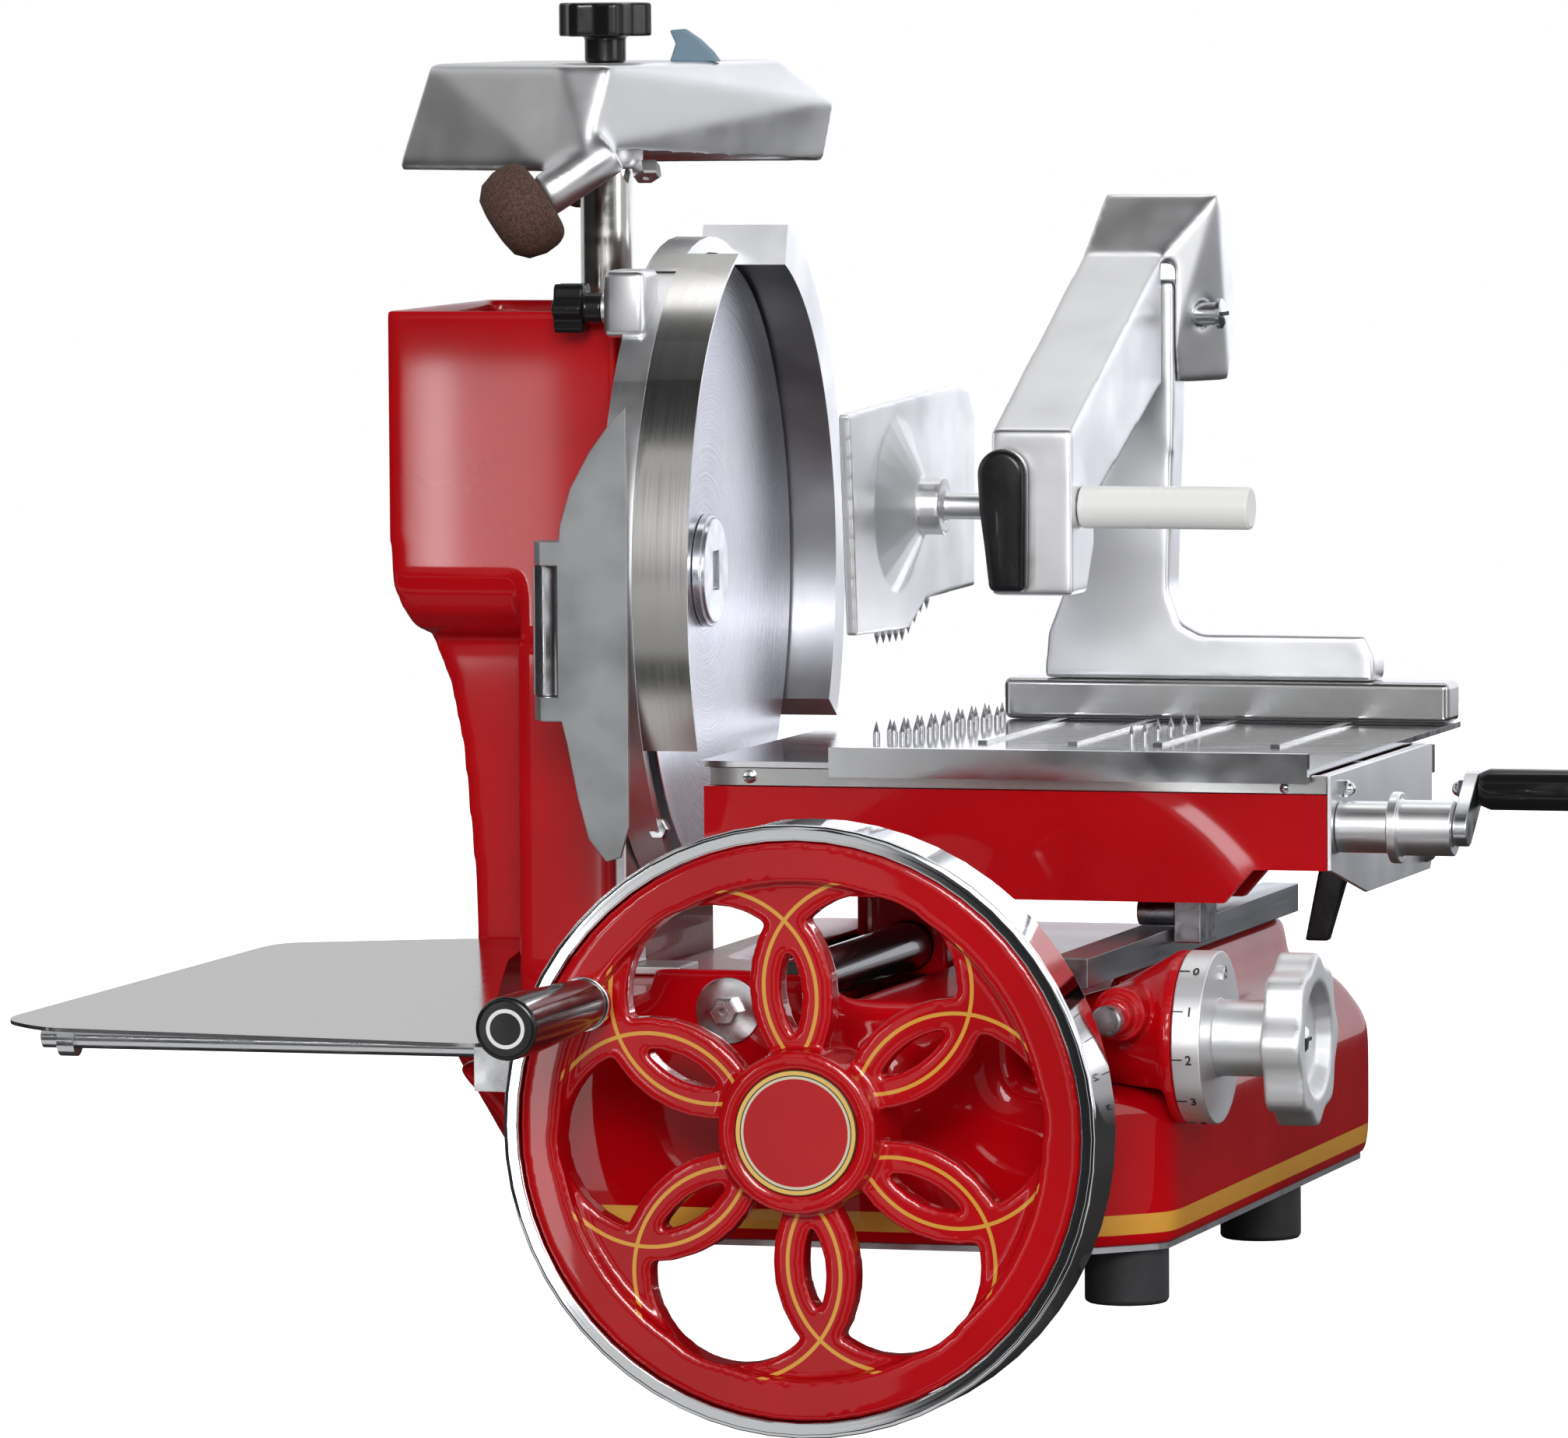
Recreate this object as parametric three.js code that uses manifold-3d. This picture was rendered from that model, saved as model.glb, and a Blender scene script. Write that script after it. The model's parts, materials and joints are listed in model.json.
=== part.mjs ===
// A hand-cranked flywheel slicer, built as an assembly of separate pieces.
// Millimetres, +Z up. The origin is the middle of the four feet at counter level.
// X runs along the blade axis towards the feed crank, Y runs away from the operator.
import * as THREE from "three";
import { mergeVertices } from "three/addons/utils/BufferGeometryUtils.js";
import { ConvexGeometry } from "three/addons/geometries/ConvexGeometry.js";
import Module from "manifold-3d";

const wasm = await Module();
wasm.setup();

// Clearances and facet counts shared by the whole assembly.
const GAP = 0.3;
const RUN = 0.3;
const CUT = 6;
const WELD = 1e-4;
const FACETS_LARGE = 60;
const FACETS = 32;
const FACETS_SMALL = 20;
const FACETS_TINY = 12;
const TURN = 2 * Math.PI;
const QUARTER = Math.PI / 2;

// Feet and base casting.
const FOOT_DIAMETER = 42;
const FOOT_HEIGHT = 28;
const FOOT_EDGE = 1.5;
const FOOT_PITCH_X = 276;
const FOOT_PITCH_Y = 278;
const COVER_THICKNESS = 3;
const COVER_INSET = 1;
const BASE_FRONT = -191;
const BASE_REAR = 276;
const BASE_RIGHT = 167;
const BASE_LEFT = -158;
const BASE_DECK_Z = 151;
const BASE_DECK_RIGHT = 87;
const BASE_SIDE_Z = 102;
const BASE_BEVEL_X = 149;
const BASE_BEVEL_Z = 125;
const BASE_CORNER = 34;
const BASE_WALL = 8;
const BASE_ROOF = 9;
const WING_TOP_Z = 118;
const WING_FRONT_LEFT = -196;
const WING_REAR_LEFT = -242;
const WING_SPLIT_Y = -60;
const WING_REAR_Y = 200;
const WING_LIP = 6;
const WING_KNEE_X = -172;
const WING_KNEE_Z = 88;
const WING_REAR_KNEE_X = -200;
const WING_REAR_KNEE_Z = 42;
const SHOULDER_Z = 110;
const SHOULDER_LEFT = 92;
const SHOULDER_REAR = -96;
const WEB_THICKNESS = 8;

// Front tie plate, guide rod and flat rail for the carriage.
const TIE_PLATE_LEFT = -95;
const TIE_PLATE_RIGHT = 4;
const TIE_PLATE_Z = 169;
const TIE_PLATE_THICKNESS = 9;
const GUIDE_X = -22;
const GUIDE_Z = 158;
const GUIDE_DIAMETER = 25;
const GUIDE_REAR = 128;
const GUIDE_LUG_DEPTH = 18;
const GUIDE_LUG_WIDTH = 44;
const TROUGH_WIDTH = 44;
const RAIL_X = 122;
const RAIL_WIDTH = 20;
const RAIL_TOP_Z = 175;
const RAIL_HEIGHT = 15;
const RAIL_REAR = 250;
const RAIL_RIB_WIDTH = 12;

// Blade size and the height of its centre, which the column and the sharpener follow.
const BLADE_RADIUS = 160;
const BLADE_Y = 34;
const BLADE_LOW_Z = 190;
const BLADE_Z = BLADE_LOW_Z + BLADE_RADIUS;

// Column casting: a hollow head on a narrower stem.
const COLUMN_BEHIND_EDGE = 76;
const COLUMN_FRONT = BLADE_Y - BLADE_RADIUS + COLUMN_BEHIND_EDGE;
const COLUMN_DEPTH = 168;
const COLUMN_RIGHT = -150;
const COLUMN_WIDTH = 122;
const COLUMN_ABOVE_BLADE = 136;
const COLUMN_TOP_Z = BLADE_Z + COLUMN_ABOVE_BLADE;
const COLUMN_WALL = 5;
const COLUMN_HOLLOW = 102;
const COLUMN_FLOOR_Z = COLUMN_TOP_Z - COLUMN_HOLLOW;
const RIDGE_X = -203;
const RIDGE_FORWARD = 5;
const SHELF_BELOW_BLADE = 32;
const SHELF_Z = BLADE_Z - SHELF_BELOW_BLADE;
const SHELF_RISE = 34;
const SHELF_DEPTH = 42;
const CHAIN_WELL_WIDTH = 15;
const CHAIN_WELL_REAR = 80;
const CHAIN_WELL_FRONT = -12;

// Flywheel with its petal spokes, rim, shaft and grip.
const WHEEL_X = 10.5;
const WHEEL_Z = 96.5;
const WHEEL_FRONT = -284;
const RIM_RADIUS = 150;
const RIM_WIDTH = 40;
const RIM_WALL = 8;
const WHEEL_FACE_SETBACK = 2;
const WHEEL_THICKNESS = 22;
const WHEEL_WEB_INSET = 28.5;
const WHEEL_WEB_RADIUS = RIM_RADIUS - WHEEL_WEB_INSET;
const RIB_RECESS = 7;
const WHEEL_TURN = THREE.MathUtils.degToRad(4.7);
const PETALS = 6;
const PETAL_CENTRE_SHARE = 0.522;
const PETAL_CENTRE = RIM_RADIUS * PETAL_CENTRE_SHARE;
const PETAL_RADIUS_SHARE = 131 / 375;
const PETAL_RADIUS = RIM_RADIUS * PETAL_RADIUS_SHARE;
const RIB_WIDTH_SHARE = 31 / 300;
const RIB_WIDTH = RIM_RADIUS * RIB_WIDTH_SHARE;
const HUB_RADIUS = 40;
const HUB_PROUD = 5;
const HUB_LENGTH = 52;
const BADGE_RADIUS = 31;
const BADGE_RECESS = 3;
const BADGE_THICKNESS = 2.4;
const SHAFT_DIAMETER = 22;
const SHAFT_BOSS_RADIUS = 27;
const SHAFT_BOSS_PROUD = 12;
const SHAFT_SOCKET = 34;
const GRIP_INSET = 26.6;
const GRIP_RADIUS_AT = RIM_RADIUS - GRIP_INSET;
const GRIP_ANGLE = THREE.MathUtils.degToRad(150.6);
const GRIP_DIAMETER = 31;
const GRIP_ROOT_DIAMETER = 25;
const GRIP_LENGTH = 124;
const GRIP_FULL_SHARE = 0.25;
const GRIP_SPINDLE_SHARE = 0.9;
const GRIP_BORE_SHARE = 0.92;
const GRIP_BORE = 10;
const GRIP_COLLAR = 5;
const GRIP_COLLAR_DIAMETER = 27;

// Bevel pair, lay shaft with its eccentric, and the chain drive to the blade.
const DRIVE_Y = 34;
const BEVEL_TEETH = 24;
const BEVEL_RADIUS = 30;
const BEVEL_FACE = 10;
const BEVEL_HUB_RADIUS = 16;
const BEVEL_HUB_LENGTH = 10;
const BEVEL_BACKLASH_SHARE = 0.62;
const BEVEL_ROOT_SHARE = 1.7;
const BEVEL_TIP_SHARE = 0.8;
const BEVEL_PHASE_SHARE = 0.5;
const BEVEL_ADDENDUM = 2.2;
const BEVEL_DEDENDUM = 3;
const LAY_DIAMETER = 16;
const LAY_END_X = -182;
const LAY_WEB_X = -50;
const LAY_WEB_OUTER_X = -140;
const LAY_WEB_HALF = 32;
const SHAFT_WEB_Y = -64;
const COLLAR_X = -80;
const COLLAR_THICKNESS = 8;
const COLLAR_RADIUS = 28;
const ECCENTRIC_THROW = 12;
const ECCENTRIC_WALL = 2;
const ECCENTRIC_RADIUS = LAY_DIAMETER / 2 + ECCENTRIC_THROW + ECCENTRIC_WALL;
const ECCENTRIC_LENGTH = 11;
const STRAP_WALL = 5.5;
const ROD_PIN_DIAMETER = 10;
const ROD_LENGTH = 150;
const ROD_WIDTH = 14;
const ROD_EYE_RADIUS = 11;
const ROD_THICKNESS = 8;
const SPROCKET_X = -174;
const SPROCKET_THICKNESS = 4;
const DRIVE_SPROCKET_TEETH = 28;
const BLADE_SPROCKET_TEETH = 10;
const CHAIN_PITCH = 6.35;
const CHAIN_WIDTH = 7;
const CHAIN_THICKNESS = 4.6;
const CHAIN_SLACK = 0.6;
const TOOTH_DEPTH = 2;
const SPROCKET_HUB_LENGTH = 4;
const SPROCKET_HUB_SHARE = 0.5;

// Blade head. It is toed a few degrees so that only the near edge cuts.
const BLADE_X = -121;
const TOE = THREE.MathUtils.degToRad(3);
const BLADE_LAND = 10;
const BLADE_DISH_RADIUS = BLADE_RADIUS - BLADE_LAND;
const BLADE_DISH_DEPTH = 8;
const BLADE_HUB_RADIUS = 42;
const BLADE_THICKNESS = 2.4;
const BLADE_BEVEL = 5;
const NUT_RADIUS = 29;
const NUT_FACE = 2;
const NUT_STEP = 2;
const NUT_SLOT_WIDTH = 13;
const NUT_SLOT_HEIGHT = 20;
const NUT_SLOT_DEPTH = 3;
const SPINDLE_DIAMETER = 22;
const SPINDLE_TAIL_DIAMETER = 11;
const SPINDLE_TAIL = 58;
const SPINDLE_SHOULDER = 47;
const BEARING_RADIUS = 30;
const BEARING_FLANGE_RADIUS = 58;
const BEARING_FLANGE = 4.2;
const BEARING_LENGTH = 20;

// Guard: backing disc, near strip and the deep far wall.
const GUARD_BACK = 17;
const GUARD_BACK_THICKNESS = 4;
const GUARD_RUN = 3.5;
const GUARD_NEAR_WALL = 8;
const GUARD_FAR_WALL = 21.5;
const GUARD_INNER = BLADE_RADIUS + GUARD_RUN;
const GUARD_OUTER = GUARD_INNER + GUARD_NEAR_WALL;
const GUARD_FAR_OUTER = GUARD_INNER + GUARD_FAR_WALL;
const GUARD_NEAR_X = -4;
const GUARD_FAR_X = 24;
const GUARD_FAR_START = THREE.MathUtils.degToRad(18);
const GUARD_FOOT_Z = 264;
const GUARD_BORE = 47;

// Lower guard bracket plates.
const BRACKET_THICKNESS = 6;
const BRACKET_FRONT = -78;
const BRACKET_WIDTH = 34;
const BRACKET_BOTTOM_Z = 156;
const BRACKET_TOP_Z = 236;

// Blade cover band with its knob.
const BAND_CLEAR = 0.7;
const BAND_THICKNESS = 1.8;
const BAND_RADIUS = GUARD_OUTER + BAND_CLEAR + BAND_THICKNESS;
const BAND_LEFT = -3;
const BAND_WIDTH = 28;
const BAND_START = THREE.MathUtils.degToRad(19);
const BAND_END = THREE.MathUtils.degToRad(118);
const TAB_WIDTH = 15;
const TAB_END = THREE.MathUtils.degToRad(25);
const COVER_BUSH_INSET = 1.5;
const COVER_BUSH_AT = GUARD_OUTER - COVER_BUSH_INSET;
const COVER_BUSH_ANGLE = THREE.MathUtils.degToRad(35.6);
const COVER_BUSH_RADIUS = 8;
const COVER_BUSH_LENGTH = 14;
const COVER_KNOB_RADIUS = 14;
const COVER_KNOB_LENGTH = 15;
const COVER_NECK_RADIUS = 8;
const COVER_NECK_LENGTH = 9;
const COVER_KNOB_LOBES = 6;
const KNOB_LOBE_SHARE = 0.2;

// Slice deflector on its upright hinge pin.
const HINGE_X = -163;
const HINGE_OUTSET = 2;
const HINGE_Y = BLADE_Y - BLADE_RADIUS - HINGE_OUTSET;
const HINGE_PIN_DIAMETER = 8;
const HINGE_PIN_BELOW = 66;
const HINGE_PIN_ABOVE = 24;
const HINGE_PIN_BOTTOM_Z = BLADE_Z - HINGE_PIN_BELOW;
const HINGE_PIN_TOP_Z = BLADE_Z + HINGE_PIN_ABOVE;
const HINGE_LUG_LENGTH = 12;
const HINGE_BARREL_DIAMETER = 13;
const HINGE_ARM_WIDTH = 9;
const DEFLECTOR_WIDTH = 46;
const DEFLECTOR_ARM_SHARE = 0.4;
const DEFLECTOR_SETOFF = 11;
const DEFLECTOR_THICKNESS = 3;
const DEFLECTOR_BELOW = 136;
const DEFLECTOR_ABOVE = 92;
const DEFLECTOR_BOTTOM_Z = BLADE_Z - DEFLECTOR_BELOW;
const DEFLECTOR_TOP_Z = BLADE_Z + DEFLECTOR_ABOVE;

// Sharpener on its post.
const POST_X = -188;
const POST_Y = 60;
const POST_DIAMETER = 27;
const POST_RISE = 88;
const POST_TOP_Z = BLADE_Z + BLADE_RADIUS + POST_RISE;
const POST_SOCKET_RADIUS = 22;
const POST_SOCKET_DEPTH = 34;
const HOOD_SEAT_DROP = 42;
const HOOD_BOTTOM_Z = POST_TOP_Z - HOOD_SEAT_DROP;
const HOOD_HEIGHT = 54;
const HOOD_LEFT = 106;
const HOOD_RIGHT = 93;
const HOOD_FRONT = 70;
const HOOD_REAR = 110;
const HOOD_WALL = 4;
const HOOD_SLEEVE_RADIUS = 19;
const STONE_RADIUS = 25;
const STONE_THICKNESS = 30;
const STONE_BORE_SHARE = 0.8;
const STONE_SPINDLE_RADIUS = 5;
const STONE_REACH = 36;
const STONE_ARM_RADIUS = 11;
const STONE_TILT_SHARES = [-0.773, -0.329, -0.543];
const HONE_RADIUS = 17;
const HONE_THICKNESS = 9;
const HONE_REACH = 28;
const HONE_ARM_RADIUS = 9;
const HONE_TILT_SHARES = [-0.45, 0.6, -0.5];
const TOP_KNOB_RADIUS = 25;
const TOP_KNOB_LENGTH = 17;
const TOP_NECK_RADIUS = 10.8;
const TOP_NECK_LENGTH = 14;
const TOP_STUD_RADIUS = 5;
const FIN_X = -149;
const FIN_Y = 92;
const FIN_LENGTH = 27;
const FIN_HEIGHT = 17;
const FIN_THICKNESS = 5;

// Receiving tray with its rod.
const TRAY_SLOPE_SHARE = 0.128;
const TRAY_SLOPE = Math.atan(TRAY_SLOPE_SHARE);
const TRAY_Z = 162;
const TRAY_THICKNESS = 2;
const TRAY_NEAR_Y = -246;
const TRAY_FAR_Y = -14;
const TRAY_RIGHT = -162;
const TRAY_LEFT = -424;
const TRAY_CORNER = 22;
const TRAY_LEFT_CORNER_SHARE = 0.6;
const TRAY_RIGHT_CORNER_SHARE = 0.2;
const TRAY_ROD_DIAMETER = 12;
const TRAY_ROD_Y = -214;
const TRAY_ROD_LEFT = -402;
const TRAY_ROD_RIGHT = -173;
const TRAY_CLIP_LENGTH = 9;
const TRAY_CLIP_DIAMETER = 16;
const TRAY_BLOCK_WIDTH = 20;
const TRAY_BLOCK_HEIGHT = 22;
const TRAY_BLOCK_DEPTH = 36;

// Carriage: red frame, steel trim, side plate, bearings.
const CARRIAGE_FRONT = -54;
const CARRIAGE_DEPTH = 226;
const CARRIAGE_LEFT = -104;
const CARRIAGE_RIGHT = 220;
const CARRIAGE_BOTTOM_Z = 191;
const CARRIAGE_TOP_Z = 246;
const CARRIAGE_WALL = 5;
const CARRIAGE_STEP_X = 182;
const CARRIAGE_STEP_Z = 208;
const CARRIAGE_STEP_RUN = 15;
const CARRIAGE_DECK = 5;
const TRIM_HEIGHT = 9.4;
const SIDE_PLATE_THICKNESS = 2;
const SIDE_PLATE_BEVEL = 79;
const BEARING_BLOCK_FRONT = 37;
const BEARING_BLOCK_DEPTH = 30;
const BEARING_BLOCK_WIDTH = 40;
const BEARING_BLOCK_LOW_Z = 143;
const DRIVE_LUG_X = -100;
const DRIVE_LUG_WIDTH = 6;
const DRIVE_LUG_LOW_Z = 114;
const DRIVE_LUG_FRONT = 214;
const DRIVE_LUG_DEPTH = 16;
const DRIVE_SLOT_CLEAR = 3;
const ROLLER_BRACKET_X = 134;
const ROLLER_BRACKET_WIDTH = 14;
const ROLLER_BRACKET_FRONT = -26;
const ROLLER_BRACKET_DEPTH = 34;
const CARRIAGE_WEB_FRONT = -14;
const CARRIAGE_WEB = 9;
const ROLLER_BRACKET_LOW_Z = 168;
const ROLLER_RADIUS = 7;
const CARRIAGE_FORWARD = 180;
const CARRIAGE_BACK = 20;

// Feed table, fence, spikes and feed crank.
const TABLE_LEFT = -106;
const TABLE_RIGHT = 212;
const TABLE_FRONT = -57;
const TABLE_REAR = 284;
const TABLE_Z = 259;
const TABLE_THICKNESS = 3;
const TABLE_SKIRT_CLEAR = 0.4;
const LIP_LEFT = -36;
const LIP_HEIGHT = 15;
const LIP_THICKNESS = 5;
const LIP_TOP_Z = 267;
const RIB_HEIGHT = 1.6;
const RIB_BREADTH = 5;
const TABLE_RIBS_X = [5, 53, 98, 160];
const TABLE_RIB_FRONT = 84;
const TABLE_RIB_REAR = 252;
const SPIKE_RADIUS = 1.6;
const SPIKE_HEIGHT = 10;
const SPIKE_SINK = 1;
const SPIKE_ROWS_X = [-54, -47, -40, 80];
const SPIKE_PITCH = 18;
const SPIKE_LEAN = 2.4;
const SPIKE_COUNTS = [9, 9, 8, 6];
const SPIKE_FRONT = 92;
const FENCE_LEFT = -30;
const FENCE_FRONT = 256;
const FENCE_DEPTH = 27;
const FENCE_TOP_Z = 281;
const NUT_LUG_X = 60;
const NUT_LUG_WIDTH = 16;
const NUT_LUG_DROP = 34;
const CRANK_Y = -36;
const CRANK_Z = 229;
const BARREL_RADIUS = 13;
const BARREL_LENGTH = 27;
const BARREL_RIDGE_RADIUS = 18;
const BARREL_RIDGE_LENGTH = 5;
const BARREL_NOSE_RADIUS = 14;
const BARREL_NOSE_LENGTH = 27;
const FEED_SCREW_DIAMETER = 10;
const FEED_SCREW_LEFT = -20;
const ARM_THICKNESS = 7;
const ARM_WIDTH = 18;
const ARM_THROW = 30;
const ARM_ANGLE = THREE.MathUtils.degToRad(37);
const CRANK_GRIP_RADIUS = 10.5;
const CRANK_GRIP_LENGTH = 50;
const CRANK_BORE_SHARE = 0.94;
const CRANK_GRIP_PIN = 3.5;
const TABLE_TRAVEL_IN = 0;
const TABLE_TRAVEL_OUT = 60;
const RELEASE_Y = 20;
const RELEASE_TOP_Z = 206;
const RELEASE_DROP = 40;
const RELEASE_WIDTH = 16;
const RELEASE_THICKNESS = 7;

// Meat clamp: upright on the fence, arm, pusher and lock lever.
const CLAMP_LEFT = -8;
const CLAMP_FOOT_LENGTH = 180;
const CLAMP_FOOT_HEIGHT = 24;
const CLAMP_STEM_RIGHT = 64;
const CLAMP_TOP_Z = 492;
const CLAMP_TONGUE_LEFT = 36;
const CLAMP_THICKNESS = 26;
const CLAMP_CLEAR = 1.5;
const SLOT_CLEAR = 8;
const PIVOT_Y = 274;
const PIVOT_Z = 474;
const PIVOT_RADIUS = 6;
const ARM_LEFT = 16;
const ARM_RIGHT = 60;
const ARM_HEAD_LEFT = 13;
const ARM_HEAD_RIGHT = 56;
const ARM_HEAD_FRONT = 74;
const ARM_HEAD_DEPTH = 46;
const ARM_HEAD_BOTTOM_Z = 336;
const ARM_HEAD_TOP_Z = 421;
const ARM_REAR_LEFT = 22;
const ARM_REAR_RIGHT = 84;
const ARM_REAR_FRONT = 250;
const ARM_REAR_DEPTH = 64;
const ARM_REAR_LOW_Z = 438;
const ARM_REAR_TOP_Z = 538;
const PUSH_SHAFT_RADIUS = 7;
const PUSH_SHAFT_Z = 381;
const PUSH_SHAFT_Y = 92;
const PUSHER_X = -42;
const PUSHER_THICKNESS = 6;
const PUSHER_FRONT = 2;
const PUSHER_DEPTH = 244;
const PUSHER_LOW_Z = 316;
const PUSHER_HEIGHT = 122;
const PUSHER_HUB_RADIUS = 15;
const PUSHER_HUB_LENGTH = 26;
const PUSHER_FLARE_RADIUS = 46;
const PUSHER_FLARE_LENGTH = 14;
const HANDLE_RADIUS = 11;
const HANDLE_LENGTH = 90;
const HANDLE_SOCKET = 24;
const LEVER_LEFT = 8;
const LEVER_WIDTH = 26;
const LEVER_THICKNESS = 12;
const LEVER_TOP_Z = 412;
const LEVER_LENGTH = 74;

// Slice thickness control.
const DIAL_Y = -145;
const DIAL_Z = 133;
const DIAL_LEFT = 173;
const DIAL_RADIUS = 43;
const DIAL_LENGTH = 14.5;
const DIAL_NECK_RADIUS = 19;
const DIAL_NECK_LENGTH = 30;
const HANDWHEEL_RADIUS = 43;
const HANDWHEEL_LENGTH = 20;
const HANDWHEEL_LOBES = 8;
const HANDWHEEL_LOBE_SHARE = 0.11;
const HANDWHEEL_DISH = 8;
const HANDWHEEL_DISH_SHARE = 0.68;
const HOUSING_LEFT = 112;
const HOUSING_SMALL_RADIUS = 18;
const HOUSING_WAIST_X = 136;
const HOUSING_WAIST_RADIUS = 25;
const HOUSING_FLANGE = 5;
const SLEEVE_X = 148;
const SLEEVE_Z = 148;
const SLEEVE_RADIUS = 13.5;
const SLEEVE_FRONT = -193;
const ADJUSTER_RADIUS = 9;
const ADJUSTER_PROUD = 11;
const ADJUSTER_LENGTH = 30;

// Finishes as seen in daylight.
const finish = (color, roughness, metalness) => ({ color, roughness, metalness });
const RED = finish(0xa80012, 0.18, 0);
const CHROME = finish(0xd9dbdd, 0.08, 1);
const STEEL = finish(0xb9bbbd, 0.28, 1);
const DARK_STEEL = finish(0x54565a, 0.3, 1);
const ALUMINIUM = finish(0xd3d5d7, 0.42, 0.9);
const GREY_ALUMINIUM = finish(0x8f9294, 0.6, 0.7);
const BLACK = finish(0x101012, 0.3, 0);
const RUBBER = finish(0x202225, 0.8, 0);
const WHITE = finish(0xf0f0ee, 0.5, 0);
const STONE = finish(0x6d3f2c, 0.95, 0);
const BLUE_GREY = finish(0x6e8797, 0.5, 0);

// Turns a closed geometry into a solid, whichever way round its faces were listed.
function toSolid(geometry) {
  const loose = geometry.index ? geometry.toNonIndexed() : geometry;
  const bare = new THREE.BufferGeometry();
  bare.setAttribute("position", loose.getAttribute("position"));
  const merged = mergeVertices(bare, WELD);
  const kept = [];
  const corners = merged.index.array;
  for (let i = 0; i < corners.length; i += 3) {
    const [a, b, c] = corners.slice(i, i + 3);
    if (a !== b && b !== c && c !== a) kept.push(a, b, c);
  }
  const build = (triVerts) =>
    new wasm.Manifold(
      new wasm.Mesh({
        numProp: 3,
        vertProperties: merged.attributes.position.array,
        triVerts: new Uint32Array(triVerts),
      }),
    );
  const made = build(kept);
  return made.volume() < 0 ? build(kept.reverse()) : made;
}

function toGeometry(solid) {
  const mesh = solid.getMesh();
  const geometry = new THREE.BufferGeometry();
  geometry.setAttribute("position", new THREE.BufferAttribute(mesh.vertProperties, 3));
  geometry.setIndex(new THREE.BufferAttribute(mesh.triVerts, 1));
  return geometry;
}

const join = (...parts) => toGeometry(parts.map(toSolid).reduce((a, b) => a.add(b)));
const overlap = (a, b) => toGeometry(toSolid(a).intersect(toSolid(b)));
function cut(body, ...tools) {
  return toGeometry(tools.map(toSolid).reduce((a, b) => a.subtract(b), toSolid(body)));
}

// A block between two corners.
function block(x0, x1, y0, y1, z0, z1) {
  const made = new THREE.BoxGeometry(x1 - x0, y1 - y0, z1 - z0);
  return made.translate((x0 + x1) / 2, (y0 + y1) / 2, (z0 + z1) / 2);
}

// Stands a shape drawn around local +Y along X, Y or Z, from a start point.
function along(axis, geometry, start) {
  if (axis === "x") geometry.rotateZ(-QUARTER);
  if (axis === "z") geometry.rotateX(QUARTER);
  return geometry.translate(start[0], start[1], start[2]);
}

// A round bar or cone from a start point along an axis.
function bar(axis, start, length, radius, facets = FACETS, endRadius = radius) {
  const made = new THREE.CylinderGeometry(endRadius, radius, length, facets);
  made.translate(0, length / 2, 0);
  return along(axis, made, start);
}

// A turned piece: radius and height pairs around local +Y.
function turned(axis, start, profile, facets = FACETS) {
  const points = profile.map(([r, h]) => new THREE.Vector2(r, h));
  return along(axis, new THREE.LatheGeometry(points, facets), start);
}

// A flat outline pushed through a thickness. The outline is read as YZ, XZ or XY.
function plate(axis, from, to, outline) {
  const shape = Array.isArray(outline)
    ? new THREE.Shape(outline.map(([u, v]) => new THREE.Vector2(u, v)))
    : outline;
  const made = new THREE.ExtrudeGeometry(shape, {
    depth: to - from,
    bevelEnabled: false,
    curveSegments: FACETS_TINY,
  });
  const frame = new THREE.Matrix4();
  const [ex, ey, ez] = [
    new THREE.Vector3(1, 0, 0),
    new THREE.Vector3(0, 1, 0),
    new THREE.Vector3(0, 0, 1),
  ];
  if (axis === "x") frame.makeBasis(ey, ez, ex).setPosition(from, 0, 0);
  if (axis === "y") frame.makeBasis(ex, ez, ey.clone().negate()).setPosition(0, to, 0);
  if (axis === "z") frame.setPosition(0, 0, from);
  return made.applyMatrix4(frame);
}

function hull(points) {
  return new ConvexGeometry(points.map(([x, y, z]) => new THREE.Vector3(x, y, z)));
}

// A plan outline with rounded corners: each corner is x, y and its radius.
function roundedOutline(corners) {
  const shape = new THREE.Shape();
  const count = corners.length;
  corners.forEach(([x, y, radius], i) => {
    const here = new THREE.Vector2(x, y);
    const before = new THREE.Vector2(...corners[(i + count - 1) % count].slice(0, 2));
    const after = new THREE.Vector2(...corners[(i + 1) % count].slice(0, 2));
    const enter = here.clone().add(before.sub(here).setLength(radius));
    const leave = here.clone().add(after.sub(here).setLength(radius));
    if (i === 0) shape.moveTo(enter.x, enter.y);
    else shape.lineTo(enter.x, enter.y);
    shape.quadraticCurveTo(x, y, leave.x, leave.y);
  });
  shape.closePath();
  return shape;
}

// A lobed knob outline around its own centre.
function lobedOutline(radius, lobes, share, facets) {
  const points = [];
  for (let i = 0; i < facets; i++) {
    const angle = (i / facets) * TURN;
    const r = radius * (1 - share / 2 + (share / 2) * Math.cos(lobes * angle));
    points.push([r * Math.cos(angle), r * Math.sin(angle)]);
  }
  return points;
}

function shifted(outline, u, v) {
  return outline.map(([a, b]) => [a + u, b + v]);
}

// Part of a ring in the head's own frame. Angles run from straight up towards the operator.
function ringSector(x0, x1, inner, outer, start, end, steps) {
  const arc = (radius, from, to) => {
    const points = [];
    for (let i = 0; i <= steps; i++) {
      const angle = from + ((to - from) * i) / steps;
      points.push([-radius * Math.sin(angle), radius * Math.cos(angle)]);
    }
    return points;
  };
  return plate("x", x0, x1, [...arc(outer, start, end), ...arc(inner, end, start)]);
}

const part = new THREE.Group();

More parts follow.
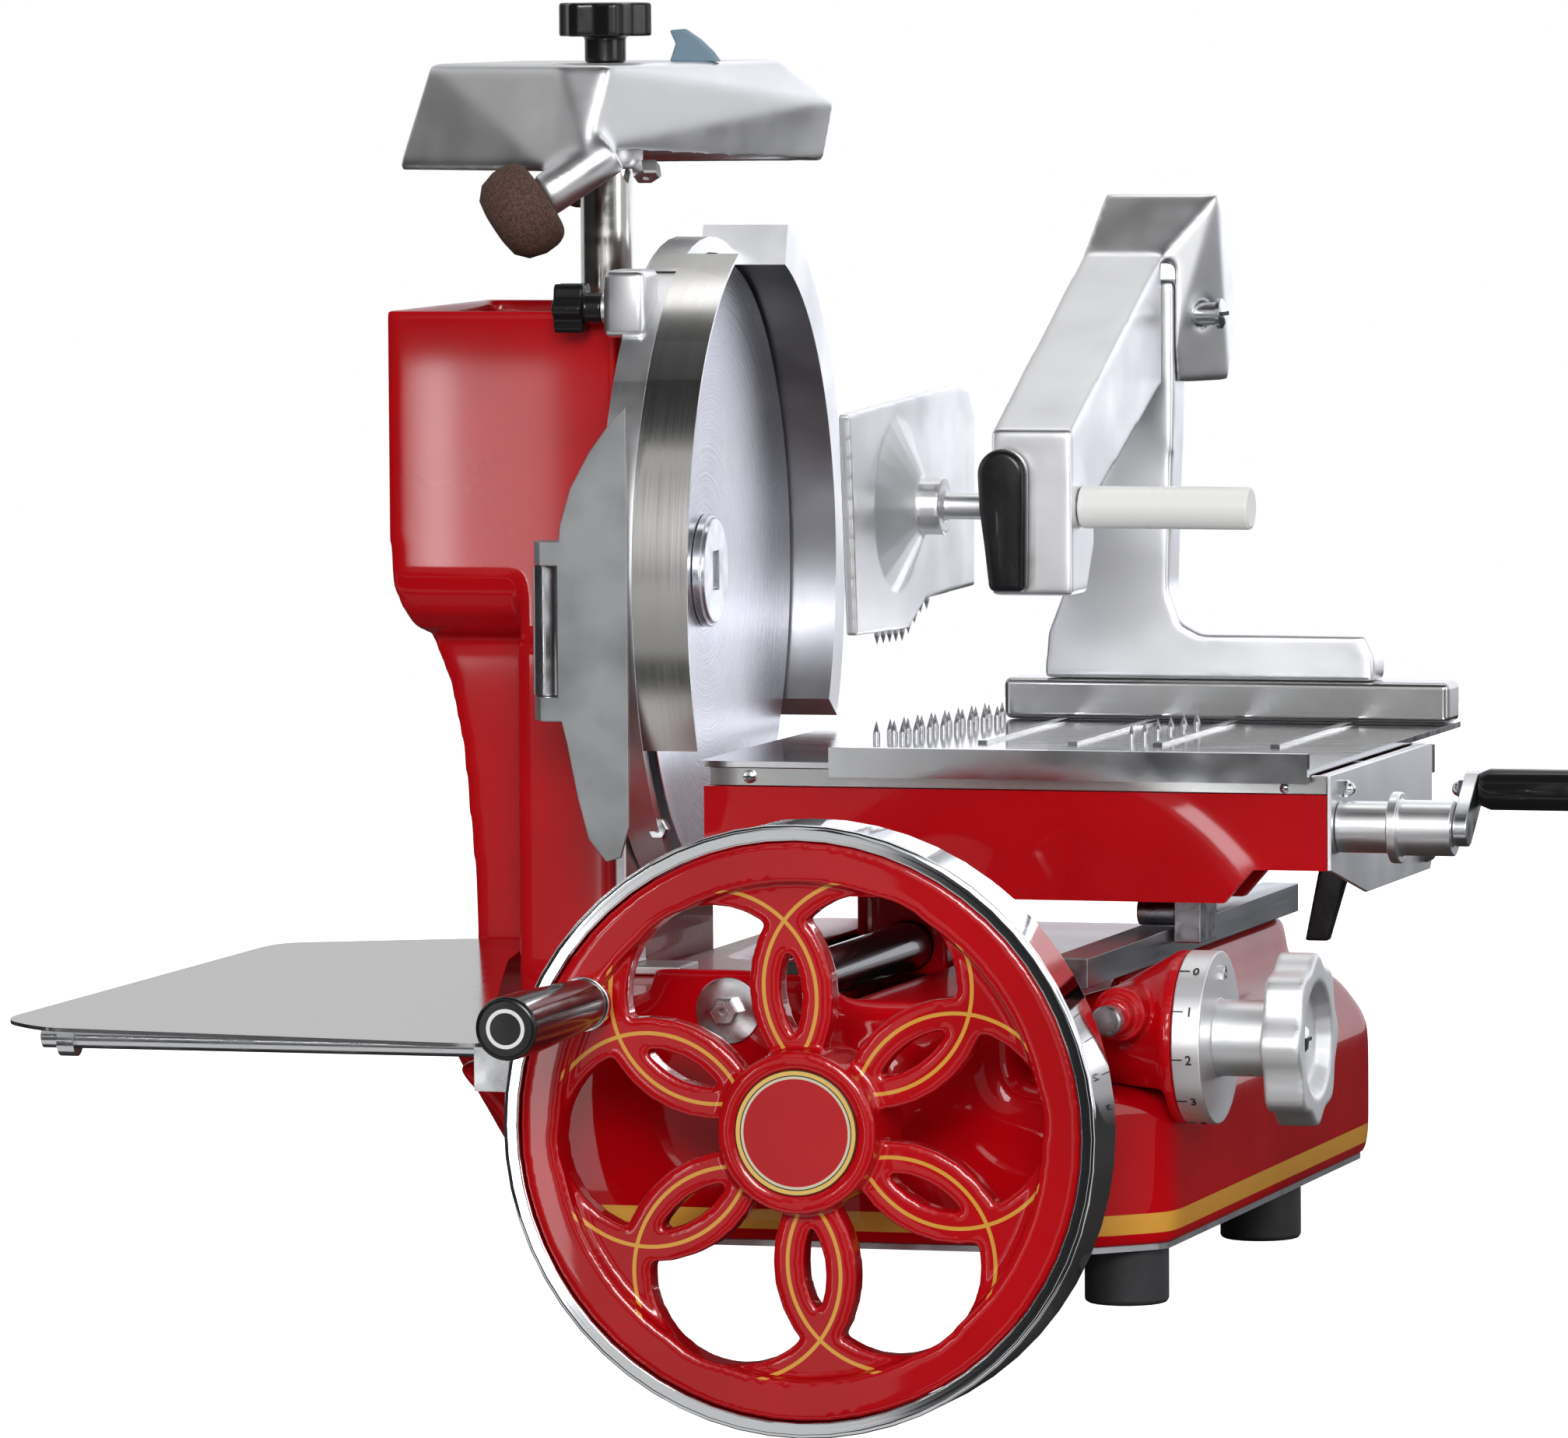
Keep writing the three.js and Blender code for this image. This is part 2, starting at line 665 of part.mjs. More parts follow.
function add(group, name, geometry, look) {
  const surface = geometry.index ? geometry.toNonIndexed() : geometry;
  surface.computeVertexNormals();
  const mesh = new THREE.Mesh(surface, new THREE.MeshStandardMaterial(look));
  mesh.name = name;
  group.add(mesh);
  return mesh;
}

// Feet: four turned rubber feet under the base.
const footProfile = [
  [0, 0],
  [FOOT_DIAMETER / 2 - FOOT_EDGE, 0],
  [FOOT_DIAMETER / 2, FOOT_EDGE],
  [FOOT_DIAMETER / 2, FOOT_HEIGHT],
  [0, FOOT_HEIGHT],
];
for (const [rowName, row] of [["front", -1], ["rear", 1]]) {
  for (const [sideName, side] of [["left", -1], ["right", 1]]) {
    const foot = turned("z", [0, 0, 0], footProfile, FACETS_SMALL);
    const mesh = add(part, `foot_${rowName}_${sideName}`, foot, RUBBER);
    mesh.position.set((side * FOOT_PITCH_X) / 2, (row * FOOT_PITCH_Y) / 2, 0);
  }
}

// Base: a steel cover plate under one hollow casting.
const coverBottom = FOOT_HEIGHT + GAP;
const baseBottom = coverBottom + COVER_THICKNESS + GAP;
const deckLeft = COLUMN_RIGHT + GAP;
const baseOutline = (inset) =>
  roundedOutline([
    [BASE_LEFT + inset, BASE_FRONT + inset, BASE_WALL],
    [BASE_RIGHT - BASE_CORNER - inset, BASE_FRONT + inset, BASE_WALL],
    [BASE_RIGHT - inset, BASE_FRONT + BASE_CORNER + inset, BASE_WALL],
    [BASE_RIGHT - inset, BASE_REAR - inset, BASE_WALL],
    [BASE_LEFT + inset, BASE_REAR - inset, BASE_WALL],
  ]);
add(
  part,
  "base_cover",
  plate("z", coverBottom, coverBottom + COVER_THICKNESS, baseOutline(COVER_INSET)),
  STEEL,
);

const deckSection = [
  [deckLeft, baseBottom],
  [BASE_RIGHT, baseBottom],
  [BASE_RIGHT, BASE_SIDE_Z],
  [BASE_BEVEL_X, BASE_BEVEL_Z],
  [BASE_DECK_RIGHT, BASE_DECK_Z],
  [deckLeft, BASE_DECK_Z],
];
const hollowSection = [
  [deckLeft + BASE_WALL, baseBottom - CUT],
  [BASE_RIGHT - BASE_WALL, baseBottom - CUT],
  [BASE_RIGHT - BASE_WALL, BASE_SIDE_Z - BASE_ROOF],
  [BASE_BEVEL_X - BASE_WALL, BASE_BEVEL_Z - BASE_ROOF - BASE_WALL],
  [BASE_DECK_RIGHT, BASE_DECK_Z - BASE_ROOF],
  [deckLeft + BASE_WALL, BASE_DECK_Z - BASE_ROOF],
];
const shoulderHollow = block(
  SHOULDER_LEFT - BASE_WALL,
  BASE_RIGHT,
  BASE_FRONT,
  SHOULDER_REAR + BASE_WALL,
  SHOULDER_Z - BASE_ROOF,
  BASE_DECK_Z,
);
const deckHollow = cut(
  overlap(
    plate("y", BASE_FRONT + BASE_WALL, BASE_REAR - BASE_WALL, hollowSection),
    plate("z", baseBottom - CUT, BASE_DECK_Z, baseOutline(BASE_WALL)),
  ),
  shoulderHollow,
);
const deckBody = overlap(
  plate("y", BASE_FRONT, BASE_REAR, deckSection),
  plate("z", baseBottom, BASE_DECK_Z, baseOutline(0)),
);
const frontWing = plate("y", BASE_FRONT, WING_SPLIT_Y + BASE_WALL, [
  [deckLeft + BASE_WALL / 2, WING_TOP_Z],
  [WING_FRONT_LEFT, WING_TOP_Z],
  [WING_FRONT_LEFT, WING_TOP_Z - WING_LIP],
  [WING_KNEE_X, WING_KNEE_Z],
  [BASE_LEFT, baseBottom],
  [deckLeft + BASE_WALL / 2, baseBottom],
]);
const rearWing = plate("y", WING_SPLIT_Y, WING_REAR_Y, [
  [deckLeft + BASE_WALL / 2, WING_TOP_Z],
  [WING_REAR_LEFT, WING_TOP_Z],
  [WING_REAR_LEFT, WING_TOP_Z - WING_LIP],
  [WING_REAR_KNEE_X, WING_REAR_KNEE_Z],
  [BASE_LEFT, baseBottom],
  [deckLeft + BASE_WALL / 2, baseBottom],
]);
const tiePlate = block(
  TIE_PLATE_LEFT,
  TIE_PLATE_RIGHT,
  BASE_FRONT,
  BASE_FRONT + TIE_PLATE_THICKNESS,
  BASE_DECK_Z - BASE_ROOF,
  TIE_PLATE_Z,
);
const guideLug = block(
  GUIDE_X - GUIDE_LUG_WIDTH / 2,
  GUIDE_X + GUIDE_LUG_WIDTH / 2,
  GUIDE_REAR - GUIDE_LUG_DEPTH,
  GUIDE_REAR,
  BASE_DECK_Z - BASE_ROOF,
  GUIDE_Z + GUIDE_DIAMETER,
);
const guideTrough = block(
  GUIDE_X - TROUGH_WIDTH / 2,
  GUIDE_X + TROUGH_WIDTH / 2,
  BASE_FRONT + TIE_PLATE_THICKNESS,
  GUIDE_REAR - GUIDE_LUG_DEPTH,
  BEARING_BLOCK_LOW_Z - DRIVE_SLOT_CLEAR,
  BASE_DECK_Z + CUT,
);
const railBottom = RAIL_TOP_Z - RAIL_HEIGHT;
const railFront = BASE_FRONT + GAP * 4;
const railRib = block(
  RAIL_X - RAIL_RIB_WIDTH / 2,
  RAIL_X + RAIL_RIB_WIDTH / 2,
  SHOULDER_REAR,
  RAIL_REAR,
  BASE_BEVEL_Z - BASE_ROOF / 2,
  railBottom - GAP,
);
const shoulderNotch = block(
  SHOULDER_LEFT,
  BASE_RIGHT + CUT,
  BASE_FRONT - CUT,
  SHOULDER_REAR,
  SHOULDER_Z,
  BASE_DECK_Z + CUT,
);
const driveSlot = block(
  DRIVE_LUG_X - DRIVE_SLOT_CLEAR,
  DRIVE_LUG_X + DRIVE_LUG_WIDTH + DRIVE_SLOT_CLEAR,
  DRIVE_LUG_FRONT - CARRIAGE_FORWARD - DRIVE_SLOT_CLEAR,
  DRIVE_LUG_FRONT + DRIVE_LUG_DEPTH + CARRIAGE_BACK + DRIVE_SLOT_CLEAR,
  BASE_DECK_Z - BASE_ROOF - CUT,
  BASE_DECK_Z + CUT,
);
const shaftBoss = bar(
  "y",
  [WHEEL_X, BASE_FRONT - SHAFT_BOSS_PROUD, WHEEL_Z],
  SHAFT_BOSS_PROUD + BASE_WALL * 3,
  SHAFT_BOSS_RADIUS,
);
const shaftWeb = block(
  WHEEL_X - SHAFT_BOSS_RADIUS,
  WHEEL_X + SHAFT_BOSS_RADIUS,
  SHAFT_WEB_Y,
  SHAFT_WEB_Y + WEB_THICKNESS,
  WHEEL_Z - SHAFT_BOSS_RADIUS,
  BASE_DECK_Z - BASE_ROOF / 2,
);
const shaftBore = bar(
  "y",
  [WHEEL_X, BASE_FRONT - SHAFT_BOSS_PROUD - CUT, WHEEL_Z],
  SHAFT_WEB_Y - BASE_FRONT + SHAFT_BOSS_PROUD + WEB_THICKNESS + 2 * CUT,
  SHAFT_DIAMETER / 2 + RUN,
);
const layWebs = [LAY_WEB_X, LAY_WEB_OUTER_X].map((x) =>
  block(
    x,
    x + WEB_THICKNESS,
    DRIVE_Y - LAY_WEB_HALF,
    DRIVE_Y + LAY_WEB_HALF,
    WHEEL_Z - SHAFT_BOSS_RADIUS,
    BASE_DECK_Z - BASE_ROOF / 2,
  ),
);
const layBore = bar(
  "x",
  [LAY_END_X - CUT, DRIVE_Y, WHEEL_Z],
  LAY_WEB_X - LAY_END_X + WEB_THICKNESS + 2 * CUT,
  LAY_DIAMETER / 2 + RUN,
);
const wellLeft = SPROCKET_X - CHAIN_WELL_WIDTH / 2;
const wellRight = SPROCKET_X + CHAIN_WELL_WIDTH / 2;
const chainWell = block(
  wellLeft,
  deckLeft + BASE_WALL + GAP,
  CHAIN_WELL_FRONT,
  CHAIN_WELL_REAR,
  baseBottom - CUT,
  WING_TOP_Z + CUT,
);
const baseShell = cut(
  join(deckBody, frontWing, rearWing, tiePlate, guideLug, railRib, shaftBoss),
  deckHollow,
  shoulderNotch,
);
const baseCasting = cut(
  join(baseShell, shaftWeb, ...layWebs),
  shaftBore,
  layBore,
  chainWell,
  guideTrough,
  driveSlot,
  bar(
    "y",
    [GUIDE_X, BASE_FRONT + TIE_PLATE_THICKNESS / 2, GUIDE_Z],
    GUIDE_REAR - BASE_FRONT,
    GUIDE_DIAMETER / 2 + GAP,
    FACETS_SMALL,
  ),
);
add(part, "base_casting", baseCasting, RED);

// Carriage ways: a black guide rod on the left, a ground flat rail on the right.
add(
  part,
  "guide_rod",
  bar(
    "y",
    [GUIDE_X, BASE_FRONT + TIE_PLATE_THICKNESS / 2 + GAP, GUIDE_Z],
    GUIDE_REAR - BASE_FRONT - TIE_PLATE_THICKNESS / 2 - GAP,
    GUIDE_DIAMETER / 2,
    FACETS_SMALL,
  ),
  BLACK,
);
add(
  part,
  "carriage_rail",
  block(
    RAIL_X - RAIL_WIDTH / 2,
    RAIL_X + RAIL_WIDTH / 2,
    railFront,
    RAIL_REAR,
    railBottom,
    RAIL_TOP_Z,
  ),
  DARK_STEEL,
);

// Column: the head is open at the top, and a well for the chain runs down the stem.
const columnBottom = WING_TOP_Z + GAP;
const columnLeft = COLUMN_RIGHT - COLUMN_WIDTH;
const columnRear = COLUMN_FRONT + COLUMN_DEPTH;
const columnHeight = COLUMN_TOP_Z - columnBottom;
const COLUMN_EDGE_SHARES = [
  [0.246, 0],
  [0.262, 0.13],
  [0.246, 0.23],
  [0.205, 0.383],
  [0.148, 0.478],
  [0.05, 0.56],
  [0.008, 0.62],
  [0, 0.676],
  [0, 1],
];
const columnOutline = [
  ...COLUMN_EDGE_SHARES.map(([across, up]) => [
    columnLeft + across * COLUMN_WIDTH,
    columnBottom + up * columnHeight,
  ]),
  [COLUMN_RIGHT, COLUMN_TOP_Z],
  [COLUMN_RIGHT, columnBottom],
];
const SHELF_SHARES = [
  [0, 1],
  [0.05, 0.72],
  [0.2, 0.4],
  [0.5, 0.14],
  [1, 0],
];
const shelfCut = plate("x", columnLeft - CUT, RIDGE_X, [
  [COLUMN_FRONT - CUT, SHELF_Z + SHELF_RISE],
  ...SHELF_SHARES.map(([back, up]) => [
    COLUMN_FRONT + back * SHELF_DEPTH,
    SHELF_Z + up * SHELF_RISE,
  ]),
  [COLUMN_FRONT + SHELF_DEPTH, columnBottom - CUT],
  [COLUMN_FRONT - CUT, columnBottom - CUT],
]);
const ridge = block(
  RIDGE_X,
  COLUMN_RIGHT,
  COLUMN_FRONT - RIDGE_FORWARD,
  COLUMN_FRONT + COLUMN_WALL,
  columnBottom,
  SHELF_Z,
);
const head = new THREE.Group();
head.position.set(BLADE_X, BLADE_Y, BLADE_Z);
head.rotation.z = TOE;
head.updateMatrixWorld(true);
const inHead = (geometry) => geometry.applyMatrix4(head.matrixWorld);
const bearingBore = inHead(
  bar("x", [-SPINDLE_TAIL, 0, 0], SPINDLE_TAIL, BEARING_RADIUS + GAP, FACETS),
);
const postSocket = bar(
  "z",
  [POST_X, POST_Y, COLUMN_FLOOR_Z - GAP],
  POST_SOCKET_DEPTH,
  POST_SOCKET_RADIUS,
  FACETS_SMALL,
);
const postBore = bar(
  "z",
  [POST_X, POST_Y, COLUMN_FLOOR_Z - GAP],
  POST_SOCKET_DEPTH + CUT,
  POST_DIAMETER / 2 + GAP,
  FACETS_SMALL,
);
const headHollow = block(
  columnLeft + COLUMN_WALL,
  COLUMN_RIGHT - COLUMN_WALL,
  COLUMN_FRONT + COLUMN_WALL,
  columnRear - COLUMN_WALL,
  COLUMN_FLOOR_Z,
  COLUMN_TOP_Z + CUT,
);
const stemWell = block(
  wellLeft,
  wellRight,
  CHAIN_WELL_FRONT,
  CHAIN_WELL_REAR,
  columnBottom - CUT,
  BLADE_Z + BEARING_RADIUS,
);
const columnShell = cut(
  join(plate("y", COLUMN_FRONT, columnRear, columnOutline), ridge),
  shelfCut,
  headHollow,
  stemWell,
  bearingBore,
);
const hingeArm = block(
  HINGE_X - HINGE_ARM_WIDTH / 2,
  HINGE_X + HINGE_ARM_WIDTH / 2,
  HINGE_Y,
  COLUMN_FRONT + COLUMN_WALL / 2,
  HINGE_PIN_BOTTOM_Z + HINGE_LUG_LENGTH + GAP,
  HINGE_PIN_TOP_Z - HINGE_LUG_LENGTH - GAP,
);
const hingeBarrel = bar(
  "z",
  [HINGE_X, HINGE_Y, HINGE_PIN_BOTTOM_Z + HINGE_LUG_LENGTH + GAP],
  HINGE_PIN_TOP_Z - HINGE_PIN_BOTTOM_Z - 2 * (HINGE_LUG_LENGTH + GAP),
  HINGE_BARREL_DIAMETER / 2,
  FACETS_SMALL,
);
const hingeBore = bar(
  "z",
  [HINGE_X, HINGE_Y, HINGE_PIN_BOTTOM_Z],
  HINGE_PIN_TOP_Z - HINGE_PIN_BOTTOM_Z,
  HINGE_PIN_DIAMETER / 2 + RUN,
  FACETS_TINY,
);
add(
  part,
  "column_casting",
  cut(join(columnShell, postSocket, hingeArm, hingeBarrel), postBore, hingeBore),
  RED,
);

// Flywheel: a red petal wheel in a chromed rim, turning on one long shaft.
const wheel = new THREE.Group();
wheel.position.set(WHEEL_X, 0, WHEEL_Z);
part.add(wheel);
const rimInner = RIM_RADIUS - RIM_WALL;
const faceY = WHEEL_FRONT + WHEEL_FACE_SETBACK;
const petalAt = (index) => {
  const angle = WHEEL_TURN + QUARTER + ((index + 0.5) / PETALS) * TURN;
  return [PETAL_CENTRE * Math.cos(angle), PETAL_CENTRE * Math.sin(angle)];
};
const petalDisc = (index, radius) => {
  const [x, z] = petalAt(index);
  return bar("y", [x, faceY - CUT, z], WHEEL_THICKNESS + 2 * CUT, radius, FACETS);
};
const wheelHub = bar("y", [0, faceY - HUB_PROUD, 0], HUB_LENGTH, HUB_RADIUS, FACETS);
const openings = [];
for (let i = 0; i < PETALS; i++) {
  const inner = PETAL_RADIUS - RIB_WIDTH / 2;
  const outer = PETAL_RADIUS + RIB_WIDTH / 2;
  openings.push(
    cut(petalDisc(i, inner), petalDisc(i + 1, outer), petalDisc(i - 1, outer), wheelHub),
    cut(overlap(petalDisc(i, inner), petalDisc(i + 1, inner)), wheelHub),
  );
}
const gripX = GRIP_RADIUS_AT * Math.cos(GRIP_ANGLE);
const gripZ = GRIP_RADIUS_AT * Math.sin(GRIP_ANGLE);
const wheelDisc = bar("y", [0, faceY, 0], WHEEL_THICKNESS, rimInner - GAP, FACETS_LARGE);
const ribRecess = bar("y", [0, faceY - CUT, 0], RIB_RECESS + CUT, WHEEL_WEB_RADIUS, FACETS_LARGE);
const redWheel = cut(
  join(cut(wheelDisc, ribRecess, ...openings), wheelHub),
  bar("y", [0, faceY - HUB_PROUD - CUT, 0], BADGE_RECESS + CUT, BADGE_RADIUS + GAP),
  bar(
    "y",
    [0, faceY - HUB_PROUD + HUB_LENGTH - SHAFT_SOCKET, 0],
    SHAFT_SOCKET + CUT,
    SHAFT_DIAMETER / 2 + GAP,
    FACETS_SMALL,
  ),
  bar("y", [gripX, faceY - CUT, gripZ], WHEEL_THICKNESS + 2 * CUT, GRIP_BORE / 2, FACETS_TINY),
);
add(wheel, "flywheel", redWheel, RED);
add(
  wheel,
  "flywheel_rim",
  cut(
    turned("y", [0, WHEEL_FRONT, 0], [
      [0, 0],
      [RIM_RADIUS - FOOT_EDGE, 0],
      [RIM_RADIUS, FOOT_EDGE],
      [RIM_RADIUS, RIM_WIDTH - FOOT_EDGE],
      [RIM_RADIUS - FOOT_EDGE, RIM_WIDTH],
      [0, RIM_WIDTH],
    ], FACETS_LARGE),
    bar("y", [0, WHEEL_FRONT - CUT, 0], RIM_WIDTH + 2 * CUT, rimInner, FACETS_LARGE),
  ),
  CHROME,
);
add(
  wheel,
  "flywheel_badge",
  bar(
    "y",
    [0, faceY - HUB_PROUD + BADGE_RECESS - BADGE_THICKNESS - GAP, 0],
    BADGE_THICKNESS,
    BADGE_RADIUS,
  ),
  RED,
);
const shaftFront = faceY - HUB_PROUD + HUB_LENGTH - SHAFT_SOCKET + GAP;
const bevelBack = DRIVE_Y - BEVEL_RADIUS;
const shaftRear = bevelBack - BEVEL_HUB_LENGTH - GAP;
add(
  wheel,
  "flywheel_shaft",
  join(
    bar("y", [0, shaftFront, 0], shaftRear - shaftFront, SHAFT_DIAMETER / 2, FACETS_SMALL),
    bar("y", [0, shaftRear - GAP, 0], BEVEL_HUB_LENGTH, LAY_DIAMETER / 2, FACETS_SMALL),
  ),
  STEEL,
);
const gripRoot = faceY - GAP;
add(
  wheel,
  "grip_spindle",
  join(
    bar("y", [gripX, gripRoot - GRIP_COLLAR, gripZ], GRIP_COLLAR, GRIP_COLLAR_DIAMETER / 2),
    bar(
      "y",
      [gripX, gripRoot - GRIP_COLLAR - GRIP_LENGTH * GRIP_SPINDLE_SHARE, gripZ],
      GRIP_COLLAR + GRIP_LENGTH * GRIP_SPINDLE_SHARE + WHEEL_THICKNESS,
      GRIP_BORE / 2 - RUN,
      FACETS_TINY,
    ),
  ),
  CHROME,
);
const gripBack = gripRoot - GRIP_COLLAR - GAP;
const gripProfile = [
  [0, 0],
  [GRIP_DIAMETER / 2 - FOOT_EDGE, 0],
  [GRIP_DIAMETER / 2, FOOT_EDGE],
  [GRIP_DIAMETER / 2, GRIP_LENGTH * GRIP_FULL_SHARE],
  [GRIP_ROOT_DIAMETER / 2, GRIP_LENGTH],
  [0, GRIP_LENGTH],
];
const gripBody = turned("y", [gripX, gripBack - GRIP_LENGTH, gripZ], gripProfile);
const gripHole = bar(
  "y",
  [gripX, gripBack - GRIP_LENGTH * GRIP_BORE_SHARE, gripZ],
  GRIP_LENGTH,
  GRIP_BORE / 2,
  FACETS_TINY,
);
add(wheel, "flywheel_grip", cut(gripBody, gripHole), BLACK);

// A straight bevel gear around local +Y. Its teeth shrink towards the apex.
function bevelGear(phase) {
  const pitch = TURN / BEVEL_TEETH;
  const outline = [];
  for (let i = 0; i < BEVEL_TEETH; i++) {
    const middle = (i + phase) * pitch;
    const root = BEVEL_RADIUS - BEVEL_DEDENDUM;
    const tip = BEVEL_RADIUS + BEVEL_ADDENDUM;
    const half = (pitch / 4) * BEVEL_BACKLASH_SHARE;
    const corners = [
      [root, -BEVEL_ROOT_SHARE],
      [tip, -BEVEL_TIP_SHARE],
      [tip, BEVEL_TIP_SHARE],
      [root, BEVEL_ROOT_SHARE],
    ];
    for (const [r, share] of corners) {
      const angle = middle + share * half;
      outline.push([r * Math.cos(angle), r * Math.sin(angle)]);
    }
  }
  const gear = plate("y", 0, BEVEL_FACE, outline);
  const points = gear.getAttribute("position");
  for (let i = 0; i < points.count; i++) {
    const scale = 1 - points.getY(i) / BEVEL_RADIUS;
    points.setX(i, points.getX(i) * scale);
    points.setZ(i, points.getZ(i) * scale);
  }
  const hub = bar("y", [0, -BEVEL_HUB_LENGTH, 0], BEVEL_HUB_LENGTH + BEVEL_FACE / 2, BEVEL_HUB_RADIUS);
  const bore = bar(
    "y",
    [0, -BEVEL_HUB_LENGTH - CUT, 0],
    BEVEL_HUB_LENGTH + CUT,
    LAY_DIAMETER / 2 + GAP,
    FACETS_SMALL,
  );
  return cut(join(gear, hub), bore);
}
const driveBevel = add(wheel, "drive_bevel_gear", bevelGear(0), STEEL);
driveBevel.position.y = bevelBack;

// Lay shaft across the base: bevel gear, collar, eccentric and the driving sprocket.
const layGroup = new THREE.Group();
layGroup.position.set(0, DRIVE_Y, WHEEL_Z);
part.add(layGroup);
const layBevelBack = WHEEL_X - BEVEL_RADIUS;
const layRight = layBevelBack - GAP;
const eccentricX = COLLAR_X - ECCENTRIC_LENGTH;
add(
  layGroup,
  "lay_shaft",
  join(
    bar("x", [LAY_END_X, 0, 0], layRight - LAY_END_X, LAY_DIAMETER / 2, FACETS_SMALL),
    bar("x", [COLLAR_X, 0, 0], COLLAR_THICKNESS, COLLAR_RADIUS),
    bar("x", [eccentricX, ECCENTRIC_THROW, 0], ECCENTRIC_LENGTH + GAP, ECCENTRIC_RADIUS, FACETS),
  ),
  STEEL,
);
const drivenBevel = add(layGroup, "driven_bevel_gear", bevelGear(BEVEL_PHASE_SHARE), STEEL);
drivenBevel.rotation.z = -QUARTER;
drivenBevel.position.x = layBevelBack;

// A toothed sprocket around X, thinner than the chain that wraps it.
const sprocketRadius = (teeth) => CHAIN_PITCH / (2 * Math.sin(Math.PI / teeth));
function sprocket(teeth, bore) {
  const radius = sprocketRadius(teeth);
  const outline = [];
  for (let i = 0; i < teeth; i++) {
    const middle = (i / teeth) * TURN;
    const quarter = TURN / teeth / 4;
    const corners = [
      [radius - TOOTH_DEPTH, -quarter],
      [radius, -quarter / 2],
      [radius, quarter / 2],
      [radius - TOOTH_DEPTH, quarter],
    ];
    for (const [r, a] of corners) {
      outline.push([r * Math.cos(middle + a), r * Math.sin(middle + a)]);
    }
  }
  const disc = plate("x", -SPROCKET_THICKNESS / 2, SPROCKET_THICKNESS / 2, outline);
  const hubRadius = Math.max(radius * SPROCKET_HUB_SHARE, bore + TOOTH_DEPTH / 2);
  const hub = bar("x", [SPROCKET_THICKNESS / 4, 0, 0], SPROCKET_HUB_LENGTH, hubRadius, FACETS_SMALL);
  const hole = bar("x", [-CUT, 0, 0], 2 * CUT + SPROCKET_HUB_LENGTH, bore, FACETS_SMALL);
  return cut(join(disc, hub), hole);
}
const driveSprocket = add(
  layGroup,
  "drive_sprocket",
  sprocket(DRIVE_SPROCKET_TEETH, LAY_DIAMETER / 2 + GAP),
  DARK_STEEL,
);
driveSprocket.position.x = SPROCKET_X;

// Connecting rod on the crank pin.
const rodX = eccentricX + (ECCENTRIC_LENGTH - ROD_THICKNESS) / 2;
const rodEnd = ECCENTRIC_THROW + ROD_LENGTH;
const rodPlate = (y, radius) => bar("x", [rodX, y, 0], ROD_THICKNESS, radius, FACETS);
const rodBore = (y, radius) => {
  return bar("x", [rodX - CUT, y, 0], ROD_THICKNESS + 2 * CUT, radius + RUN, FACETS);
};
add(
  layGroup,
  "connecting_rod",
  cut(
    join(
      rodPlate(ECCENTRIC_THROW, ECCENTRIC_RADIUS + RUN + STRAP_WALL),
      rodPlate(rodEnd, ROD_EYE_RADIUS),
      block(
        rodX,
        rodX + ROD_THICKNESS,
        ECCENTRIC_THROW,
        rodEnd,
        -ROD_WIDTH / 2,
        ROD_WIDTH / 2,
      ),
    ),
    rodBore(ECCENTRIC_THROW, ECCENTRIC_RADIUS),
    rodBore(rodEnd, ROD_PIN_DIAMETER / 2),
  ),
  STEEL,
);

// Blade head: blade, nut, spindle, sprocket and bearing, all on the toed axis.
part.add(head);
const dishBack = -BLADE_DISH_DEPTH;
const bladeProfile = [
  [SPINDLE_DIAMETER / 2 + GAP, dishBack],
  [BLADE_HUB_RADIUS, dishBack],
  [BLADE_DISH_RADIUS, -BLADE_BEVEL / 5],
  [BLADE_RADIUS, 0],
  [BLADE_RADIUS, -BLADE_THICKNESS / 4],
  [BLADE_DISH_RADIUS, -BLADE_BEVEL],
  [BLADE_HUB_RADIUS, dishBack - BLADE_THICKNESS],
  [SPINDLE_DIAMETER / 2 + GAP, dishBack - BLADE_THICKNESS],
  [SPINDLE_DIAMETER / 2 + GAP, dishBack],
];
add(head, "blade", turned("x", [0, 0, 0], bladeProfile.reverse(), FACETS_LARGE), CHROME);
const nutBack = dishBack + GAP;
const nutFace = nutBack + BLADE_DISH_DEPTH - NUT_FACE;
add(
  head,
  "blade_nut",
  cut(
    join(
      bar("x", [nutBack, 0, 0], nutFace - nutBack - NUT_STEP, NUT_RADIUS, FACETS),
      bar("x", [nutFace - NUT_STEP, 0, 0], NUT_STEP, NUT_RADIUS - NUT_STEP, FACETS),
    ),
    block(
      nutFace - NUT_SLOT_DEPTH,
      nutFace + CUT,
      -NUT_SLOT_WIDTH / 2,
      NUT_SLOT_WIDTH / 2,
      -NUT_SLOT_HEIGHT / 2,
      NUT_SLOT_HEIGHT / 2,
    ),
  ),
  STEEL,
);
const spindleFront = nutBack - GAP;
const shoulderX = -SPINDLE_SHOULDER;
add(
  head,
  "blade_spindle",
  join(
    bar("x", [shoulderX, 0, 0], spindleFront - shoulderX - GAP, SPINDLE_DIAMETER / 2, FACETS_SMALL),
    bar(
      "x",
      [-SPINDLE_TAIL, 0, 0],
      SPINDLE_TAIL - SPINDLE_SHOULDER,
      SPINDLE_TAIL_DIAMETER / 2,
      FACETS_SMALL,
    ),
  ),
  STEEL,
);
const bladeSprocketX = (SPROCKET_X - BLADE_X) / Math.cos(TOE);
const bladeSprocket = add(
  head,
  "blade_sprocket",
  sprocket(BLADE_SPROCKET_TEETH, SPINDLE_TAIL_DIAMETER / 2 + GAP),
  DARK_STEEL,
);
bladeSprocket.position.x = bladeSprocketX;
const bearingFront = -GUARD_BACK - GUARD_BACK_THICKNESS - GAP;
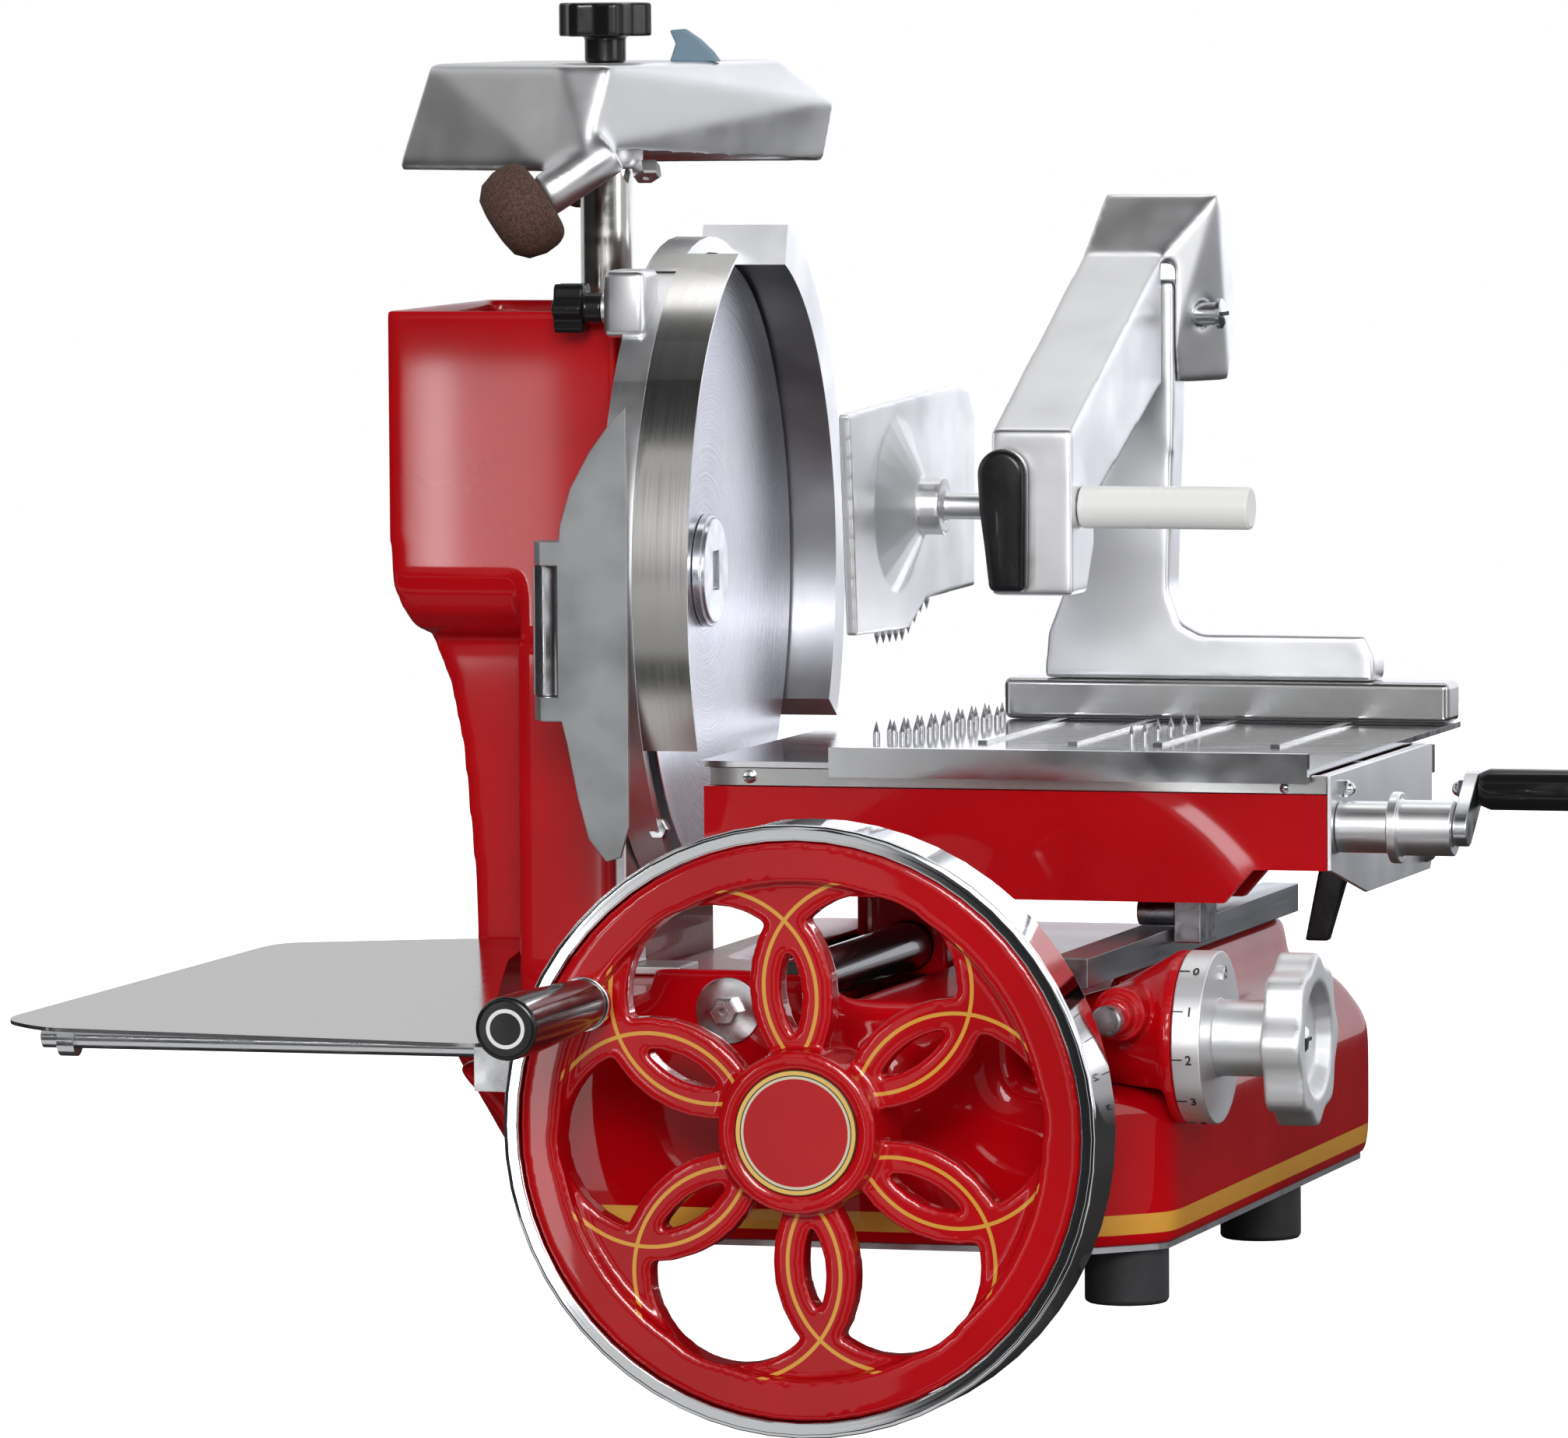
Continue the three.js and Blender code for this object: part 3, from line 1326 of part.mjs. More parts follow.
add(
  head,
  "blade_bearing",
  cut(
    join(
      bar("x", [bearingFront - BEARING_FLANGE, 0, 0], BEARING_FLANGE, BEARING_FLANGE_RADIUS, FACETS),
      bar(
        "x",
        [bearingFront - BEARING_FLANGE - BEARING_LENGTH, 0, 0],
        BEARING_LENGTH + GAP,
        BEARING_RADIUS,
        FACETS,
      ),
    ),
    bar("x", [-SPINDLE_TAIL - CUT, 0, 0], SPINDLE_TAIL + CUT, SPINDLE_DIAMETER / 2 + RUN, FACETS_SMALL),
  ),
  ALUMINIUM,
);

// Guard: a cast dish behind the blade with a thin near edge and a deep far wall.
const guardLeft = -GUARD_BACK - GUARD_BACK_THICKNESS;
const guardSteps = FACETS;
const guardFootAngle = Math.acos((GUARD_FOOT_Z - BLADE_Z) / GUARD_FAR_OUTER);
const bushY = -COVER_BUSH_AT * Math.sin(COVER_BUSH_ANGLE);
const bushZ = COVER_BUSH_AT * Math.cos(COVER_BUSH_ANGLE);
add(
  head,
  "guard_ring",
  cut(
    join(
      bar("x", [guardLeft, 0, 0], GUARD_BACK_THICKNESS, GUARD_OUTER, FACETS_LARGE),
      ringSector(
        guardLeft,
        GUARD_NEAR_X,
        GUARD_INNER,
        GUARD_OUTER,
        -GUARD_FAR_START,
        TURN / 2,
        guardSteps,
      ),
      ringSector(
        guardLeft,
        GUARD_FAR_X,
        GUARD_INNER,
        GUARD_FAR_OUTER,
        -GUARD_FAR_START,
        -guardFootAngle,
        guardSteps,
      ),
      bar(
        "x",
        [guardLeft - COVER_BUSH_LENGTH, bushY, bushZ],
        COVER_BUSH_LENGTH + GAP,
        COVER_BUSH_RADIUS,
        FACETS_SMALL,
      ),
    ),
    bar("x", [guardLeft - CUT, 0, 0], GUARD_BACK_THICKNESS + 2 * CUT, GUARD_BORE, FACETS),
    bar(
      "x",
      [guardLeft - COVER_BUSH_LENGTH - CUT, bushY, bushZ],
      COVER_BUSH_LENGTH + CUT,
      COVER_NECK_RADIUS / 2 + GAP,
      FACETS_TINY,
    ),
  ),
  ALUMINIUM,
);

// Blade cover: a bright band over the near edge, held by a lobed knob on a bushing.
add(
  head,
  "blade_cover_band",
  join(
    ringSector(
      BAND_LEFT,
      BAND_LEFT + BAND_WIDTH,
      BAND_RADIUS - BAND_THICKNESS,
      BAND_RADIUS,
      BAND_START,
      BAND_END,
      FACETS_SMALL,
    ),
    ringSector(
      BAND_LEFT - TAB_WIDTH,
      BAND_LEFT + GAP,
      BAND_RADIUS - BAND_THICKNESS,
      BAND_RADIUS,
      BAND_START,
      TAB_END,
      FACETS_TINY / 4,
    ),
  ),
  CHROME,
);
const coverNeckX = guardLeft - COVER_BUSH_LENGTH - GAP - COVER_NECK_LENGTH;
const coverKnobOutline = shifted(
  lobedOutline(COVER_KNOB_RADIUS, COVER_KNOB_LOBES, KNOB_LOBE_SHARE, FACETS + FACETS_TINY / 3),
  bushY,
  bushZ,
);
add(
  head,
  "cover_knob",
  join(
    plate("x", coverNeckX - COVER_KNOB_LENGTH, coverNeckX, coverKnobOutline),
    bar(
      "x",
      [coverNeckX - GAP, bushY, bushZ],
      COVER_NECK_LENGTH + GAP,
      COVER_NECK_RADIUS,
      FACETS_SMALL,
    ),
    bar(
      "x",
      [coverNeckX, bushY, bushZ],
      COVER_NECK_LENGTH + COVER_BUSH_LENGTH - GAP,
      COVER_NECK_RADIUS / 2,
      FACETS_TINY,
    ),
  ),
  BLACK,
);

// Drive chain: one closed band around both sprockets.
const bladeSprocketAt = new THREE.Vector3(bladeSprocketX, 0, 0).applyMatrix4(head.matrixWorld);
function chainLoop(grow, from, to) {
  const points = [];
  const ring = (y, z, radius) => {
    for (let i = 0; i < FACETS; i++) {
      const angle = (i / FACETS) * TURN;
      for (const x of [from, to]) {
        points.push([x, y + radius * Math.cos(angle), z + radius * Math.sin(angle)]);
      }
    }
  };
  ring(DRIVE_Y, WHEEL_Z, sprocketRadius(DRIVE_SPROCKET_TEETH) + grow);
  ring(bladeSprocketAt.y, bladeSprocketAt.z, sprocketRadius(BLADE_SPROCKET_TEETH) + grow);
  return hull(points);
}
add(
  part,
  "drive_chain",
  cut(
    chainLoop(
      CHAIN_SLACK + CHAIN_THICKNESS,
      SPROCKET_X - CHAIN_WIDTH / 2,
      SPROCKET_X + CHAIN_WIDTH / 2,
    ),
    chainLoop(CHAIN_SLACK, SPROCKET_X - CHAIN_WIDTH / 2 - CUT, SPROCKET_X + CHAIN_WIDTH / 2 + CUT),
  ),
  DARK_STEEL,
);

// Lower guard bracket: two angled plates that tie the guard to the base.
const bracketRear = BRACKET_FRONT + BRACKET_WIDTH;
const guardBackX =
  BLADE_X + guardLeft * Math.cos(TOE) - (bracketRear - BLADE_Y) * Math.sin(TOE) / Math.cos(TOE);
const bracketLeft = guardBackX - GAP - BRACKET_THICKNESS;
add(
  part,
  "guard_bracket",
  join(
    block(
      bracketLeft,
      bracketLeft + BRACKET_THICKNESS,
      BRACKET_FRONT,
      BRACKET_FRONT + BRACKET_WIDTH,
      BASE_DECK_Z + GAP,
      BRACKET_TOP_Z,
    ),
    block(
      bracketLeft,
      bracketLeft + BRACKET_WIDTH,
      BRACKET_FRONT,
      BRACKET_FRONT + BRACKET_WIDTH,
      BASE_DECK_Z + GAP,
      BRACKET_BOTTOM_Z,
    ),
  ),
  ALUMINIUM,
);

// Deflector: a curved-edge plate that swings on an upright pin.
const deflector = new THREE.Group();
deflector.position.set(HINGE_X, HINGE_Y, 0);
part.add(deflector);
const DEFLECTOR_SHARES = [
  [0.74, 0],
  [0.9, 0.01],
  [1, 0.08],
  [1, 1],
  [0.84, 0.97],
  [0.58, 0.9],
  [0.36, 0.82],
  [0.24, 0.74],
  [0.2, 0.66],
  [0.2, 0.34],
  [0.3, 0.26],
  [0.42, 0.14],
  [0.54, 0.05],
];
const deflectorHeight = DEFLECTOR_TOP_Z - DEFLECTOR_BOTTOM_Z;
const deflectorPlate = plate(
  "y",
  -DEFLECTOR_THICKNESS - DEFLECTOR_SETOFF,
  -DEFLECTOR_SETOFF,
  DEFLECTOR_SHARES.map(([across, up]) => [
    across * DEFLECTOR_WIDTH,
    DEFLECTOR_BOTTOM_Z + up * deflectorHeight,
  ]),
);
const hingeLugs = [HINGE_PIN_BOTTOM_Z, HINGE_PIN_TOP_Z - HINGE_LUG_LENGTH].map((z) =>
  join(
    bar("z", [0, 0, z], HINGE_LUG_LENGTH, HINGE_BARREL_DIAMETER / 2, FACETS_SMALL),
    block(
      0,
      DEFLECTOR_WIDTH * DEFLECTOR_ARM_SHARE,
      -DEFLECTOR_THICKNESS - DEFLECTOR_SETOFF,
      0,
      z,
      z + HINGE_LUG_LENGTH,
    ),
  ),
);
const hingePin = bar(
  "z",
  [0, 0, HINGE_PIN_BOTTOM_Z],
  HINGE_PIN_TOP_Z - HINGE_PIN_BOTTOM_Z,
  HINGE_PIN_DIAMETER / 2,
  FACETS_TINY,
);
add(deflector, "deflector", join(deflectorPlate, ...hingeLugs, hingePin), GREY_ALUMINIUM);

// Sharpener: a hood on the post carries two stones, a top knob and a small lever.
add(
  part,
  "sharpener_post",
  bar(
    "z",
    [POST_X, POST_Y, COLUMN_FLOOR_Z],
    POST_TOP_Z - COLUMN_FLOOR_Z,
    POST_DIAMETER / 2,
    FACETS_SMALL,
  ),
  STEEL,
);
const sharpener = new THREE.Group();
sharpener.position.set(POST_X, POST_Y, HOOD_BOTTOM_Z);
part.add(sharpener);
const HOOD_LOW_SHARES = [
  [-1, -0.32, 0],
  [-0.1, -0.95, 0],
  [0.12, -1, 0.2],
  [0.93, 0.96, 0.02],
  [0.7, 1.1, 0.02],
  [-0.82, 0.86, 0],
];
const HOOD_TOP_SHARES = [
  [-0.83, -0.32, 1],
  [-0.07, -0.78, 1],
  [0.2, -0.78, 1],
  [0.76, 0.74, 1],
  [0.55, 0.95, 1],
  [-0.7, 0.76, 1],
  [1, 0.96, 0.61],
];
function hood(inset) {
  const place = ([across, back, up]) => [
    across * ((across < 0 ? HOOD_LEFT : HOOD_RIGHT) - inset),
    back * ((back < 0 ? HOOD_FRONT : HOOD_REAR) - inset),
    up * (HOOD_HEIGHT - inset) - (inset > 0 && up < 0.5 ? CUT : 0),
  ];
  return hull([...HOOD_LOW_SHARES, ...HOOD_TOP_SHARES].map(place));
}
const stoneTilt = new THREE.Vector3(...STONE_TILT_SHARES).normalize();
const honeTilt = new THREE.Vector3(...HONE_TILT_SHARES).normalize();
function onSpoke(geometry, direction, from) {
  const turn = new THREE.Quaternion().setFromUnitVectors(new THREE.Vector3(0, 1, 0), direction);
  return geometry.applyQuaternion(turn).translate(...from);
}
const stoneRoot = [STONE_ARM_RADIUS * 1.5, STONE_ARM_RADIUS - HOOD_FRONT, HOOD_HEIGHT / 8];
const honeRoot = [-STONE_RADIUS / 2, HOOD_SLEEVE_RADIUS, HOOD_HEIGHT / 5];
const hoodShell = cut(hood(0), hood(HOOD_WALL));
const sleeve = bar("z", [0, 0, 0], HOOD_HEIGHT - HOOD_WALL / 2, HOOD_SLEEVE_RADIUS, FACETS_SMALL);
const sleeveBore = bar(
  "z",
  [0, 0, -CUT],
  POST_TOP_Z - HOOD_BOTTOM_Z + CUT + GAP,
  POST_DIAMETER / 2 + RUN,
  FACETS_SMALL,
);
function stoneMount(reach, radius, thickness, direction, root) {
  const arm = bar("y", [0, -CUT, 0], reach + CUT, radius, FACETS_SMALL);
  const length = reach + thickness * STONE_BORE_SHARE;
  const spindle = bar("y", [0, 0, 0], length, STONE_SPINDLE_RADIUS, FACETS_TINY);
  return onSpoke(join(arm, spindle), direction, root);
}
const stoneArm = stoneMount(STONE_REACH, STONE_ARM_RADIUS, STONE_THICKNESS, stoneTilt, stoneRoot);
const honeArm = stoneMount(HONE_REACH, HONE_ARM_RADIUS, HONE_THICKNESS, honeTilt, honeRoot);
const knobBore = bar(
  "z",
  [0, 0, HOOD_HEIGHT - HOOD_WALL * 2],
  HOOD_WALL * 2 + CUT,
  TOP_STUD_RADIUS + GAP,
  FACETS_TINY,
);
add(
  sharpener,
  "sharpener_hood",
  cut(join(hoodShell, sleeve, stoneArm, honeArm), sleeveBore, knobBore),
  ALUMINIUM,
);
const STONE_SHARES = [
  [0, 0],
  [0.8, 0],
  [0.98, 0.18],
  [1, 0.5],
  [0.9, 0.78],
  [0.66, 0.96],
  [0.4, 1],
  [0, 1],
];
function stone(radius, thickness, reach, direction, root) {
  const back = reach + GAP;
  const profile = STONE_SHARES.map(([r, h]) => [r * radius, h * thickness]);
  const bore = bar(
    "y",
    [0, reach - CUT, 0],
    CUT + thickness * STONE_BORE_SHARE + GAP,
    STONE_SPINDLE_RADIUS + RUN,
    FACETS_TINY,
  );
  return onSpoke(cut(turned("y", [0, back, 0], profile, FACETS_SMALL), bore), direction, root);
}
add(
  sharpener,
  "grinding_stone",
  stone(STONE_RADIUS, STONE_THICKNESS, STONE_REACH, stoneTilt, stoneRoot),
  STONE,
);
add(
  sharpener,
  "honing_stone",
  stone(HONE_RADIUS, HONE_THICKNESS, HONE_REACH, honeTilt, honeRoot),
  STONE,
);
const knobBase = HOOD_HEIGHT + GAP;
add(
  sharpener,
  "sharpener_knob",
  join(
    bar(
      "z",
      [0, 0, HOOD_HEIGHT - HOOD_WALL * 1.5],
      HOOD_WALL * 1.5 + TOP_NECK_LENGTH,
      TOP_STUD_RADIUS,
      FACETS_TINY,
    ),
    bar("z", [0, 0, knobBase], TOP_NECK_LENGTH, TOP_NECK_RADIUS, FACETS_SMALL),
    plate(
      "z",
      knobBase + TOP_NECK_LENGTH - GAP,
      knobBase + TOP_NECK_LENGTH + TOP_KNOB_LENGTH,
      lobedOutline(TOP_KNOB_RADIUS, COVER_KNOB_LOBES, KNOB_LOBE_SHARE, FACETS + FACETS_TINY / 3),
    ),
  ),
  BLACK,
);
const FIN_SHARES = [
  [0, 0],
  [1, 0],
  [0.86, 0.3],
  [0.62, 0.66],
  [0.3, 1],
  [0, 0.96],
  [0.12, 0.55],
];
const finLeft = FIN_X - FIN_LENGTH / 2;
const finBottom = HOOD_BOTTOM_Z + HOOD_HEIGHT + GAP;
add(
  part,
  "sharpener_lever",
  plate(
    "y",
    FIN_Y - FIN_THICKNESS / 2,
    FIN_Y + FIN_THICKNESS / 2,
    FIN_SHARES.map(([across, up]) => [finLeft + across * FIN_LENGTH, finBottom + up * FIN_HEIGHT]),
  ),
  BLUE_GREY,
);

// Receiving tray: a thin tapered plate that slopes to the operator, on a rod.
const tray = new THREE.Group();
tray.position.set(0, 0, TRAY_Z);
tray.rotation.x = TRAY_SLOPE;
part.add(tray);
const trayWidth = TRAY_RIGHT - TRAY_LEFT;
const trayDepth = (TRAY_FAR_Y - TRAY_NEAR_Y) / Math.cos(TRAY_SLOPE);
const trayNear = TRAY_NEAR_Y / Math.cos(TRAY_SLOPE);
const TRAY_SHARES = [
  [0, 0.13],
  [0.1, 0.06],
  [0.94, 0],
  [1, 0],
  [0.83, 0.8],
  [0.83, 1],
  [0.69, 1],
  [0.32, 0.92],
];
add(
  tray,
  "receiving_tray",
  plate(
    "z",
    0,
    TRAY_THICKNESS,
    roundedOutline(
      TRAY_SHARES.map(([across, back]) => [
        TRAY_LEFT + across * trayWidth,
        trayNear + back * trayDepth,
        TRAY_CORNER * (across < 0.5 ? TRAY_LEFT_CORNER_SHARE : TRAY_RIGHT_CORNER_SHARE),
      ]),
    ),
  ),
  STEEL,
);
const trayRodDrop = (TRAY_ROD_DIAMETER / 2 + GAP) / Math.cos(TRAY_SLOPE);
const trayRodZ = TRAY_Z + TRAY_ROD_Y * Math.tan(TRAY_SLOPE) - trayRodDrop;
const trayClipZ = trayRodZ - (TRAY_CLIP_DIAMETER - TRAY_ROD_DIAMETER) / 2;
add(
  part,
  "tray_rod",
  join(
    bar(
      "x",
      [TRAY_ROD_LEFT, TRAY_ROD_Y, trayRodZ],
      TRAY_ROD_RIGHT - TRAY_ROD_LEFT,
      TRAY_ROD_DIAMETER / 2,
      FACETS_SMALL,
    ),
    bar(
      "x",
      [TRAY_ROD_LEFT + TRAY_CLIP_LENGTH, TRAY_ROD_Y, trayClipZ],
      TRAY_CLIP_LENGTH,
      TRAY_CLIP_DIAMETER / 2,
      FACETS_SMALL,
    ),
    block(
      TRAY_ROD_RIGHT - GAP,
      TRAY_ROD_RIGHT + TRAY_BLOCK_WIDTH,
      TRAY_ROD_Y - TRAY_BLOCK_DEPTH / 4,
      BASE_FRONT - GAP,
      trayRodZ - TRAY_BLOCK_HEIGHT,
      trayRodZ,
    ),
  ),
  STEEL,
);

// Carriage: red side panels under a steel trim, on a bearing block and a roller.
const carriageRear = CARRIAGE_FRONT + CARRIAGE_DEPTH;
const carriageOutline = [
  [CARRIAGE_LEFT, CARRIAGE_BOTTOM_Z],
  [CARRIAGE_STEP_X - CARRIAGE_STEP_RUN, CARRIAGE_BOTTOM_Z],
  [CARRIAGE_STEP_X, CARRIAGE_STEP_Z],
  [CARRIAGE_RIGHT, CARRIAGE_STEP_Z],
  [CARRIAGE_RIGHT, CARRIAGE_TOP_Z],
  [CARRIAGE_LEFT, CARRIAGE_TOP_Z],
];
const screwBore = bar(
  "x",
  [CARRIAGE_LEFT - CUT, CRANK_Y, CRANK_Z],
  CARRIAGE_RIGHT - CARRIAGE_LEFT + 2 * CUT,
  FEED_SCREW_DIAMETER / 2 + RUN,
  FACETS_SMALL,
);
const nutWindow = block(
  NUT_LUG_X - TABLE_TRAVEL_IN - NUT_LUG_WIDTH,
  NUT_LUG_X + NUT_LUG_WIDTH * 2 + TABLE_TRAVEL_OUT,
  CRANK_Y - NUT_LUG_WIDTH / 2 - GAP * 4,
  CRANK_Y + NUT_LUG_WIDTH / 2 + GAP * 4,
  CARRIAGE_TOP_Z - CARRIAGE_DECK - CUT,
  CARRIAGE_TOP_Z + CUT,
);
add(
  part,
  "carriage_frame",
  cut(
    plate("y", CARRIAGE_FRONT, carriageRear, carriageOutline),
    block(
      CARRIAGE_LEFT + CARRIAGE_WALL,
      CARRIAGE_RIGHT - CARRIAGE_WALL,
      CARRIAGE_FRONT + CARRIAGE_WALL,
      CARRIAGE_WEB_FRONT,
      CARRIAGE_BOTTOM_Z - CUT,
      CARRIAGE_TOP_Z - CARRIAGE_DECK,
    ),
    block(
      CARRIAGE_LEFT + CARRIAGE_WALL,
      CARRIAGE_RIGHT - CARRIAGE_WALL,
      CARRIAGE_WEB_FRONT + CARRIAGE_WEB,
      carriageRear - CARRIAGE_WALL,
      CARRIAGE_BOTTOM_Z - CUT,
      CARRIAGE_TOP_Z - CARRIAGE_DECK,
    ),
    screwBore,
    nutWindow,
  ),
  RED,
);
const trimBottom = CARRIAGE_TOP_Z + GAP;
const trimTop = trimBottom + TRIM_HEIGHT;
add(
  part,
  "carriage_trim",
  cut(
    block(
      CARRIAGE_LEFT + COVER_THICKNESS,
      CARRIAGE_RIGHT,
      CARRIAGE_FRONT,
      carriageRear,
      trimBottom,
      trimTop,
    ),
    block(
      CARRIAGE_LEFT + COVER_THICKNESS + CARRIAGE_WALL,
      CARRIAGE_RIGHT - CARRIAGE_WALL,
      CARRIAGE_FRONT + CARRIAGE_WALL,
      carriageRear - CARRIAGE_WALL,
      trimBottom - CUT,
      trimTop + CUT,
    ),
  ),
  STEEL,
);
const sideX = CARRIAGE_RIGHT + GAP;
add(
  part,
  "carriage_side_plate",
  cut(
    plate("x", sideX, sideX + SIDE_PLATE_THICKNESS, [
      [CARRIAGE_FRONT, CARRIAGE_STEP_Z],
      [CARRIAGE_FRONT + SIDE_PLATE_BEVEL, CARRIAGE_BOTTOM_Z],
      [carriageRear - CARRIAGE_WALL, CARRIAGE_BOTTOM_Z],
      [carriageRear, CARRIAGE_BOTTOM_Z + CARRIAGE_WALL],
      [carriageRear, trimTop],
      [CARRIAGE_FRONT, trimTop],
    ]),
    bar(
      "x",
      [sideX - CUT, CRANK_Y, CRANK_Z],
      SIDE_PLATE_THICKNESS + 2 * CUT,
      FEED_SCREW_DIAMETER / 2 + RUN,
      FACETS_SMALL,
    ),
  ),
  STEEL,
);
const blockRear = BEARING_BLOCK_FRONT + BEARING_BLOCK_DEPTH;
const blockTop = CARRIAGE_BOTTOM_Z - GAP;
add(
  part,
  "carriage_bearing",
  cut(
    join(
      block(
        GUIDE_X - BEARING_BLOCK_WIDTH / 2,
        GUIDE_X + BEARING_BLOCK_WIDTH / 2,
        BEARING_BLOCK_FRONT,
        blockRear,
        BEARING_BLOCK_LOW_Z,
        blockTop,
      ),
      block(
        CARRIAGE_LEFT,
        GUIDE_X,
        BEARING_BLOCK_FRONT,
        blockRear,
        blockTop - WEB_THICKNESS,
        blockTop,
      ),
      block(
        DRIVE_LUG_X,
        DRIVE_LUG_X + DRIVE_LUG_WIDTH,
        BEARING_BLOCK_FRONT,
        DRIVE_LUG_FRONT + DRIVE_LUG_DEPTH,
        blockTop - WEB_THICKNESS,
        blockTop,
      ),
      block(
        DRIVE_LUG_X,
        DRIVE_LUG_X + DRIVE_LUG_WIDTH,
        DRIVE_LUG_FRONT,
        DRIVE_LUG_FRONT + DRIVE_LUG_DEPTH,
        DRIVE_LUG_LOW_Z,
        blockTop,
      ),
    ),
    bar(
      "y",
      [GUIDE_X, BEARING_BLOCK_FRONT - CUT, GUIDE_Z],
      BEARING_BLOCK_DEPTH + 2 * CUT,
      GUIDE_DIAMETER / 2 + RUN,
      FACETS_SMALL,
    ),
  ),
  RED,
);
const rollerTop = RAIL_TOP_Z + GAP + 2 * ROLLER_RADIUS;
add(
  part,
  "roller_bracket",
  join(
    block(
      ROLLER_BRACKET_X,
      ROLLER_BRACKET_X + ROLLER_BRACKET_WIDTH,
      ROLLER_BRACKET_FRONT,
      ROLLER_BRACKET_FRONT + ROLLER_BRACKET_DEPTH,
      ROLLER_BRACKET_LOW_Z,
      blockTop,
    ),
    bar(
      "x",
      [
        RAIL_X - RAIL_WIDTH / 2,
        ROLLER_BRACKET_FRONT + ROLLER_BRACKET_DEPTH / 2,
        rollerTop - ROLLER_RADIUS,
      ],
      ROLLER_BRACKET_X - RAIL_X + RAIL_WIDTH / 2 + GAP,
      ROLLER_RADIUS,
      FACETS_SMALL,
    ),
  ),
  DARK_STEEL,
);
const releaseRight = CARRIAGE_RIGHT - CARRIAGE_WALL - GAP;
const releaseLeft = releaseRight - RELEASE_WIDTH;
add(
  part,
  "release_lever",
  plate("y", RELEASE_Y, RELEASE_Y + RELEASE_THICKNESS, [
    [releaseLeft, RELEASE_TOP_Z],
    [releaseLeft - RELEASE_WIDTH / 2, RELEASE_TOP_Z - RELEASE_DROP],
    [releaseLeft + RELEASE_WIDTH / 4, RELEASE_TOP_Z - RELEASE_DROP],
    [releaseRight, RELEASE_TOP_Z],
    [releaseRight, RELEASE_TOP_Z + RELEASE_WIDTH],
    [releaseLeft, RELEASE_TOP_Z + RELEASE_WIDTH],
  ]),
  BLACK,
);

// Feed table: a ribbed plate with a front lip and spikes, moved by a nut on the screw.
const tableBottom = TABLE_Z - TABLE_THICKNESS;
const spikes = SPIKE_ROWS_X.flatMap((x, row) =>
  Array.from({ length: SPIKE_COUNTS[row] }, (_, i) =>
    bar(
      "z",
      [x + i * SPIKE_LEAN, SPIKE_FRONT + (i + (row % 2) / 2) * SPIKE_PITCH, TABLE_Z - SPIKE_SINK],
      SPIKE_HEIGHT + SPIKE_SINK,
      SPIKE_RADIUS,
      6,
      SPIKE_RADIUS / 8,
    ),
  ),
);
const ribs = TABLE_RIBS_X.map((x) =>
  block(
    x - RIB_BREADTH / 2,
    x + RIB_BREADTH / 2,
    TABLE_RIB_FRONT,
    TABLE_RIB_REAR,
    TABLE_Z - SPIKE_SINK,
    TABLE_Z + RIB_HEIGHT,
  ),
);
const feedNut = cut(
  block(
    NUT_LUG_X,
    NUT_LUG_X + NUT_LUG_WIDTH,
    CRANK_Y - NUT_LUG_WIDTH / 2,
    CRANK_Y + NUT_LUG_WIDTH / 2,
    TABLE_Z - NUT_LUG_DROP - NUT_LUG_WIDTH / 4,
    tableBottom + GAP,
  ),
  bar(
    "x",
    [NUT_LUG_X - CUT, CRANK_Y, CRANK_Z],
    NUT_LUG_WIDTH + 2 * CUT,
    FEED_SCREW_DIAMETER / 2 + RUN,
    FACETS_SMALL,
  ),
);
add(
  part,
  "feed_table",
  join(
    block(TABLE_LEFT, TABLE_RIGHT, TABLE_FRONT, TABLE_REAR, tableBottom, TABLE_Z),
    block(
      LIP_LEFT,
      TABLE_RIGHT,
      TABLE_FRONT - LIP_THICKNESS,
      TABLE_FRONT + TABLE_SKIRT_CLEAR,
      LIP_TOP_Z - LIP_HEIGHT,
      LIP_TOP_Z,
    ),
    feedNut,
    ...ribs,
    ...spikes,
  ),
  STEEL,
);
add(
  part,
  "back_fence",
  block(FENCE_LEFT, TABLE_RIGHT, FENCE_FRONT, FENCE_FRONT + FENCE_DEPTH, TABLE_Z + GAP, FENCE_TOP_Z),
  STEEL,
);
const barrelLeft = sideX + SIDE_PLATE_THICKNESS + GAP;
const barrelRight = barrelLeft + BARREL_LENGTH + BARREL_RIDGE_LENGTH + BARREL_NOSE_LENGTH;
add(
  part,
  "crank_barrel",
  cut(
    join(
      bar("x", [barrelLeft, CRANK_Y, CRANK_Z], BARREL_LENGTH + GAP, BARREL_RADIUS, FACETS_SMALL),
      bar(
        "x",
        [barrelLeft + BARREL_LENGTH, CRANK_Y, CRANK_Z],
        BARREL_RIDGE_LENGTH,
        BARREL_RIDGE_RADIUS,
        FACETS_SMALL,
      ),
      bar(
        "x",
        [barrelLeft + BARREL_LENGTH + BARREL_RIDGE_LENGTH - GAP, CRANK_Y, CRANK_Z],
        BARREL_NOSE_LENGTH + GAP,
        BARREL_NOSE_RADIUS,
        FACETS_SMALL,
      ),
    ),
    bar(
      "x",
      [barrelLeft - CUT, CRANK_Y, CRANK_Z],
      barrelRight - barrelLeft + 2 * CUT,
      FEED_SCREW_DIAMETER / 2 + RUN,
      FACETS_SMALL,
    ),
  ),
  STEEL,
);
const armLeft = barrelRight + GAP;
add(
  part,
  "feed_screw",
  bar(
    "x",
    [FEED_SCREW_LEFT, CRANK_Y, CRANK_Z],
    armLeft - GAP - FEED_SCREW_LEFT,
    FEED_SCREW_DIAMETER / 2,
    FACETS_SMALL,
  ),
  STEEL,
);
const throwY = ARM_THROW * Math.cos(ARM_ANGLE);
const throwZ = ARM_THROW * Math.sin(ARM_ANGLE);
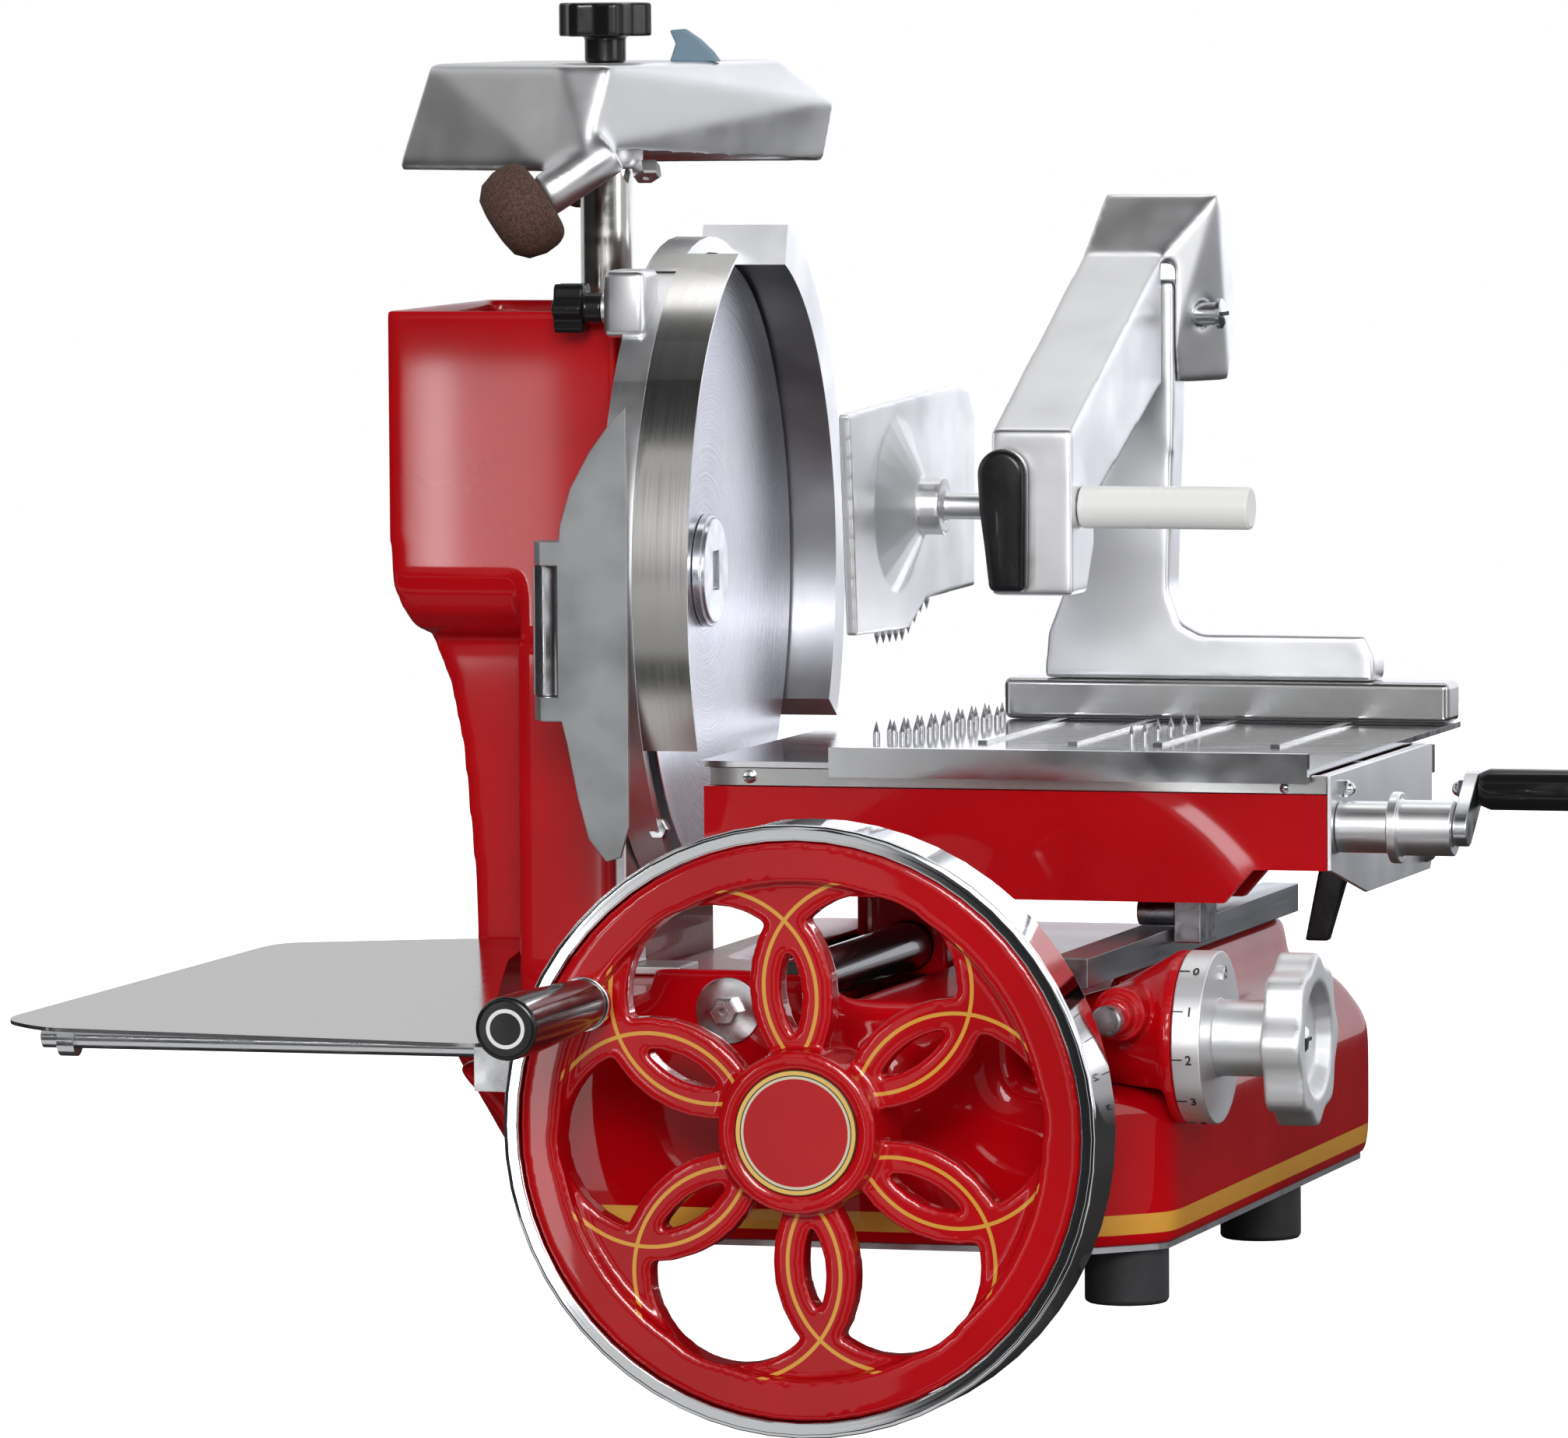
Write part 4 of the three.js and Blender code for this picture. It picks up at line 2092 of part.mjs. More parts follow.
const armEnd = (y, z) => {
  const points = [];
  for (let i = 0; i < FACETS_TINY; i++) {
    const angle = (i / FACETS_TINY) * TURN;
    for (const x of [armLeft, armLeft + ARM_THICKNESS]) {
      points.push([x, y + (ARM_WIDTH / 2) * Math.cos(angle), z + (ARM_WIDTH / 2) * Math.sin(angle)]);
    }
  }
  return points;
};
add(
  part,
  "crank_arm",
  join(
    hull([...armEnd(CRANK_Y, CRANK_Z), ...armEnd(CRANK_Y + throwY, CRANK_Z + throwZ)]),
    bar(
      "x",
      [armLeft + ARM_THICKNESS - GAP, CRANK_Y + throwY, CRANK_Z + throwZ],
      CRANK_GRIP_LENGTH * GRIP_SPINDLE_SHARE,
      CRANK_GRIP_PIN,
      FACETS_TINY,
    ),
  ),
  STEEL,
);
const crankGripLeft = armLeft + ARM_THICKNESS + GAP;
add(
  part,
  "crank_grip",
  cut(
    turned("x", [crankGripLeft, CRANK_Y + throwY, CRANK_Z + throwZ], [
      [0, 0],
      [CRANK_GRIP_RADIUS * 0.8, 0],
      [CRANK_GRIP_RADIUS, CRANK_GRIP_RADIUS / 2],
      [CRANK_GRIP_RADIUS, CRANK_GRIP_LENGTH - FOOT_EDGE],
      [CRANK_GRIP_RADIUS - FOOT_EDGE, CRANK_GRIP_LENGTH],
      [0, CRANK_GRIP_LENGTH],
    ], FACETS_SMALL),
    bar(
      "x",
      [crankGripLeft - CUT, CRANK_Y + throwY, CRANK_Z + throwZ],
      CUT + CRANK_GRIP_LENGTH * CRANK_BORE_SHARE,
      CRANK_GRIP_PIN + RUN,
      FACETS_TINY,
    ),
  ),
  BLACK,
);

// Meat clamp: the upright rides on the fence, and the arm swings on its tongue.
const clampBottom = FENCE_TOP_Z + GAP;
const clampFront = FENCE_FRONT;
const clampRise = CLAMP_TOP_Z - clampBottom;
const footTop = clampBottom + CLAMP_FOOT_HEIGHT;
const stemWidth = CLAMP_STEM_RIGHT - CLAMP_LEFT;
add(
  part,
  "clamp_upright",
  cut(
    plate(
      "y",
      clampFront,
      clampFront + CLAMP_THICKNESS,
      new THREE.Shape([
        new THREE.Vector2(CLAMP_LEFT, clampBottom),
        new THREE.Vector2(CLAMP_LEFT + CLAMP_FOOT_LENGTH, clampBottom),
        new THREE.Vector2(CLAMP_LEFT + CLAMP_FOOT_LENGTH, clampBottom + CLAMP_FOOT_HEIGHT / 2),
        new THREE.Vector2(CLAMP_LEFT + CLAMP_FOOT_LENGTH * 0.97, footTop),
        new THREE.Vector2(CLAMP_STEM_RIGHT + CLAMP_FOOT_HEIGHT * 0.6, footTop),
        new THREE.Vector2(CLAMP_STEM_RIGHT + CLAMP_FOOT_HEIGHT * 0.12, footTop + CLAMP_FOOT_HEIGHT * 0.25),
        new THREE.Vector2(CLAMP_STEM_RIGHT - CLAMP_FOOT_HEIGHT * 0.15, footTop + CLAMP_FOOT_HEIGHT),
        new THREE.Vector2(CLAMP_STEM_RIGHT, clampBottom + clampRise * 0.7),
        new THREE.Vector2(CLAMP_STEM_RIGHT, CLAMP_TOP_Z),
        new THREE.Vector2(CLAMP_TONGUE_LEFT, CLAMP_TOP_Z),
        new THREE.Vector2(CLAMP_TONGUE_LEFT, clampBottom + clampRise * 0.68),
        new THREE.Vector2(CLAMP_LEFT + stemWidth * 0.13, clampBottom + clampRise * 0.2),
        new THREE.Vector2(CLAMP_LEFT + stemWidth * 0.03, footTop),
      ]),
    ),
    bar(
      "x",
      [CLAMP_TONGUE_LEFT - CUT, PIVOT_Y, PIVOT_Z],
      stemWidth + 2 * CUT,
      PIVOT_RADIUS + RUN,
      FACETS_SMALL,
    ),
  ),
  ALUMINIUM,
);
const headRear = ARM_HEAD_FRONT + ARM_HEAD_DEPTH;
const rearRear = ARM_REAR_FRONT + ARM_REAR_DEPTH;
const armBeam = hull([
  ...[ARM_HEAD_LEFT, ARM_HEAD_RIGHT].flatMap((x) => [
    [x, ARM_HEAD_FRONT, ARM_HEAD_TOP_Z],
    [x, headRear, ARM_HEAD_BOTTOM_Z + ARM_HEAD_DEPTH],
    [x, headRear, ARM_HEAD_TOP_Z],
  ]),
  ...[ARM_LEFT, ARM_RIGHT].flatMap((x) => [
    [x, ARM_REAR_FRONT, ARM_REAR_LOW_Z],
    [x, ARM_REAR_FRONT, ARM_REAR_TOP_Z - ARM_REAR_DEPTH / 2],
  ]),
]);
const armHead = hull(
  [ARM_HEAD_LEFT, ARM_HEAD_RIGHT].flatMap((x) => [
    [x, ARM_HEAD_FRONT, ARM_HEAD_TOP_Z],
    [x, headRear, ARM_HEAD_TOP_Z],
    [x, ARM_HEAD_FRONT, ARM_HEAD_BOTTOM_Z],
    [x, headRear - ARM_HEAD_DEPTH / 3, ARM_HEAD_BOTTOM_Z],
    [x, headRear, ARM_HEAD_BOTTOM_Z + ARM_HEAD_DEPTH / 2],
  ]),
);
const armRear = hull([
  ...[ARM_LEFT, ARM_RIGHT].flatMap((x) => [
    [x, ARM_REAR_FRONT - GAP, ARM_REAR_LOW_Z],
    [x, ARM_REAR_FRONT - GAP, ARM_REAR_TOP_Z - ARM_REAR_DEPTH / 2],
  ]),
  ...[ARM_REAR_LEFT, ARM_REAR_RIGHT].flatMap((x) => [
    [x, ARM_REAR_FRONT + ARM_REAR_DEPTH * 0.4, ARM_REAR_TOP_Z],
    [x, ARM_REAR_FRONT + ARM_REAR_DEPTH * 0.75, ARM_REAR_TOP_Z - ARM_REAR_DEPTH * 0.18],
    [x, rearRear, PIVOT_Z],
    [x, rearRear - ARM_REAR_DEPTH / 4, ARM_REAR_LOW_Z],
  ]),
]);
const tongueReach = Math.hypot(PIVOT_Y - clampFront, CLAMP_TOP_Z - PIVOT_Z) + CLAMP_CLEAR;
const slotLeft = CLAMP_TONGUE_LEFT - GAP;
const slotWidth = CLAMP_STEM_RIGHT - CLAMP_TONGUE_LEFT + 2 * GAP;
const tongueSlot = join(
  bar("x", [slotLeft, PIVOT_Y, PIVOT_Z], slotWidth, tongueReach, FACETS),
  block(
    slotLeft,
    slotLeft + slotWidth,
    clampFront - SLOT_CLEAR,
    rearRear + CUT,
    ARM_REAR_LOW_Z - CUT,
    PIVOT_Z + tongueReach,
  ),
);
add(
  part,
  "clamp_arm",
  cut(
    join(armBeam, armHead, armRear),
    tongueSlot,
    bar(
      "x",
      [ARM_REAR_LEFT - CUT * 2, PIVOT_Y, PIVOT_Z],
      ARM_REAR_RIGHT - ARM_REAR_LEFT + 4 * CUT,
      PIVOT_RADIUS + GAP,
      FACETS_SMALL,
    ),
    bar(
      "x",
      [ARM_HEAD_LEFT - CUT, PUSH_SHAFT_Y, PUSH_SHAFT_Z],
      ARM_HEAD_RIGHT - ARM_HEAD_LEFT + 2 * CUT,
      PUSH_SHAFT_RADIUS + RUN,
      FACETS_SMALL,
    ),
  ),
  ALUMINIUM,
);
add(
  part,
  "clamp_pivot",
  bar(
    "x",
    [ARM_REAR_LEFT - CUT, PIVOT_Y, PIVOT_Z],
    ARM_REAR_RIGHT - ARM_REAR_LEFT + CUT,
    PIVOT_RADIUS,
    FACETS_SMALL,
  ),
  STEEL,
);
const handleLeft = ARM_HEAD_RIGHT + GAP;
add(
  part,
  "push_handle",
  cut(
    bar("x", [handleLeft, PUSH_SHAFT_Y, PUSH_SHAFT_Z], HANDLE_LENGTH, HANDLE_RADIUS, FACETS_SMALL),
    bar(
      "x",
      [handleLeft - CUT, PUSH_SHAFT_Y, PUSH_SHAFT_Z],
      HANDLE_SOCKET + CUT,
      PUSH_SHAFT_RADIUS + GAP,
      FACETS_SMALL,
    ),
  ),
  WHITE,
);
add(
  part,
  "lock_lever",
  plate("y", ARM_HEAD_FRONT - GAP - LEVER_THICKNESS, ARM_HEAD_FRONT - GAP, [
    [LEVER_LEFT + LEVER_WIDTH * 0.2, LEVER_TOP_Z],
    [LEVER_LEFT, LEVER_TOP_Z - LEVER_LENGTH * 0.15],
    [LEVER_LEFT + LEVER_WIDTH * 0.1, LEVER_TOP_Z - LEVER_LENGTH * 0.65],
    [LEVER_LEFT + LEVER_WIDTH * 0.35, LEVER_TOP_Z - LEVER_LENGTH],
    [LEVER_LEFT + LEVER_WIDTH, LEVER_TOP_Z - LEVER_LENGTH],
    [LEVER_LEFT + LEVER_WIDTH, LEVER_TOP_Z - LEVER_LENGTH * 0.15],
    [LEVER_LEFT + LEVER_WIDTH * 0.75, LEVER_TOP_Z],
  ]),
  BLACK,
);
const PUSHER_SHARES = [
  [0.05, 0.02],
  [0.46, 0],
  [0.6, 0.11],
  [0.99, 0.12],
  [1, 0.86],
  [0.95, 0.98],
  [0.86, 1],
  [0, 0.95],
];
add(
  part,
  "pusher_plate",
  join(
      plate(
        "x",
        PUSHER_X - PUSHER_THICKNESS,
        PUSHER_X,
        PUSHER_SHARES.map(([back, up]) => [
          PUSHER_FRONT + back * PUSHER_DEPTH,
          PUSHER_LOW_Z + up * PUSHER_HEIGHT,
        ]),
      ),
      bar(
        "x",
        [PUSHER_X - GAP, PUSH_SHAFT_Y, PUSH_SHAFT_Z],
        PUSHER_FLARE_LENGTH,
        PUSHER_FLARE_RADIUS,
        FACETS_SMALL,
        PUSHER_HUB_RADIUS,
      ),
      bar(
        "x",
        [PUSHER_X - GAP, PUSH_SHAFT_Y, PUSH_SHAFT_Z],
        PUSHER_HUB_LENGTH,
        PUSHER_HUB_RADIUS,
        FACETS_SMALL,
      ),
      bar(
        "x",
        [PUSHER_X, PUSH_SHAFT_Y, PUSH_SHAFT_Z],
        handleLeft + HANDLE_SOCKET - GAP - PUSHER_X,
        PUSH_SHAFT_RADIUS,
        FACETS_SMALL,
      ),
  ),
  ALUMINIUM,
);

// Thickness control: a red housing on the shoulder, a graduated drum and a handwheel.
const housingRight = DIAL_LEFT - GAP;
const sleeveLength = DIAL_Y - SLEEVE_FRONT;
add(
  part,
  "dial_housing",
  cut(
    join(
      turned("x", [HOUSING_LEFT, DIAL_Y, DIAL_Z], [
        [0, 0],
        [HOUSING_SMALL_RADIUS, 0],
        [HOUSING_WAIST_RADIUS, HOUSING_WAIST_X - HOUSING_LEFT],
        [DIAL_RADIUS, housingRight - HOUSING_LEFT - HOUSING_FLANGE],
        [DIAL_RADIUS, housingRight - HOUSING_LEFT],
        [0, housingRight - HOUSING_LEFT],
      ]),
      bar("y", [SLEEVE_X, SLEEVE_FRONT, SLEEVE_Z], sleeveLength, SLEEVE_RADIUS, FACETS_SMALL),
      bar(
        "y",
        [SLEEVE_X, SLEEVE_FRONT - ADJUSTER_PROUD, SLEEVE_Z],
        ADJUSTER_LENGTH,
        ADJUSTER_RADIUS,
        FACETS_SMALL,
      ),
    ),
    block(
      HOUSING_LEFT - CUT,
      BASE_RIGHT + GAP,
      SLEEVE_FRONT - CUT,
      SHOULDER_REAR,
      DIAL_Z - DIAL_RADIUS - CUT,
      SHOULDER_Z + GAP,
    ),
    block(
      RAIL_X - RAIL_WIDTH / 2 - GAP,
      RAIL_X + RAIL_WIDTH / 2 + GAP,
      BASE_FRONT - CUT,
      SHOULDER_REAR,
      railBottom - GAP,
      RAIL_TOP_Z + CUT,
    ),
  ),
  RED,
);
const dialRight = DIAL_LEFT + DIAL_LENGTH;
const neckRight = dialRight + DIAL_NECK_LENGTH;
add(
  part,
  "thickness_dial",
  join(
    bar("x", [DIAL_LEFT, DIAL_Y, DIAL_Z], DIAL_LENGTH, DIAL_RADIUS),
    bar("x", [dialRight - GAP, DIAL_Y, DIAL_Z], DIAL_NECK_LENGTH, DIAL_NECK_RADIUS, FACETS_SMALL),
  ),
  ALUMINIUM,
);
const handwheelOutline = shifted(
  lobedOutline(HANDWHEEL_RADIUS, HANDWHEEL_LOBES, HANDWHEEL_LOBE_SHARE, FACETS * 2),
  DIAL_Y,
  DIAL_Z,
);
add(
  part,
  "thickness_handwheel",
  cut(
    plate("x", neckRight, neckRight + HANDWHEEL_LENGTH, handwheelOutline),
    bar(
      "x",
      [neckRight + HANDWHEEL_LENGTH - HANDWHEEL_DISH, DIAL_Y, DIAL_Z],
      HANDWHEEL_DISH + CUT,
      HANDWHEEL_RADIUS * HANDWHEEL_DISH_SHARE * 0.8,
      FACETS_SMALL,
      HANDWHEEL_RADIUS * HANDWHEEL_DISH_SHARE * 1.1,
    ),
  ),
  ALUMINIUM,
);

export default part;
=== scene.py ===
"""A hand-cranked flywheel slicer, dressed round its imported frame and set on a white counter."""

import json
import math

import bmesh
import bpy
from mathutils import Matrix, Vector
from mathutils.bvhtree import BVHTree


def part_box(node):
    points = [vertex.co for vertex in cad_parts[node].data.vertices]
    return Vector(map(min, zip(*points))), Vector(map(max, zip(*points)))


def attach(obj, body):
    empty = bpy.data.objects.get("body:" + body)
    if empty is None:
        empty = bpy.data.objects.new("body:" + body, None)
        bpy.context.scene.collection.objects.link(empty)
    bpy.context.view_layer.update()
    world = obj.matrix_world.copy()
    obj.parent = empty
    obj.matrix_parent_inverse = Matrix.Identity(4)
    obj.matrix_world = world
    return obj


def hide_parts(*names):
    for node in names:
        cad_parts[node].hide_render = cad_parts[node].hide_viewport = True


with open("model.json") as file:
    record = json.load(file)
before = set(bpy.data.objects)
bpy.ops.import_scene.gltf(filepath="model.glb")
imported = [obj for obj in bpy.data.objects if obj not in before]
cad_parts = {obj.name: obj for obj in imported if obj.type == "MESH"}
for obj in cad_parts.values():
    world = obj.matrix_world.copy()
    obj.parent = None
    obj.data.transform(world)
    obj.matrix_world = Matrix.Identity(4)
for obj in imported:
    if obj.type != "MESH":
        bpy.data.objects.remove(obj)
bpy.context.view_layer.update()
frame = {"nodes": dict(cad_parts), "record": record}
scene = bpy.context.scene


# Feet.
# Four short rubber cylinders, pressed over a screw into the corners of the base.
# The rubber is moulded, so it is matte, with a fine pebble and slightly dusty.
MM = 0.001
TURN = math.tau
RUBBER_COLOUR = (0.026, 0.026, 0.029, 1)
RUBBER_GLOSS = 0.62
RUBBER_DRIFT = (60, 0.5, 0.78)
RUBBER_PEBBLE = (900, 0.12 * MM)
FOOT_EDGE = 1.6 * MM
COAT_GLOSS = 0.04
NOISE_SPAN = (0.3, 0.7)
NOISE_DETAIL = 4.0
MARK_DETAIL = 3.0
TONE_SPAN = (0.35, 0.65)
WELD = 0.01 * MM
RELAX_FACTOR = 0.5
FLAT_TURN = math.radians(0.5)


def finish(name, colour, gloss, metal=0.0, coat=0.0):
    """A new material with its steady values on the shader's own sockets."""
    material = bpy.data.materials.new(name)
    material.use_nodes = True
    shader = material.node_tree.nodes["Principled BSDF"]
    shader.inputs["Base Color"].default_value = colour
    shader.inputs["Roughness"].default_value = gloss
    shader.inputs["Metallic"].default_value = metal
    shader.inputs["Coat Weight"].default_value = coat
    shader.inputs["Coat Roughness"].default_value = COAT_GLOSS
    return material


def node(material, kind, **values):
    """A shader node with its inputs set by name, and its own settings by lower-case name."""
    made = material.node_tree.nodes.new(kind)
    for key, value in values.items():
        if key in made.inputs:
            made.inputs[key].default_value = value
        else:
            setattr(made, key, value)
    return made


def wire(material, source, target):
    """A link between two sockets."""
    material.node_tree.links.new(source, target)


def shader_of(material):
    """The shader that carries the surface."""
    return material.node_tree.nodes["Principled BSDF"]


def place_of(material, stretch=(1, 1, 1)):
    """The surface point in the piece's own metres, stretched along its axes."""
    where = node(material, "ShaderNodeTexCoord")
    mapping = node(material, "ShaderNodeMapping", Scale=stretch)
    wire(material, where.outputs["Object"], mapping.inputs["Vector"])
    return mapping.outputs["Vector"]


def grain(material, size, depth, stretch=(1, 1, 1), detail=MARK_DETAIL):
    """Relief of the surface: noise of that many bumps per metre, that deep in metres."""
    noise = node(material, "ShaderNodeTexNoise", Scale=size, Detail=detail)
    bump = node(material, "ShaderNodeBump", Distance=depth, Strength=1.0)
    wire(material, place_of(material, stretch), noise.inputs["Vector"])
    wire(material, noise.outputs["Fac"], bump.inputs["Height"])
    wire(material, bump.outputs["Normal"], shader_of(material).inputs["Normal"])


def gloss_between(material, noise, low, high):
    """A noise moves the gloss between two values."""
    spread = node(material, "ShaderNodeMapRange")
    labels = ("From Min", "From Max", "To Min", "To Max")
    for label, value in zip(labels, (*NOISE_SPAN, low, high)):
        spread.inputs[label].default_value = value
    wire(material, noise.outputs["Fac"], spread.inputs["Value"])
    wire(material, spread.outputs["Result"], shader_of(material).inputs["Roughness"])


def wander(material, size, low, high, stretch=(1, 1, 1)):
    """Gloss that wanders between two values, in patches of that many per metre."""
    noise = node(material, "ShaderNodeTexNoise", Scale=size, Detail=NOISE_DETAIL)
    wire(material, place_of(material, stretch), noise.inputs["Vector"])
    gloss_between(material, noise, low, high)


def shade(material, size, first, second, detail=NOISE_DETAIL):
    """Colour that drifts between two tones over the surface."""
    noise = node(material, "ShaderNodeTexNoise", Scale=size, Detail=detail)
    ramp = node(material, "ShaderNodeValToRGB")
    for step, position, tone in zip(ramp.color_ramp.elements, TONE_SPAN, (first, second)):
        step.position = position
        step.color = tone
    wire(material, place_of(material), noise.inputs["Vector"])
    wire(material, noise.outputs["Fac"], ramp.inputs["Fac"])
    wire(material, ramp.outputs["Color"], shader_of(material).inputs["Base Color"])


def worked_finish(name, colour, gloss, drift, marks, worn=(1, 1, 1), lay=(1, 1, 1), **amounts):
    """A finish whose gloss wanders and whose face has fine marks, each along its own way."""
    made = finish(name, colour, gloss, **amounts)
    wander(made, *drift, stretch=worn)
    grain(made, *marks, stretch=lay)
    return made


body_of = {
    name: body
    for body, names in frame["record"]["behaviour"]["bodies"].items()
    for name in names
}


def smooth(mesh, turn):
    """Rounds shade smooth, and edges that turn more than this stay crisp."""
    mesh.shade_smooth()
    mesh.set_sharp_from_angle(angle=math.radians(turn))


def settle(piece, like, material, replaced=()):
    """A finished piece takes its material and rides with the node that carries it."""
    piece.data.materials.clear()
    piece.data.materials.append(material)
    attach(piece, body_of[like])
    if replaced:
        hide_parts(*replaced)
    return piece


def skin(name, material, edge, steps=2, turn=32):
    """A node's solid with whole flat faces, eased edges and smooth rounds stands for it."""
    mesh = frame["nodes"][name].data.copy()
    mesh.name = "skin_" + name
    custom = mesh.attributes.get("custom_normal")
    if custom:
        mesh.attributes.remove(custom)
    work = bmesh.new()
    work.from_mesh(mesh)
    bmesh.ops.remove_doubles(work, verts=work.verts, dist=WELD)
    bmesh.ops.dissolve_limit(
        work, angle_limit=FLAT_TURN, verts=work.verts, edges=work.edges
    )
    work.to_mesh(mesh)
    work.free()
    smooth(mesh, turn)
    piece = bpy.data.objects.new("skin_" + name, mesh)
    scene.collection.objects.link(piece)
    if edge:
        bevel = piece.modifiers.new("edge", "BEVEL")
        bevel.width = edge
        bevel.segments = steps
        bevel.limit_method = "ANGLE"
        bevel.angle_limit = math.radians(turn)
        bevel.harden_normals = True
        bevel.use_clamp_overlap = True
    return settle(piece, name, material, (name,))


def plain(piece):
    """The piece's modifiers are worked into its mesh."""
    graph = bpy.context.evaluated_depsgraph_get()
    mesh = bpy.data.meshes.new_from_object(piece.evaluated_get(graph), depsgraph=graph)
    piece.modifiers.clear()
    piece.data = mesh
    return mesh


def cast_skin(name, material, cell, relax, swell=0, crown=None, turn=180):
    """As skin, for a casting: its solid is remade in small cells and relaxed until edges round.

    Thin walls swell a little first. Above its crown a casting is relaxed for more rounds, and
    below it only level by level, so that the lower rim stays where it is.
    """
    piece = skin(name, material, 0)
    if swell:
        thicker = piece.modifiers.new("thicker", "DISPLACE")
        thicker.strength = swell
        thicker.mid_level = 0
    cells = piece.modifiers.new("cells", "REMESH")
    cells.mode = "VOXEL"
    cells.voxel_size = cell
    cells.use_smooth_shade = True
    ease = piece.modifiers.new("ease", "SMOOTH")
    ease.factor = RELAX_FACTOR
    ease.iterations = relax
    mesh = plain(piece)
    if crown:
        height, rounds = crown
        work = bmesh.new()
        work.from_mesh(mesh)
        upper = [corner for corner in work.verts if corner.co.z > height]
        lower = [corner for corner in work.verts if corner.co.z <= height]
        for _ in range(rounds):
            for corners, upright in ((upper, True), (lower, False)):
                bmesh.ops.smooth_vert(
                    work,
                    verts=corners,
                    factor=RELAX_FACTOR,
                    use_axis_x=True,
                    use_axis_y=True,
                    use_axis_z=upright,
                )
        work.to_mesh(mesh)
        work.free()
    smooth(mesh, turn)
    mesh.materials.clear()
    mesh.materials.append(material)
    return piece


rubber = worked_finish(
    "foot_rubber", RUBBER_COLOUR, RUBBER_GLOSS, RUBBER_DRIFT, RUBBER_PEBBLE
)
for foot in ("front_left", "front_right", "rear_left", "rear_right"):
    skin("foot_" + foot, rubber, FOOT_EDGE, steps=3)


# Base.
# One thick iron casting under a deep red enamel, which pools a little and shows an orange peel.
# A gold line is painted round it just above the foot, and a steel sheet closes it from below.
RED = (0.47, 0.0006, 0.0045, 1)
RED_DEEP = (0.38, 0.0004, 0.003, 1)
RED_GLOSS = 0.3
RED_COAT = 0.4
RED_SHEEN = 0.12
RED_POOLS = 9
RED_DRIFT = (14, 0.26, 0.36)
PEEL = (190, 0.15 * MM)
PEEL_DETAIL = 1.5
BASE_SHEEN = 0.03
GOLD = (0.66, 0.33, 0.05, 1)
CASTING_CELL = 3.0 * MM
CASTING_RELAX = 4
BASE_CROWN = (0.058, 34)
BASE_LINE_LIFT = 6 * MM
BASE_LINE_HEIGHT = 10 * MM
SHEET_STEEL = (0.55, 0.56, 0.58, 1)
SHEET_GLOSS = 0.35
SHEET_DRIFT = (40, 0.3, 0.45)
SHEET_MARKS = (400, 0.02 * MM)
SHEET_WORN = (1, 12, 1)
SHEET_LAY = (1, 20, 1)
COVER_MIDDLE = (4.5 * MM, 42.5 * MM)
COVER_INSET = 0.975


def enamel(name):
    """Red stove enamel: two close tones, a glass-like coat and the peel of the spray."""
    made = finish(name, RED, RED_GLOSS, coat=RED_COAT)
    shader_of(made).inputs["Specular IOR Level"].default_value = RED_SHEEN
    shade(made, RED_POOLS, RED_DEEP, RED)
    grain(made, *PEEL, detail=PEEL_DETAIL)
    wander(made, *RED_DRIFT)
    return made


def reckon(material, kind, first, second=None):
    """One arithmetic step on sockets or numbers."""
    step = node(material, "ShaderNodeMath", operation=kind)
    for socket, value in zip(step.inputs, (first, second)):
        if isinstance(value, (int, float)):
            socket.default_value = value
        elif value is not None:
            wire(material, value, socket)
    return step.outputs[0]


def point_of(material):
    """The X, Y and Z of the surface point, in the piece's own metres."""
    where = node(material, "ShaderNodeTexCoord")
    parts = node(material, "ShaderNodeSeparateXYZ")
    wire(material, where.outputs["Object"], parts.inputs["Vector"])
    return parts.outputs


def paint_band(material, low, high, colour):
    """A painted line between two heights of the piece, over its own colour."""
    height = point_of(material)["Z"]
    above = reckon(material, "GREATER_THAN", height, low)
    below = reckon(material, "LESS_THAN", height, high)
    lay_paint(material, reckon(material, "MULTIPLY", above, below), colour)


def lay_paint(material, where, colour):
    """Paints a colour over what the shader shows so far, where the mask is one."""
    target = shader_of(material).inputs["Base Color"]
    mix = node(material, "ShaderNodeMix", data_type="RGBA")
    if target.links:
        wire(material, target.links[0].from_socket, mix.inputs[6])
    else:
        mix.inputs[6].default_value = target.default_value
    mix.inputs[7].default_value = colour
    wire(material, where, mix.inputs[0])
    wire(material, mix.outputs[2], target)


red = enamel("red_enamel")
base_paint = enamel("base_enamel")
shader_of(base_paint).inputs["Specular IOR Level"].default_value = BASE_SHEEN
base_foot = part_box("base_casting")[0][2]
base_line = base_foot + BASE_LINE_LIFT
paint_band(base_paint, base_line, base_line + BASE_LINE_HEIGHT, GOLD)
cast_skin("base_casting", base_paint, CASTING_CELL, CASTING_RELAX, crown=BASE_CROWN)
sheet_steel = worked_finish(
    "sheet_steel",
    SHEET_STEEL,
    SHEET_GLOSS,
    SHEET_DRIFT,
    SHEET_MARKS,
    worn=SHEET_WORN,
    lay=SHEET_LAY,
    metal=1.0,
)
cover = skin("base_cover", sheet_steel, 0)
for corner in cover.data.vertices:
    for axis, middle_at in enumerate(COVER_MIDDLE):
        corner.co[axis] = middle_at + (corner.co[axis] - middle_at) * COVER_INSET


